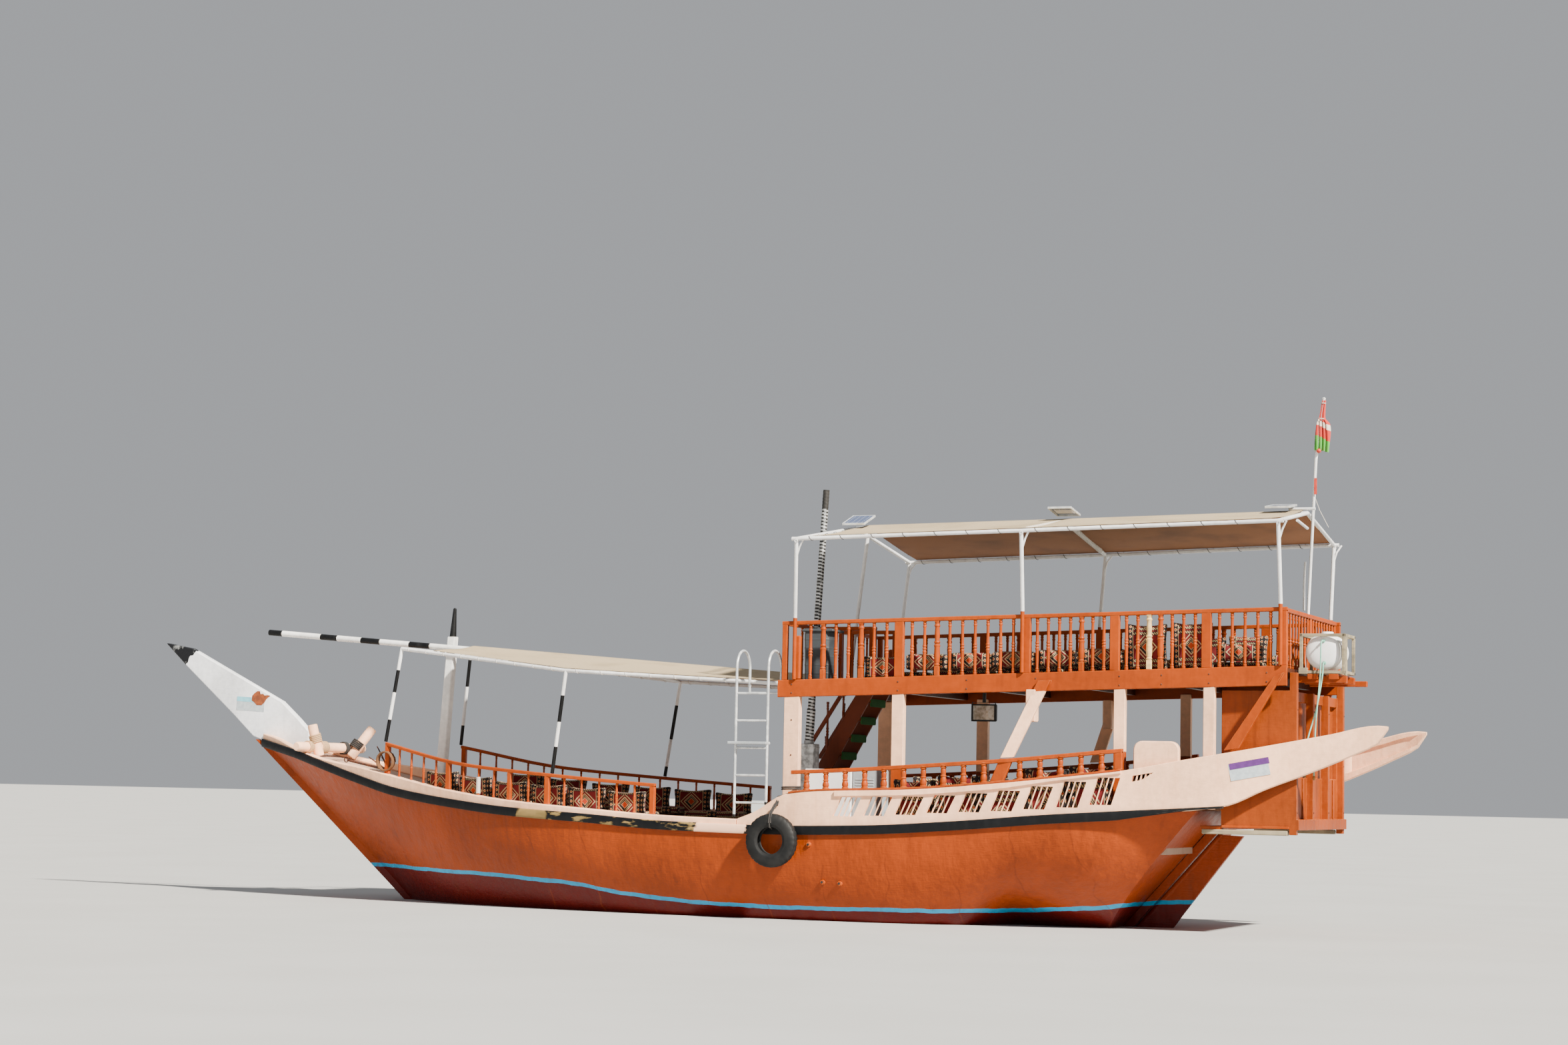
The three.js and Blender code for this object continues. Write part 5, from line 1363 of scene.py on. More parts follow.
def deck_frame(side, name):
    """Fascia, posts and braces. The posts are pink above the rail and orange below it."""
    piece = Piece()
    strip(piece, side, places(DECK["start"], DECK["end"], 0.4), lambda x: soft_rectangle(
        deck_half(x) - 0.06, deck_half(x), fascia_bottom(x), fascia_top(x), 0.007))
    for i, (x0, x1) in enumerate(POSTS):
        x, y = (x0 + x1) / 2, side * (deck_half(x1) - 0.055)
        levels = [hull_top(x1) + 0.005, main_rail_top(x) - 0.03, fascia_bottom(x0) + 0.06]
        outermost = i in (0, len(POSTS) - 1)
        if outermost:
            levels[1] = levels[0] + 0.05
        bar(piece, (x, y, levels[0]), (x, y, levels[1]), 0.1, x1 - x0, 1 if outermost else 0)
        bar(piece, (x, y, levels[1]), (x, y, levels[2]), 0.1, x1 - x0, 1)
    # The brace changes its paint on the way up
    low, change, high = main_rail_top(4.11), 2.93, 3.066
    share = (change - low) / (high - low)
    rail, head, middle, outer = BRACE["rail"], BRACE["head"], BRACE["middle"], deck_half(BRACE["head"]) + 0.05
    turn = (rail + (head - rail) * share, middle + (outer - middle) * share, change)
    spots = ((rail, middle, low + 0.006), turn, (head, outer, high))
    levels = [(*spot, BRACE["wide"], 0.01) for spot in spots]
    leaning_board(piece, side, *levels[:2], BRACE["thick"], 1)
    leaning_board(piece, side, *levels[1:], BRACE["thick"])
    leaning_board(
        piece, side, (6.78, 1.67, 2.244, 0.19, 0.03), (7.35, deck_half(7.4) + 0.05, 3.126, 0.13, 0.06), 0.06)
    outer = deck_half(4.2) + 0.09
    box(piece, (4.2, 4.33), (side * (outer - 0.15), side * outer), (2.56, 2.96), 1, 0.012)
    places_at = [
        (x, deck_half(x), fascia_bottom(x) + dz)
        for x in (1.05, 2.49, 3.4, 4.3, 5.37, 5.9, 6.49, 7.2) for dz in (0.05, 0.16)
    ]
    places_at += [(1.055, deck_half(1.16) - 0.005, z) for z in (2.1, 2.55)]
    places_at += [(4.37, deck_half(4.37) + 0.052, change)]
    bolts(piece, [((x, side * y, z), (0, side, 0)) for x, y, z in places_at], 0.011, 2)
    make(f"deck_frame_boards_{name}", piece, [ORANGE_PAINT, PINK_PAINT, RUSTY],
         replaces=[f"deck_frame_{name}"])


STAIR = {"foot": (0.43, 1.18), "head": (1.44, 2.96), "y": (-0.42, 0.22), "treads": 7, "board": 0.04}


def stair():
    """Stringers, carpeted treads, and handrails on turned balusters."""
    piece = Piece()
    (x0, z0), (x1, z1), (y0, y1) = STAIR["foot"], STAIR["head"], STAIR["y"]
    stringer = [(x0, z0), (x0 + 0.23, z0), (x1 + 0.23, z1), (x1, z1)]
    rail = [(x0 + 0.2, z0 + 0.9), (x0 + 0.26, z0 + 0.9), (x1 - 0.18, z1 + 0.01), (x1 - 0.24, z1 + 0.01)]
    for y in (y0, y1 - STAIR["board"]):
        plate(piece, stringer, y, y + STAIR["board"])
        plate(piece, rail, y, y + STAIR["board"])
        for share in (0.25, 0.5, 0.72):
            x, z = x0 + 0.077 + (x1 - x0) * share, z0 + (z1 - z0) * share
            baluster(piece, "t", (x, y + 0.02, z), (x, y + 0.02, min(z + 0.76, z1 - 0.04)))
    for i in range(STAIR["treads"]):
        share = (i + 1) / (STAIR["treads"] + 0.6)
        x, z = x0 + (x1 - x0) * share, z0 + (z1 - z0) * share
        box(piece, (x + 0.02, x + 0.25), (y0 + 0.035, y1 - 0.035), (z, z + 0.034), 0)
        box(piece, (x + 0.005, x + 0.255), (y0 + 0.045, y1 - 0.045), (z + 0.004, z + 0.055), 1, 0.018)
        box(piece, (x + 0.236, x + 0.262), (y0 + 0.05, y1 - 0.05), (z - 0.05, z + 0.05), 1, 0.01)
    make("stair_carpeted", piece, [BROWN_PAINT, CARPET], replaces=["stair"])


# Mast, boom and canopies

BOOM = {"start": (-7.86, -0.11, 3.78), "end": (0.79, -0.11, 3.14), "radius": 0.042}
# Where each band of the boom ends, from its tip: x. Black and white in turn
BOOM_BANDS = [-7.86, -7.636, -6.99, -6.715, -6.318, -6.008, -5.529, -5.194, 0.79]


def boom_z(x):
    (x0, _, z0), (x1, _, z1) = BOOM["start"], BOOM["end"]
    return z0 + (z1 - z0) * (x - x0) / (x1 - x0)


def banded(piece, start, end, radius, shares, finishes, sides=16, end_radius=None):
    """Round pole painted in bands. shares are where the bands meet, finishes one number for each band."""
    a, b = Vector(start), Vector(end)
    last = radius if end_radius is None else end_radius
    for k, paint in enumerate(finishes):
        low, high = shares[k], shares[k + 1]
        ends = [a.lerp(b, low), a.lerp(b, high)]
        radii = [radius + (last - radius) * share for share in (low, high)]
        rod(piece, *ends, radii[0] * 1.002, paint, sides, radii[1] * 1.002)


def mast_and_boom():
    mast = Piece()
    foot, head = Vector((-5.02, 0, hull_top(-5.1) + 0.002)), Vector((-4.89, 0, 3.72))
    rings = []
    for share, size in ((0, 0.122), (0.003, 0.13), (0.997, 0.12), (1, 0.112)):
        centre = foot.lerp(head, share)
        rings.append([centre + Vector((x, y, 0)) for x, y in planed(size, size, 0.012)])
    mast.skin(rings)
    spike = [(0, 0.05), (0.96, 0.024), (0.99, 0.02), (1, 0.01)]
    turned(mast, (-4.89, 0, 3.7), (-4.87, 0, 4.13), spike, 20, 1)
    make("mast_post", mast, [WHITE_PAINT, BLACK_PAINT], replaces=["mast"])
    boom = Piece()
    span = BOOM["end"][0] - BOOM["start"][0]
    shares = [(x - BOOM["start"][0]) / span for x in BOOM_BANDS]
    paints = [1 - k % 2 for k in range(len(shares) - 1)]
    banded(boom, BOOM["start"], BOOM["end"], BOOM["radius"], shares, paints, 24, BOOM["radius"] - 0.006)
    make("boom_striped", boom, [WHITE_PAINT, BLACK_PAINT], replaces=["boom"])


FORE_EDGE = [(-5.14, 1.0, 3.5), (-2.16, 1.85, 3.17), (0.79, 1.44, 3.03)]
# Foot of each fore pole, and the heights where its bands meet, from the top: near side, then far side
FORE_POLES = [
    (-5.3, {-1: [3.2, 2.89, 2.51], 1: [3.44, 3.05, 2.49]}),
    (-2.35, {-1: [2.84, 2.49, 2.16], 1: [2.83, 2.34, 1.95]}),
]
# Top and foot of the port and the starboard pole, and how far the edge pipes run on past the frame
UPPER_FRAMES = [
    {"x": (1.155, 1.275), "foot": (1.09, 1.23), "half": 1.98, "edge": 4.87, "ridge": 5.18, "past": -0.06},
    {"x": (4.15, 4.15), "foot": (4.125, 4.125), "half": 1.9, "edge": 4.94, "ridge": 5.225, "past": 0.0},
    {"x": (7.37, 7.31), "foot": (7.37, 7.3), "half": 1.79, "edge": 5.025, "ridge": 5.285, "past": 0.065},
]
CLOTH_FRONT = 1.38
# Foot of the prop before the upper canopy: x, y
FRONT_PROP = (0.985, 0.42)


def frame_corner(frame, side):
    return Vector((frame["x"][side > 0], side * frame["half"], frame["edge"]))


def frame_crown(frame):
    return Vector((sum(frame["x"]) / 2, 0, frame["ridge"]))


def pipe(piece, start, end, radius=TUBE):
    """Steel pipe with an open end at each side."""
    deep = 0.02 / (Vector(end) - Vector(start)).length
    bore, wall = radius * 0.7, radius * 0.72
    profile = [(deep, bore), (0, wall), (0, radius), (1, radius), (1, wall), (1 - deep, bore)]
    turned(piece, start, end, profile, 16)


def fore_canopy_frame():
    piece = Piece()
    for side in SIDES.values():
        corner = [(x, side * y, z) for x, y, z in FORE_EDGE]
        tube(piece, corner, TUBE, sides=16)
        for top, (x, bands) in zip(corner, FORE_POLES):
            foot = (x, side * (half_breadth(x) - RAIL_IN["fore"]), fore_rail_top(x) + 0.004)
            shares = [0] + [(top[2] - z) / (top[2] - foot[2]) for z in bands[side]] + [1]
            banded(piece, top, foot, TUBE, shares, [0, 1, 0, 1])
        for x, y, z in FORE_EDGE:
            tube(piece, [(x, side * y, z), (x, 0, boom_z(x) - BOOM["radius"] - TUBE - 0.012)], TUBE, sides=16)
    make("fore_canopy_pipes", piece, [PIPE_WHITE, PIPE_BLACK], replaces=["fore_canopy_frame"])


def upper_canopy_frame():
    """Poles that stand on the fascia, orange up to the rail, with open pipe ends and small braces on top."""
    piece, wrap = Piece(), Piece()

    def run(*points, radius=TUBE):
        tube(piece, points, radius, 0, 16)

    for frame, after in zip(UPPER_FRAMES, [*UPPER_FRAMES[1:], None]):
        for side in SIDES.values():
            foot = frame["foot"][side > 0]
            low = Vector((foot, side * (deck_half(foot) + TUBE - 0.008), upper_rail_top(foot)))
            top = frame_corner(frame, side)
            rod(piece, (foot, low.y, fascia_top(foot) + 0.002), low + Vector((0, 0, 0.04)), TUBE * 1.03, 1)
            run(low + Vector((0, 0, 0.02)), low + Vector((0, 0, 0.07)), top)
            run(top, frame_crown(frame))
            if after:
                run(top, frame_corner(after, side))
            if frame["past"]:
                pipe(piece, top, top + Vector((frame["past"], 0, 0)))
            # Open stub and small brace where the pole meets the edge pipe
            out = Vector((0, side, 0))
            inner = top - out * 0.03 - Vector((0, 0, 0.028))
            pipe(piece, inner, top + out * 0.045 + Vector((0.012, 0, -0.03)), radius=0.021)
            start = top.lerp(low, 0.25 / (top.z - low.z))
            run(start, (start.x + 0.045, start.y, top.z - 0.1), top + Vector((0.1, 0, -0.005)), radius=0.012)
        if after:
            run(frame_crown(frame), frame_crown(after))
    front, middle, aft = UPPER_FRAMES
    x, y = FRONT_PROP
    run((x, y, deck_top(x) + 0.006), frame_crown(front).lerp(frame_corner(front, 1), y / front["half"]))
    # Loose bar and strut over and under the ridge's after end
    end = frame_crown(aft)
    run(end + Vector((-0.24, 0, 0.055)), end + Vector((0.1, 0, 0.055)), radius=0.018)
    run((end.x, -0.6, 5.14), (end.x, 0, 5.09), radius=0.018)
    # Strips of cloth wound on the middle rafter
    for side in SIDES.values():
        axis = frame_corner(middle, side) - frame_crown(middle)
        tube(wrap, coil(frame_crown(middle) + axis / 2, axis, 0.027, 26, middle["half"] / 34), 0.009)
    make("upper_canopy_pipes", piece, [PIPE_WHITE, PIPE_ORANGE], replaces=["upper_canopy_frame"])
    make("rafter_wraps", wrap, [ROPE_WHITE])


def cloth_roof(name, node, xs, half, edge, ridge, sag, seed):
    """Cloth roof with small wrinkles, pulled over its edge pipes and its ridge. It sags between them."""
    random.seed(seed)
    across = spaced(-1, 1, 33)
    limits = ((1.5, 4), (1, 3), (0, 6.28), (0.002, 0.005))
    waves = [[random.uniform(*pair) for pair in limits] for _ in range(6)]
    sheets = {0.0: [], 0.004: []}
    for lift, rings in sheets.items():
        for x in xs:
            ring = []
            for s in across:
                flat = 1 - abs(s)
                low = edge(x) + 0.032
                z = low + (ridge(x) - low) * flat - sag(x) * math.sin(math.pi * flat)
                ripple = sum(a * math.sin(fx * x + fy * s * 3 + p) for fx, fy, p, a in waves)
                z += ripple * math.sin(math.pi * flat) + lift
                ring.append((x, s * (half(x) + 0.012), z))
            rings.append(ring)
    spots = [(x, s * (half(x) + 0.012)) for x in xs for s in across]
    layers = [[p for ring in rings for p in ring] for rings in sheets.values()]
    piece = Piece()
    piece.sheet(layers, spots, len(xs), len(across), (1, 0))
    return make(name, piece, [CANVAS_TOP, CANVAS_UNDER], replaces=[node], smooth=60)


def lacing(piece, path, radius, pitch, finish):
    """Thin cord in a row of loops round a pipe."""
    line = 0.0035
    points = [Vector(p) for p in path]
    for a, b in zip(points, points[1:]):
        length = (b - a).length
        for k in range(int(length / pitch)):
            spot = a.lerp(b, (k + 0.5) * pitch / length)
            tube(piece, coil(spot, b - a, radius + line, 1.15, 0.09), line, finish, sides=6)


def canopies():
    fore_half = straight([(x, y) for x, y, _ in FORE_EDGE])
    fore_edge = straight([(x, z) for x, _, z in FORE_EDGE])
    fore = cloth_roof(
        "fore_canopy_canvas", "fore_canopy_cloth", places(-4.55, 0.77, 0.14), fore_half, fore_edge,
        lambda x: boom_z(x) + BOOM["radius"] + 0.012, lambda x: 0.02, 3)
    half, edge, ridge = (
        straight([(sum(frame["x"]) / 2, frame[name]) for frame in UPPER_FRAMES])
        for name in ("half", "edge", "ridge")
    )
    upper = cloth_roof(
        "upper_canopy_canvas", "upper_canopy_cloth", places(CLOTH_FRONT, 7.28, 0.14), half, edge,
        lambda x: ridge(x) + 0.034,
        lambda x: 0.02 + 0.018 * math.sin(math.pi * min(max((x - 1.2) / 2.96, 0), 1)), 5)
    ties = Piece()
    for side in SIDES.values():
        lacing(ties, [(x, side * y, z) for x, y, z in FORE_EDGE], TUBE, 0.34, 0)
        lacing(ties, [frame_corner(frame, side) for frame in UPPER_FRAMES], TUBE, 0.42, 1)
    lacing(ties, [(CLOTH_FRONT, -1.96, 4.9), (CLOTH_FRONT, 0, 5.2), (CLOTH_FRONT, 1.96, 4.9)], 0.004, 0.3, 1)
    make("canopy_lacing", ties, [ROPE_WHITE, ROPE_DARK])


# Soft seats: every cushion is blown up once and laid out in rows

CUSHIONS = {
    "back": {"size": (0.57, 0.105, 0.39), "cells": (18, 3, 13), "reach": 0.02},
    "mat": {"size": (0.88, 0.4, 0.095), "cells": (26, 12, 3), "reach": 0.014},
    "big": {"size": (0.6, 0.11, 0.6), "cells": (18, 3, 18), "reach": 0.022},
    "bolster": {"size": (0.58, 0.17, 0.19), "cells": (18, 6, 6), "reach": 0.018},
}


def cushion_form(size, cells):
    """Closed block of a grid of cells, its corners drawn in. Each point has its spot on the cloth."""
    piece = Piece()
    places_at = [spaced(-1, 1, n + 1) for n in cells]

    def shaped(u, v, w):
        across, deep, up = u * size[0] / 2, v * size[1] / 2, w * size[2] / 2
        pull = 1 - 0.045 * (1 - w * w) * abs(u) ** 3
        squeeze = 1 - 0.045 * (1 - u * u) * abs(w) ** 3
        thin = 1 - 0.16 * (u * w) ** 4
        return (across * pull, deep * thin, up * squeeze + size[2] / 2)

    for flat in range(3):
        a, b = [i for i in range(3) if i != flat]
        for face in (-1, 1):
            points, spots = [], []
            for s in places_at[a]:
                for t in places_at[b]:
                    corner = [0, 0, 0]
                    corner[a], corner[b], corner[flat] = s, t, face
                    points.append(shaped(*corner))
                    x, y, z = (corner[i] * size[i] / 2 for i in range(3))
                    spots.append([(x + y * face, z), (x, z), (x, z + face * y)][flat])
            n = len(places_at[b])
            faces = [
                (i * n + j, (i + 1) * n + j, (i + 1) * n + j + 1, i * n + j + 1)
                for i in range(len(places_at[a]) - 1) for j in range(n - 1)
            ]
            piece.add(points, faces, 0, spots)
    return piece


AIR = {
    "use_pressure": True, "uniform_pressure_force": 4.0, "quality": 5, "mass": 0.3, "tension_stiffness": 18,
    "compression_stiffness": 18, "bending_stiffness": 1.2,
}


def blown_up(forms):
    """Stuffs each closed form with air and gives the points of the plump ones."""
    stage = []
    for number, (name, piece) in enumerate(forms.items()):
        obj = placed(name, mesh_of(name, piece, 1e-5))
        obj.location = (number * 3.0, 0, 50)
        cloth = obj.modifiers.new("air", "CLOTH").settings
        for key, value in AIR.items():
            setattr(cloth, key, value)
        cloth.effector_weights.gravity = 0
        stage.append((name, obj))
    for step in range(1, 21):
        bpy.context.scene.frame_set(step)
    grown = {}
    for name, obj in stage:
        mesh = obj.evaluated_get(bpy.context.evaluated_depsgraph_get()).data
        reach = CUSHIONS[name]["reach"]
        points = []
        for before, after in zip(obj.data.vertices, mesh.vertices):
            move = after.co - before.co
            points.append(before.co + move * (min(reach / move.length, 1.0) if move.length > 1e-6 else 1.0))
        cells, layer = obj.data.polygons, obj.data.uv_layers[0].data
        spots = [[tuple(layer[i].uv) for i in face.loop_indices] for face in cells]
        grown[name] = (points, [tuple(face.vertices) for face in cells], spots)
    bpy.context.scene.frame_set(1)
    for _, obj in stage:
        bpy.data.objects.remove(obj)
    return grown


class Row:
    """Cushions of one seat, joined into one mesh with the cloth's spots kept for every corner."""

    def __init__(self, masters):
        self.masters, self.points, self.faces, self.spots = masters, [], [], []

    def lay(self, kind, where, yaw=0.0, lean=0.0, stretch=(1, 1, 1), shift=(0.0, 0.0)):
        points, faces, spots = self.masters[kind]
        turn = Matrix.Rotation(yaw, 3, "Z") @ Matrix.Rotation(lean, 3, "X")
        start = len(self.points)
        sized = [Vector(p * k for p, k in zip(point, stretch)) for point in points]
        self.points += [turn @ point + Vector(where) for point in sized]
        self.faces += [tuple(start + i for i in face) for face in faces]
        self.spots += [(u + shift[0], v + shift[1]) for face in spots for u, v in face]

    def finish(self, name, node):
        mesh = bpy.data.meshes.new(name)
        mesh.from_pydata(self.points, [], self.faces)
        layer = mesh.uv_layers.new(name="cloth")
        for i, spot in enumerate(self.spots):
            layer.data[i].uv = spot
        mesh.shade_smooth()
        mesh.materials.append(KILIM_FINISH)
        obj = placed(name, mesh)
        rounding = obj.modifiers.new("rounding", "SUBSURF")
        rounding.levels = rounding.render_levels = 1
        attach(obj, "boat")
        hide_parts(node)


SEATS = {
    "fore": {"span": (-4.6, -0.95), "backs": 6, "mats": 4, "base": 0.0, "pad": 0.115},
    "main": {"span": (2.62, 5.25), "backs": 4, "mats": 3, "base": 0.32, "pad": 0.115},
    "upper": {"span": (1.95, 7.1), "backs": 9, "mats": 6, "base": 0.0, "pad": 0.11},
}


def seat_line(part):
    """Outer edge and floor of a seat along the boat."""
    if part == "fore":
        return lambda x: half_breadth(x) - 0.175, hull_top
    if part == "main":
        return lambda x: well_half(x) - 0.025, lambda x: WELL_FLOOR
    return lambda x: deck_half(x) - 0.1, deck_top


def side_backs(row, side):
    """Cushions that stand on the side deck, behind the windows and the main rail."""
    for x, over in ((2.8, 0.13), (3.38, 0.15), (3.94, -0.03), (4.5, 0.13), (5.05, 0.11)):
        yaw = side * math.atan2(half_breadth(x + 0.2) - half_breadth(x - 0.2), 0.4)
        tall = bulwark_top(x) + over - hull_top(x) - 0.012
        where = (x, side * (half_breadth(x) - 0.21), hull_top(x) + 0.012)
        stretch = (1.0, 0.86, tall / CUSHIONS["back"]["size"][2])
        row.lay("back", where, yaw, -side * 0.03, stretch, (0.0, 0.14))


def seats():
    masters = blown_up({name: cushion_form(c["size"], c["cells"]) for name, c in CUSHIONS.items()})
    random.seed(11)
    for part, seat in SEATS.items():
        outer, floor = seat_line(part)
        (x0, x1), base, pad = seat["span"], seat["base"], seat["pad"]
        for name, side in SIDES.items():
            row = Row(masters)
            length = (x1 - x0) / seat["mats"]
            for i in range(seat["mats"]):
                x = x0 + length * (i + 0.5)
                yaw = side * math.atan2(outer(x + 0.2) - outer(x - 0.2), 0.4)
                where = (x, side * (outer(x) - 0.35), floor(x) + base + 0.016)
                stretch, shift = (length * 0.97 / 0.91, 1, 0.85), (0.25 * (i % 2), 0.21)
                row.lay("mat", where, yaw, stretch=stretch, shift=shift)
            length = (x1 - x0) / seat["backs"]
            for i in range(seat["backs"]):
                x = x0 + length * (i + 0.5)
                yaw = side * math.atan2(outer(x + 0.2) - outer(x - 0.2), 0.4)
                lean = -side * random.uniform(0.02, 0.13)
                tip = random.uniform(-0.05, 0.05)
                z = floor(x) + base + 0.012
                if part == "upper" and 5.4 < x < 6.5:
                    kind, inner, lift, stretch = "big", 0.09, 0.01, (0.9, 0.9, 0.98)
                elif part == "upper" and i:
                    kind, inner, lift, stretch = "bolster", 0.13, pad, (0.96, 0.9, 0.95)
                    lean = 0
                elif part == "upper":
                    kind, inner, lift, stretch = "back", 0.09, 0, (0.95, 0.95, 0.76)
                elif part == "main":
                    kind, inner, lift, stretch = "back", 0.085, pad, (1.08, 0.95, 1.2)
                    lean, tip = lean * 0.6, 0
                else:
                    kind, inner, lift, stretch = "back", 0.09, 0, (1, 0.95, 0.95)
                row.lay(kind, (x, side * (outer(x) - inner), z + lift), yaw + tip, lean, stretch)
            if part == "main":
                side_backs(row, side)
            row.finish(f"{part}_cushions_{name}", f"{part}_seat_{name}")
    benches = Piece()
    for side in SIDES.values():
        outer = seat_line("main")[0]
        xs = [2.62, 4.5, 5.25]
        strip(benches, side, xs, lambda x: soft_rectangle(
            outer(x) - 0.55, outer(x) - 0.01, WELL_FLOOR + 0.29, WELL_FLOOR + 0.315, 0.006))
        strip(benches, side, xs, lambda x: soft_rectangle(
            outer(x) - 0.545, outer(x) - 0.52, WELL_FLOOR + GAP, WELL_FLOOR + 0.29, 0.004), 1)
    make("main_benches", benches, [BROWN_PAINT, ORANGE_PAINT])


# Hoses of the water tank, along the same points as their solids

HOSE_ROUTES = {
    "hose_low": [
        (7.8, -1.186, 3.33), (7.801, -1.197, 3.33), (7.804, -1.21, 3.325), (7.806, -1.222, 3.312),
        (7.806, -1.23, 3.29), (7.805, -1.233, 3.255), (7.802, -1.234, 3.21), (7.796, -1.236, 3.15),
        (7.786, -1.24, 3.08), (7.774, -1.246, 3.0), (7.758, -1.254, 2.9), (7.738, -1.264, 2.79),
        (7.714, -1.276, 2.68), (7.686, -1.29, 2.58), (7.658, -1.304, 2.48), (7.634, -1.316, 2.38),
        (7.618, -1.324, 2.28), (7.61, -1.328, 2.18), (7.608, -1.33, 2.08), (7.608, -1.33, 1.98),
    ],
    "hose_high": [
        (7.79, -1.186, 3.6), (7.789, -1.197, 3.6), (7.786, -1.21, 3.596), (7.782, -1.22, 3.584),
        (7.778, -1.225, 3.56), (7.776, -1.227, 3.5), (7.775, -1.228, 3.42), (7.774, -1.231, 3.32),
        (7.772, -1.24, 3.2), (7.768, -1.258, 3.08), (7.76, -1.274, 2.95), (7.748, -1.29, 2.8),
        (7.738, -1.305, 2.65), (7.732, -1.318, 2.5), (7.728, -1.328, 2.35), (7.724, -1.334, 2.2),
        (7.722, -1.338, 2.05), (7.722, -1.34, 1.95),
    ],
}


def hoses():
    for name, route in HOSE_ROUTES.items():
        piece = Piece()
        tube(piece, route, 0.009, sides=16)
        hose = make(f"{name}_run", piece, [HOSE_GREEN], replaces=[name], smooth=60)
        end = Piece()
        low = Vector(route[-1]) + Vector((0, 0, -0.05))
        turned(end, route[-1], low, [(0, 0.012), (0.1, 0.014), (0.7, 0.014), (1, 0.011)], 16)
        spout = make(f"{name}_spout", end, [BRASS])


# Water tank on its shelf

CRATE = {"x": (7.5, 8.06), "y": (-1.17, -0.54), "z": (3.2, 3.69), "bar": 0.038}
TANK = {"x": 7.78, "z": 3.47, "radius": 0.225, "y": (-1.14, -0.59)}


def tank():
    piece = Piece()
    (y0, y1), r = TANK["y"], TANK["radius"]
    dome = [(0, 0.0), (0.002, 0.05), (0.008, 0.1), (0.02, 0.15), (0.05, 0.195), (0.1, 0.219), (0.14, r)]
    groove = ((-0.03, 0), (-0.018, 0.006), (0.018, 0.006), (0.03, 0))
    ribs = [(centre + dx, r - deep) for centre in (0.22, 0.36, 0.5, 0.64, 0.78) for dx, deep in groove]
    far = [(1 - share, radius) for share, radius in reversed(dome)]
    turned(piece, (TANK["x"], y0, TANK["z"]), (TANK["x"], y1, TANK["z"]), dome + ribs + far, 56)
    for x, z in ((7.8, 3.33), (7.79, 3.6)):
        tap = [(0, 0.022), (0.55, 0.022), (0.56, 0.016), (1, 0.0145)]
        turned(piece, (x, y0 + 0.05, z), (x, y0 - 0.046, z), tap, 20, 1)
    turned(piece, (TANK["x"], -0.865, TANK["z"] + r - 0.01), (TANK["x"], -0.865, TANK["z"] + r + 0.03),
           [(0, 0.07), (0.2, 0.075), (0.8, 0.075), (1, 0.07)], 32)
    make("tank_drum", piece, [WHITE_PLASTIC, HOSE_GREEN], replaces=["water_tank"])
    crate, b = Piece(), CRATE["bar"]
    (x0, x1), (cy0, cy1), (z0, z1) = CRATE["x"], CRATE["y"], CRATE["z"]
    xs, ys, zs = (((low, low + b), (high - b, high)) for low, high in (CRATE["x"], CRATE["y"], CRATE["z"]))
    for a in xs:
        for c in ys:
            box(crate, a, c, (z0, z1), chamfer=0.003)
    for level in zs:
        for a in xs:
            x, z = a[0] + b / 2, level[0] + b / 2
            bar(crate, (x, cy0, z), (x, cy1, z), b * 0.96, b * 0.96, side=(1, 0, 0), chamfer=0.003)
        for c in ys:
            inner = [(low + 0.001, high - 0.001) for low, high in (c, level)]
            box(crate, (x0, x1), *inner, chamfer=0.003)
    for x in (7.62, 7.78, 7.93):
        bar(crate, (x, cy0, z0 + 0.01), (x, cy1, z0 + 0.01), 0.07, 0.018, side=(1, 0, 0), chamfer=0.003)
    for y in (cy0 - 0.004, cy1 - 0.012):
        box(crate, (x0 - 0.01, x0 + 0.1), (y, y + 0.016), (z0 - 0.004, z0 + 0.07), chamfer=0.003)
    box(crate, (x1 - 0.02, x1 + 0.004), (cy0 + 0.05, cy0 + 0.13), (z0 - 0.02, z1 - 0.01), chamfer=0.003)
    make("tank_crate_slats", crate, [WEATHERED], replaces=["tank_crate"])
    shelf = Piece()
    for y in (-1.08, -0.62):
        bar(shelf, (7.45, y, 3.13), (8.07, y, 3.13), 0.08, 0.08)
    bar(shelf, (7.45, -0.34, 3.105), (8.17, -0.34, 3.105), 0.08, 0.07)
    for x in (7.66, 7.92):
        bar(shelf, (x, -1.18, 3.1625), (x, -0.3, 3.1625), 0.12, 0.065, side=(1, 0, 0))
    make("tank_shelf_beams", shelf, [ORANGE_PAINT], replaces=["tank_shelf"])


# Exhaust with its lagging

EXHAUST = {"low": (0.95, -0.9, 2.25), "high": (1.13, -0.9, 5.61), "radius": 0.05}


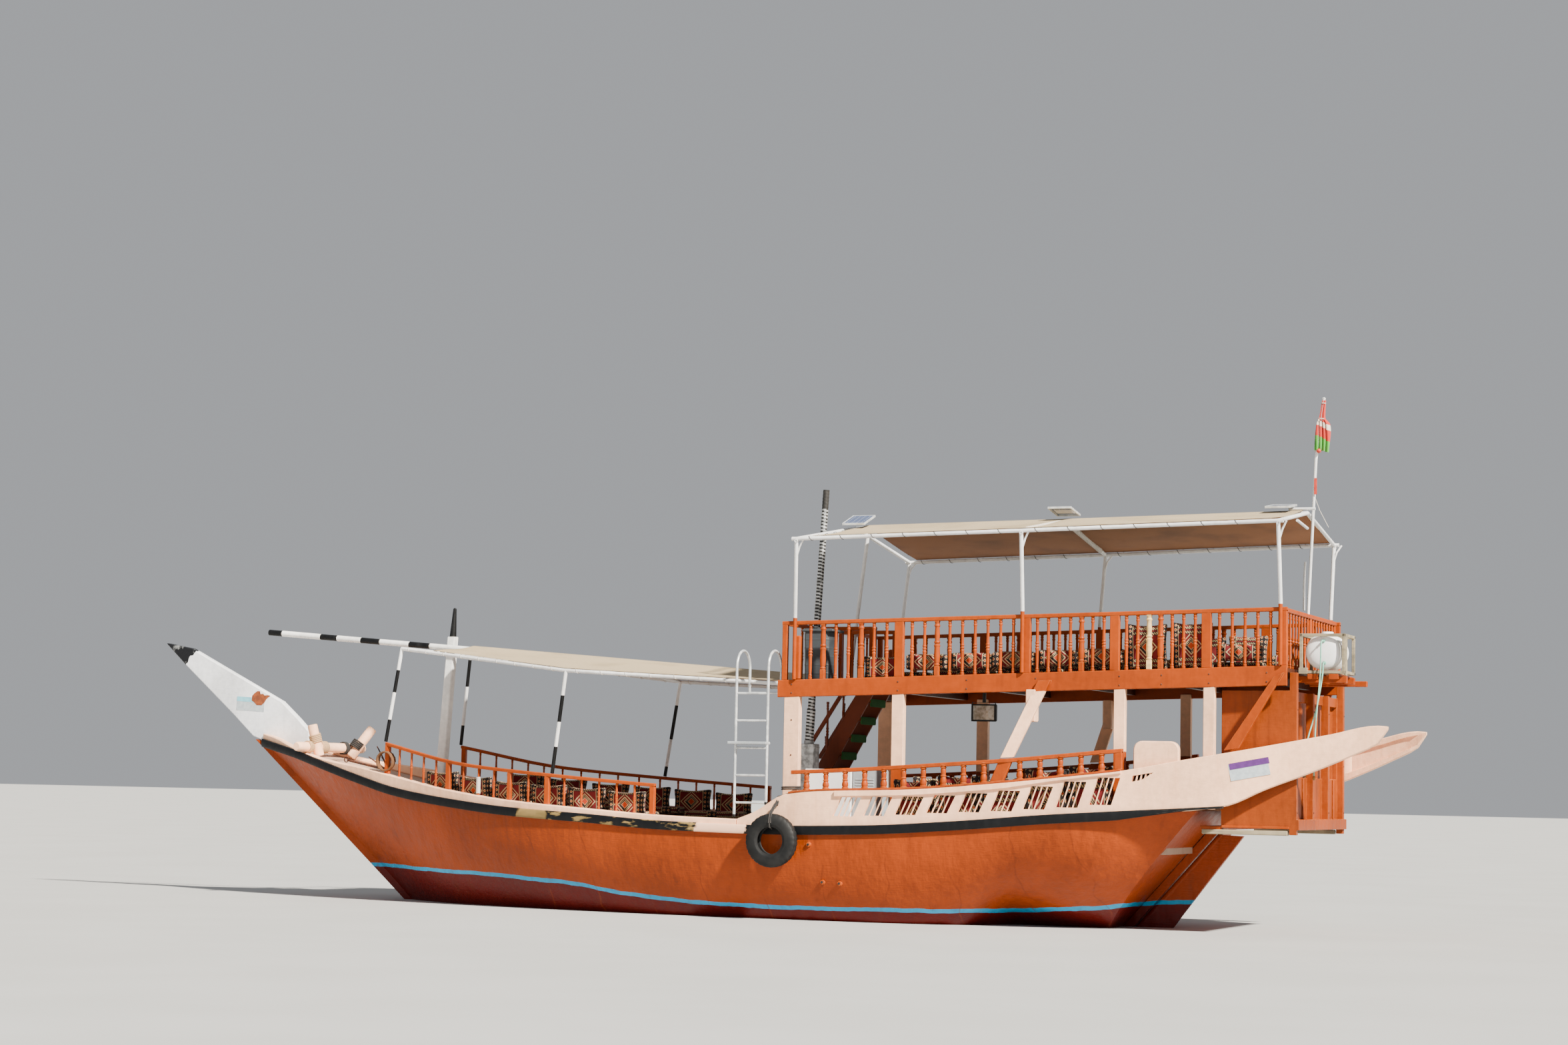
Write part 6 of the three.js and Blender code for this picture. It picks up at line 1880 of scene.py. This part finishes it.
def exhaust():
    """Square duct below, lagged pipe above with a wound wrap that is smoke-black at the top."""
    piece = Piece()
    box(piece, (0.84, 1.06), (-1.0, -0.8), (WELL_FLOOR + GAP, 2.26), 0, 0.006)
    for z in (1.3, 1.75, 2.2):
        box(piece, (0.836, 1.064), (-1.004, -0.796), (z, z + 0.022), 0, 0.004)
    low, high = Vector(EXHAUST["low"]), Vector(EXHAUST["high"])
    turns, sides = 76, 20
    along = (high - low).normalized()
    across, up = square_to(along)
    rings, finishes = [], []
    steps = turns * 4
    for i in range(steps + 1):
        share = i / steps
        centre = low.lerp(high, share)
        ring = []
        for k in range(sides):
            t = 2 * math.pi * k / sides
            wrap = (share * turns + k / sides) % 1.0
            size = EXHAUST["radius"] * (1.18 if share < 0.14 else 1 - 0.14 * share) * (0.93 + 0.08 * wrap)
            ring.append(centre + (across * math.cos(t) + up * math.sin(t)) * size)
            if i:
                # Black at the top is smoke; the dark low band of each turn is part smoke-black, part painted
                # shade
                finishes.append(1 if share > 0.925 or wrap < 0.4 else 0)
        rings.append(ring)
    piece.skin(rings, finishes + [1, 1])
    collar = [(0, 0.062), (0.1, 0.066), (0.8, 0.066), (1, 0.056)]
    turned(piece, low - along * 0.02, low + along * 0.06, collar, 24)
    make("exhaust_lagged", piece, [FOIL, SOOT_AND_PAINTED_SHADE], replaces=["exhaust"])


# Flag

POLE_Y = 0.12
POLE = [(7.3, POLE_Y, 3.246), (7.33, POLE_Y, 4.04), (7.42, POLE_Y, 5.98), (7.52, POLE_Y, 6.75)]
# Gathered flag round the pole's head: height, reach fore and aft of the pole, half depth
FLAG = [
    (6.07, 0.06, 0.155, 0.034), (6.29, 0.075, 0.145, 0.04), (6.43, 0.07, 0.12, 0.038),
    (6.52, 0.034, 0.045, 0.026), (6.735, 0.026, 0.028, 0.022),
]
FOLDS = 4.1


def flag():
    piece, foot = Piece(), FLAG[0][0]
    tube(piece, POLE, 0.019, sides=16)
    turned(piece, POLE[-1], (7.524, POLE_Y, 6.775), [(0, 0.019), (0.5, 0.024), (1, 0.006)], 16)
    tube(piece, [(7.259, 0.19, 4.06), (7.259, 0.19, 4.38), (7.272, 0.19, 4.68)], 0.014, sides=12)
    make("flag_pole_round", piece, [PIPE_WHITE], replaces=["flag_pole"])
    fore, aft, deep = (flowing([(row[0], row[i]) for row in FLAG]) for i in (1, 2, 3))
    pole_x = flowing([(z, x) for x, _, z in POLE[2:]])
    levels, across = spaced(foot, FLAG[-1][0], 34), spaced(0, 1, 72)
    sheet, spots = [[], []], []
    for z in levels:
        v = (z - foot) / (FLAG[-1][0] - foot)
        for u in across:
            sway = math.sin(z * 9 + u * 2) * 0.1
            fold = math.sin(2 * math.pi * (u * FOLDS + 0.12 * math.sin(z * 7)))
            along = u * 0.86 + 0.07 * (math.cos(2 * math.pi * u * FOLDS) + 1)
            x = pole_x(z) - fore(z) + (fore(z) + aft(z)) * along
            y = POLE_Y + deep(z) * (fold * 0.86 + sway)
            drop = 0.03 * math.sin(2.3 * u + 1) * (1 - v)
            for lift, layer in zip((-0.0012, 0.0012), sheet):
                layer.append((x, y + lift, z + drop))
            spots.append((u, v))
    cloth = Piece()
    cloth.sheet(sheet, spots, len(levels), len(across))
    obj = make("flag_furled", cloth, [FLAG_CLOTH], replaces=["flag"], smooth=80)
    ties = Piece()
    for z, radius in ((6.09, 0.024), (6.5, 0.045), (6.7, 0.03)):
        tube(ties, coil((pole_x(z), POLE_Y, z), (0.13, 0, 1), radius, 2.2, 0.008), 0.003, sides=6)
    # Line from the pole down to the canopy, with a scrap of cloth
    low = Vector((7.584, POLE_Y, 5.11))
    tube(ties, [(7.4, POLE_Y, 5.52), (7.47, POLE_Y, 5.33), low], 0.004, sides=6)
    make("flag_ties", ties, [ROPE_WHITE])
    scrap = Piece()
    box(scrap, (7.405, 7.44), (0.085, 0.09), (5.53, 5.74), 0, 0.002)
    knot = [(0, 0.004), (0.2, 0.024), (0.5, 0.032), (0.8, 0.024), (1, 0.004)]
    turned(scrap, (7.466, 0.075, 6.055), (7.466, 0.075, 6.115), knot, 14)
    make("flag_scraps", scrap, [BUTTON_RED])


# Boarding ladder, tyre and what hangs on the side

LADDER = {"x": (0.39, 0.83), "y": -2.04, "hoop": 0.215, "low": (1.3, 1.462), "bend": 3.22, "foot": 2.88}


def ladder():
    piece = Piece()
    y, hoop, bend, foot = (LADDER[k] for k in ("y", "hoop", "bend", "foot"))
    for x, low in zip(LADDER["x"], LADDER["low"]):
        arc = [(x, y + hoop * (1 - math.cos(a)), bend + hoop * math.sin(a)) for a in spaced(0, math.pi, 19)]
        tube(piece, [(x, y, low), (x, y, 2.2)] + arc + [(x, y + 2 * hoop, foot)], 0.0175, 0, 18)
        shoe = [(0, 0.019), (0.2, 0.021), (0.9, 0.021), (1, 0.018)]
        turned(piece, (x, y, low - 0.004), (x, y, low + 0.03), shoe, 16, 1)
    for i in range(5):
        z = 1.48 + 0.35 * i
        rod(piece, *((x, y, z) for x in LADDER["x"]), 0.0135)
    rod(piece, *((x, y + 2 * hoop, foot + 0.02) for x in LADDER["x"]), 0.0135)
    box(piece, (0.31, 0.85), (y - 0.09, y + 0.06), (2.225, 2.26), 2, 0.006)
    make("boarding_ladder", piece, [STEEL, RUBBER, PALE_GREY], replaces=["ladder"])


TYRE = {"x": 1.01, "y": -2.262, "z": 1.01, "outer": 0.34, "inner": 0.168, "half": 0.085}


def tyre():
    """Tyre with worn tread blocks, and the rope it hangs on."""
    piece, steps = Piece(), 120
    r0, r1, h = TYRE["inner"], TYRE["outer"], TYRE["half"]
    rings = []
    for k in range(steps):
        angle = 2 * math.pi * k / steps
        block = 0.0 if k % 4 else 0.007
        tread = [
            (r1 - 0.012 - block, -0.72), (r1 - 0.003 - block, -0.52), (r1 - 0.008, -0.3),
            (r1 - block / 2, -0.26), (r1, -0.06), (r1 - 0.008, -0.03),
        ]
        tread += [(r, -w) for r, w in reversed(tread)]
        side = [
            (r1 - 0.05, 0.92), (r1 - 0.09, 0.99), (r0 + 0.055, 0.93), (r0 + 0.04, 0.95), (r0 + 0.03, 0.86),
            (r0 + 0.004, 0.72),
        ]
        inner = [(r0 + 0.003, 0.6), (r0 + 0.018, 0.45), (r0 + 0.08, 0.5), (r0 + 0.12, 0.3)]
        inner += [(r, -w) for r, w in reversed(inner)]
        outline = tread + side + inner + [(r, -w) for r, w in reversed(side)]
        rings.append([(TYRE["x"] + r * math.cos(angle), TYRE["y"] + w * h, TYRE["z"] + r * math.sin(angle))
                      for r, w in outline])
    piece.skin(rings, loop=True)
    make("tyre_round", piece, [RUBBER], replaces=["tyre_fender"], smooth=50)
    ropes = Piece()
    top = TYRE["z"] + r1
    y, hull_y, rail = TYRE["y"], -(half_breadth(1.0) + 0.006), bulwark_top(1.0)
    loop = [
        (1.0, y - 0.09, top - 0.12), (1.0, y - 0.06, top), (1.0, hull_y - 0.03, top + 0.12),
        (1.0, hull_y, rail - 0.1), (1.01, hull_y + 0.06, rail + 0.012), (1.03, hull_y + 0.12, rail + 0.02),
    ]
    under = [
        (1.01, y + dy, top - drop)
        for dy, drop in ((-0.09, 0.12), (-0.08, 0.17), (0, 0.19), (0.08, 0.16), (0.085, 0.06))
    ]
    post = (1.055, -(deck_half(1.16) - 0.055), bulwark_top(1.05) + 0.1)
    tube(ropes, loop, 0.011, sides=10)
    tube(ropes, [(px + 0.022, py + 0.004, pz) for px, py, pz in loop], 0.011, sides=10)
    tube(ropes, under, 0.011, sides=10)
    tube(ropes, coil(post, (0, 0, 1), 0.122, 2.4, 0.024), 0.011)
    make("tyre_rope", ropes, [ROPE_DARK])


def side_fittings():
    """Outlets through the planking, and the bare plate on the wing."""
    piece = Piece()
    for x, z in ((1.46, 0.97), (1.62, 0.5), (1.85, 0.49)):
        share = (z - keel_z(x)) / (hull_top(x) - keel_z(x))
        y = -hull_half(x) * (1 - (1 - share) ** bulge(x)) ** rounding(x)
        lip = [(0, 0.036), (0.4, 0.036), (0.5, 0.032), (0.94, 0.028), (1, 0.02)]
        turned(piece, (x, y + 0.02, z), (x, y - 0.024, z), lip, 20)
        # Dark plug inside each outlet: painted shade standing for its open bore
        turned(piece, (x, y - 0.01, z), (x, y - 0.03, z), [(0, 0.016), (1, 0.015)], 14, 1)
    make("hull_outlets", piece, [ORANGE_PAINT, SOOT_AND_PAINTED_SHADE])
    plates = Piece()
    ends = [(x, -(half_breadth(x) - 0.02) - 0.002, z) for x, z in ((6.762, 1.972), (7.228, 2.065))]
    bar(plates, *ends, 0.003, 0.215, 0, chamfer=0.0005)
    tops = [(x, y - 0.0015, z + 0.068) for x, y, z in ends]
    bar(plates, *tops, 0.003, 0.076, 1, chamfer=0.0005)
    make("wing_plate", plates, [PLATE_GREY, PLATE_PURPLE])


# Lights, panels and cabinets

PANEL = {"long": 0.32, "wide": 0.435, "thick": 0.028}
# Middle and tilt in degrees
PANELS = {
    "solar_panel": ((1.365, -0.295, 5.262), 19.4),
    "solar_panel_mid": ((4.155, -0.09, 5.352), -8.0),
    "solar_panel_aft": ((7.02, -0.09, 5.37), 8.0),
}


def solar_panels():
    """Cells under glass in a bright frame."""
    half_long, half_wide, thick = PANEL["long"] / 2, PANEL["wide"] / 2, PANEL["thick"]
    along, side_run, end_run = Vector((half_long, 0, 0)), half_wide - 0.008, half_wide - 0.016
    for name, (centre, tilt) in PANELS.items():
        piece = Piece()
        across = Vector((0, math.cos(math.radians(tilt)), math.sin(math.radians(tilt))))
        up = Vector((0, -across.z, across.y))
        middle = Vector(centre)
        for s in (-1, 1):
            edge = middle + across * s * side_run
            bar(piece, edge - along, edge + along, 0.016, thick, 1, across, 0.002)
            end = middle + Vector((s * (half_long - 0.008), 0, 0))
            bar(piece, end - across * end_run, end + across * end_run, thick, 0.016, 1, up, 0.002)
        corners = [
            middle + Vector((i * (half_long - 0.014), 0, 0)) + across * j * (half_wide - 0.014) + up * lift
            for lift in (0.004, 0.011) for i, j in ((-1, -1), (1, -1), (1, 1), (-1, 1))
        ]
        flat = [(i * half_long, j * half_wide) for i, j in ((-1, -1), (1, -1), (1, 1), (-1, 1))]
        sides = [(a, (a + 1) % 4, (a + 1) % 4 + 4, a + 4) for a in range(4)]
        piece.add(corners, [(3, 2, 1, 0), (4, 5, 6, 7)] + sides, [0] * 6, flat + flat)
        replaced = [name] if name in frame["nodes"] else []
        make(f"{name}_framed", piece, [SOLAR, STEEL], replaces=replaced)


def floodlight():
    """Lamp under the deck that looks to port, its glass in a dark frame and its fins behind."""
    piece = Piece()
    wide, rim, inside = (2.9, 3.24), (-0.045, -0.028), (2.62, 2.81)
    box(piece, wide, (-0.03, 0.03), (2.6, 2.83), chamfer=0.012)
    for i in range(11):
        x = 2.93 + 0.028 * i
        box(piece, (x, x + 0.006), (0.028, 0.045), inside, chamfer=0.001)
    for z in (2.6, 2.808):
        box(piece, wide, rim, (z, z + 0.022), chamfer=0.004)
    for x in (2.9, 3.216):
        box(piece, (x, x + 0.024), rim, inside, chamfer=0.004)
    box(piece, (2.922, 3.218), (-0.036, -0.029), inside, 1, 0.002)
    for x in (2.905, 3.225):
        bar(piece, (x, -0.01, 2.72), (x, -0.01, 2.85), 0.025, 0.006, chamfer=0.001)
    bar(piece, (2.9, -0.01, 2.85), (3.24, -0.01, 2.85), 0.025, 0.006, chamfer=0.001)
    box(piece, (3.05, 3.09), (-0.03, 0.01), (2.85, deck_top(3.05) - 0.052), chamfer=0.003)
    make("floodlight_finned", piece, [BLACK_METAL, LAMP_GLASS], replaces=["floodlight"])


def lockers():
    """Dark bin at the front of the upper deck, and the white cabinet by the stair."""
    piece = Piece()
    low, high = deck_top(1.43) + 0.002, 3.7

    def stack(levels):
        rings = [(z, planed(0.34 * size, 0.38 * size, 0.03)) for z, size in levels]
        piece.skin([[(1.26 + x, -1.31 + y, z) for x, y in ring] for z, ring in rings])

    stack([(low, 0.92), (low + 0.01, 0.94), (high - 0.01, 1.0), (high + 0.002, 1.0)])
    for i in range(5):
        z = low + 0.1 + i * 0.11
        size = 0.952 + 0.06 * (z - low) / (high - low)
        stack([(z, size - 0.01), (z + 0.004, size), (z + 0.02, size), (z + 0.024, size - 0.01)])
    box(piece, (1.07, 1.5), (-1.52, -1.1), (3.702, 3.735), 0, 0.012)
    box(piece, (1.1, 1.46), (-1.49, -1.13), (3.733, 3.745), 0, 0.005)
    make("deck_bin_ribbed", piece, [GREY_PLASTIC], replaces=["deck_bin"])
    piece = Piece()
    floor = WELL_FLOOR + GAP
    box(piece, (1.18, 1.83), (-1.6, -1.18), (floor + 0.04, 1.93), 0, 0.01)
    box(piece, (1.2, 1.81), (-1.58, -1.2), (floor, floor + 0.045), 2, 0.004)
    box(piece, (1.835, 2.18), (-1.6, -1.18), (floor, 1.93), 1, 0.012)
    for x0, x1 in ((1.195, 1.5), (1.51, 1.815)):
        box(piece, (x0, x1), (-1.608, -1.595), (floor + 0.06, 1.9), 0, 0.004)
        middle = x1 - 0.035 if x0 < 1.3 else x0 + 0.035
        box(piece, (middle - 0.01, middle + 0.01), (-1.622, -1.607), (1.45, 1.58), 2, 0.003)
    for i in range(6):
        z = 1.62 + i * 0.035
        box(piece, (1.88, 2.13), (-1.606, -1.598), (z, z + 0.014), 1, 0.003)
    make("cabinet_doors", piece, [WHITE_PLASTIC, PALE_GREY, GREY_PLASTIC], replaces=["cabinet"])


HELM = {"x": 4.7, "z": 1.65, "wheel": 0.27}


def steering():
    """Wheel with turned handles, on the console's aft face."""
    piece = Piece()
    x, z, r = HELM["x"] + 0.3, HELM["z"], HELM["wheel"]
    rim = circle(Vector((x, 0, z)), Vector((0, 1, 0)), Vector((0, 0, 1)), r * 0.93, 64)
    tube(piece, rim, 0.016, 0, 12, loop=True)
    handle = [
        (0, 0.02), (0.1, 0.02), (0.2, 0.012), (0.45, 0.013), (0.6, 0.01), (0.7, 0.017), (0.74, 0.02),
        (0.8, 0.012), (0.9, 0.011), (0.95, 0.015), (0.99, 0.012), (1, 0.006),
    ]
    for k in range(6):
        a = math.pi * k / 3
        turned(piece, (x, 0, z), (x, (r + 0.015) * math.cos(a), z + (r + 0.015) * math.sin(a)), handle, 12)
    hub = [(0, 0.03), (0.3, 0.03), (0.4, 0.045), (0.9, 0.045), (1, 0.03)]
    turned(piece, (x - 0.06, 0, z), (x + 0.034, 0, z), hub, 24, 1)
    make("wheel_spoked", piece, [VARNISHED, BRASS], "steering_wheel", replaces=["steering_wheel"])
    piece = Piece()
    box(piece, (4.7, 4.9), (-0.17, 0.17), (WELL_FLOOR + GAP, 1.48), 0, 0.012)
    box(piece, (4.66, 4.93), (-0.23, 0.23), (1.47, 1.82), 0, 0.014)
    box(piece, (4.69, 4.9), (-0.2, 0.2), (1.815, 1.832), 1, 0.006)
    turned(piece, (4.79, 0, 1.83), (4.79, 0, 1.87), [(0, 0.07), (0.5, 0.075), (0.8, 0.06), (1, 0.03)], 24, 2)
    for y in (-0.14, 0.14):
        turned(piece, (4.925, y, 1.74), (4.94, y, 1.74), [(0, 0.04), (0.7, 0.04), (1, 0.034)], 24, 2)
    rod(piece, (4.9, 0.19, 1.5), (4.938, 0.2, 1.59), 0.008, 1)
    knob = [(0, 0.008), (0.3, 0.016), (0.7, 0.016), (1, 0.006)]
    turned(piece, (4.935, 0.2, 1.585), (4.948, 0.2, 1.615), knob, 14, 2)
    make("helm_console", piece, [BROWN_PAINT, ORANGE_PAINT, BLACK_METAL], replaces=["helm"])


CABIN = {"x": (6.6, 7.45), "half": 1.43}
DOOR = {"inner": 0.358, "outer": 1.042, "z": (1.508, 2.852), "x": (6.598, 6.622)}


def cabin():
    """Doors of framed boards, and the battens, planks and bolts on the cabin's outside."""
    for name, side in SIDES.items():
        piece = Piece()
        ys = sorted((side * DOOR["inner"], side * DOOR["outer"]))
        (x0, x1), (z0, z1) = DOOR["x"], DOOR["z"]
        box(piece, (x0 + 0.006, x1), ys, (z0, z1), 0, 0.003)
        for low, high in ((z0, z0 + 0.12), (2.12, 2.22), (z1 - 0.1, z1)):
            box(piece, (x0, x0 + 0.01), (ys[0] + 0.001, ys[1] - 0.001), (low, high), 0, 0.003)
        for low, high in ((ys[0], ys[0] + 0.09), (ys[1] - 0.09, ys[1])):
            box(piece, (x0 + 0.0005, x0 + 0.011), (low, high), (z0, z1), 0, 0.003)
        y = side * (DOOR["inner"] + 0.045)
        rod(piece, (x0 - 0.022, y, 2.06), (x0 - 0.022, y, 2.18), 0.007, 1)
        for z in (2.07, 2.17):
            rod(piece, (x0 - 0.022, y, z), (x0 + 0.004, y, z), 0.006, 1)
        for z in (1.65, 2.7):
            x, y = x0 - 0.004, side * (DOOR["outer"] - 0.004)
            pin = [(0, 0.004), (0.03, 0.006), (0.97, 0.006), (1, 0.004)]
            turned(piece, (x, y, z), (x, y, z + 0.1), pin, 10, 1)
        door = f"cabin_door_{name}"
        make(f"door_framed_{name}", piece, [BROWN_PAINT, BRASS], door, replaces=[door])
    trim, half = Piece(), CABIN["half"]
    for side in SIDES.values():
        box(trim, (6.36, 7.42), (side * (half - 0.1), side * (half + 0.012)), (1.222, 1.28), 1, 0.008)
        box(trim, (6.61, 7.44), (side * half, side * (half + 0.014)), (1.304, 1.332), 0, 0.004)
        heads = [(7.532, side * y, z) for y in (1.385, 0.45) for z in (1.5, 2.1, 2.75)]
        bolts(trim, [(head, (1, 0, 0)) for head in heads], 0.01, 2)
        for y in (0.75, 1.05):
            box(trim, (7.452, 7.466), (side * y - 0.012, side * y + 0.012), (1.424, 1.925), 0, 0.004)
    make("cabin_trim", trim, [ORANGE_PAINT, WEATHERED, RUSTY])


def deck_things():
    """Carpet and lamps of the upper deck."""
    piece = Piece()
    for side in SIDES.values():
        strip(piece, side, places(1.85, 7.2, 0.6), lambda x: soft_rectangle(
            0.12, deck_half(x) - 0.72, deck_top(x) + 0.001, deck_top(x) + 0.007, 0.002))
    make("deck_carpet", piece, [CARPET])
    lights = Piece()
    for x, y in ((1.95, -0.7), (4.5, 0.5), (6.0, -0.5)):
        z = deck_top(x) - 0.075
        rod(lights, (x, y - 0.3, z), (x, y + 0.3, z), 0.014)
        for end in (y - 0.31, y + 0.31):
            xs, ys, zs = (x - 0.016, x + 0.016), (end - 0.012, end + 0.012), (z - 0.018, z + 0.022)
            box(lights, xs, ys, zs, 1, 0.003)
    make("deck_lamps", lights, [WHITE_PLASTIC, PALE_GREY])


def closed_in_pieces():
    """Pieces that keep their own form with eased edges."""
    softened("keel", HULL_PAINT, 0.012)
    softened("rudder", HULL_PAINT, 0.012, "rudder")
    softened("prow", PROW_PAINT, 0.016)
    # The upper deck's darker brown is painted shade for its shaded underside
    softened("upper_deck", BROWN_WITH_PAINTED_SHADE, 0.006)
    softened("stern_cabin", CABIN_PAINT, 0.007)
    softened("engine", ENGINE_GREEN, 0.02)
    softened("engine_hatch", DECK_PAINT, 0.008, "engine_hatch")
    softened("propeller", BRONZE, 0.003, "propeller")


camera()
studio()
hoses()
hull()
for boat_side, sign in SIDES.items():
    rub_band(sign, boat_side)
    gunwale(sign, boat_side)
    bulwark(sign, boat_side)
    deck_frame(sign, boat_side)
bow()
anchor()
rails()
cross_rails()
stair()
mast_and_boom()
fore_canopy_frame()
upper_canopy_frame()
canopies()
seats()
tank()
exhaust()
flag()
ladder()
tyre()
side_fittings()
solar_panels()
floodlight()
lockers()
steering()
cabin()
deck_things()
closed_in_pieces()
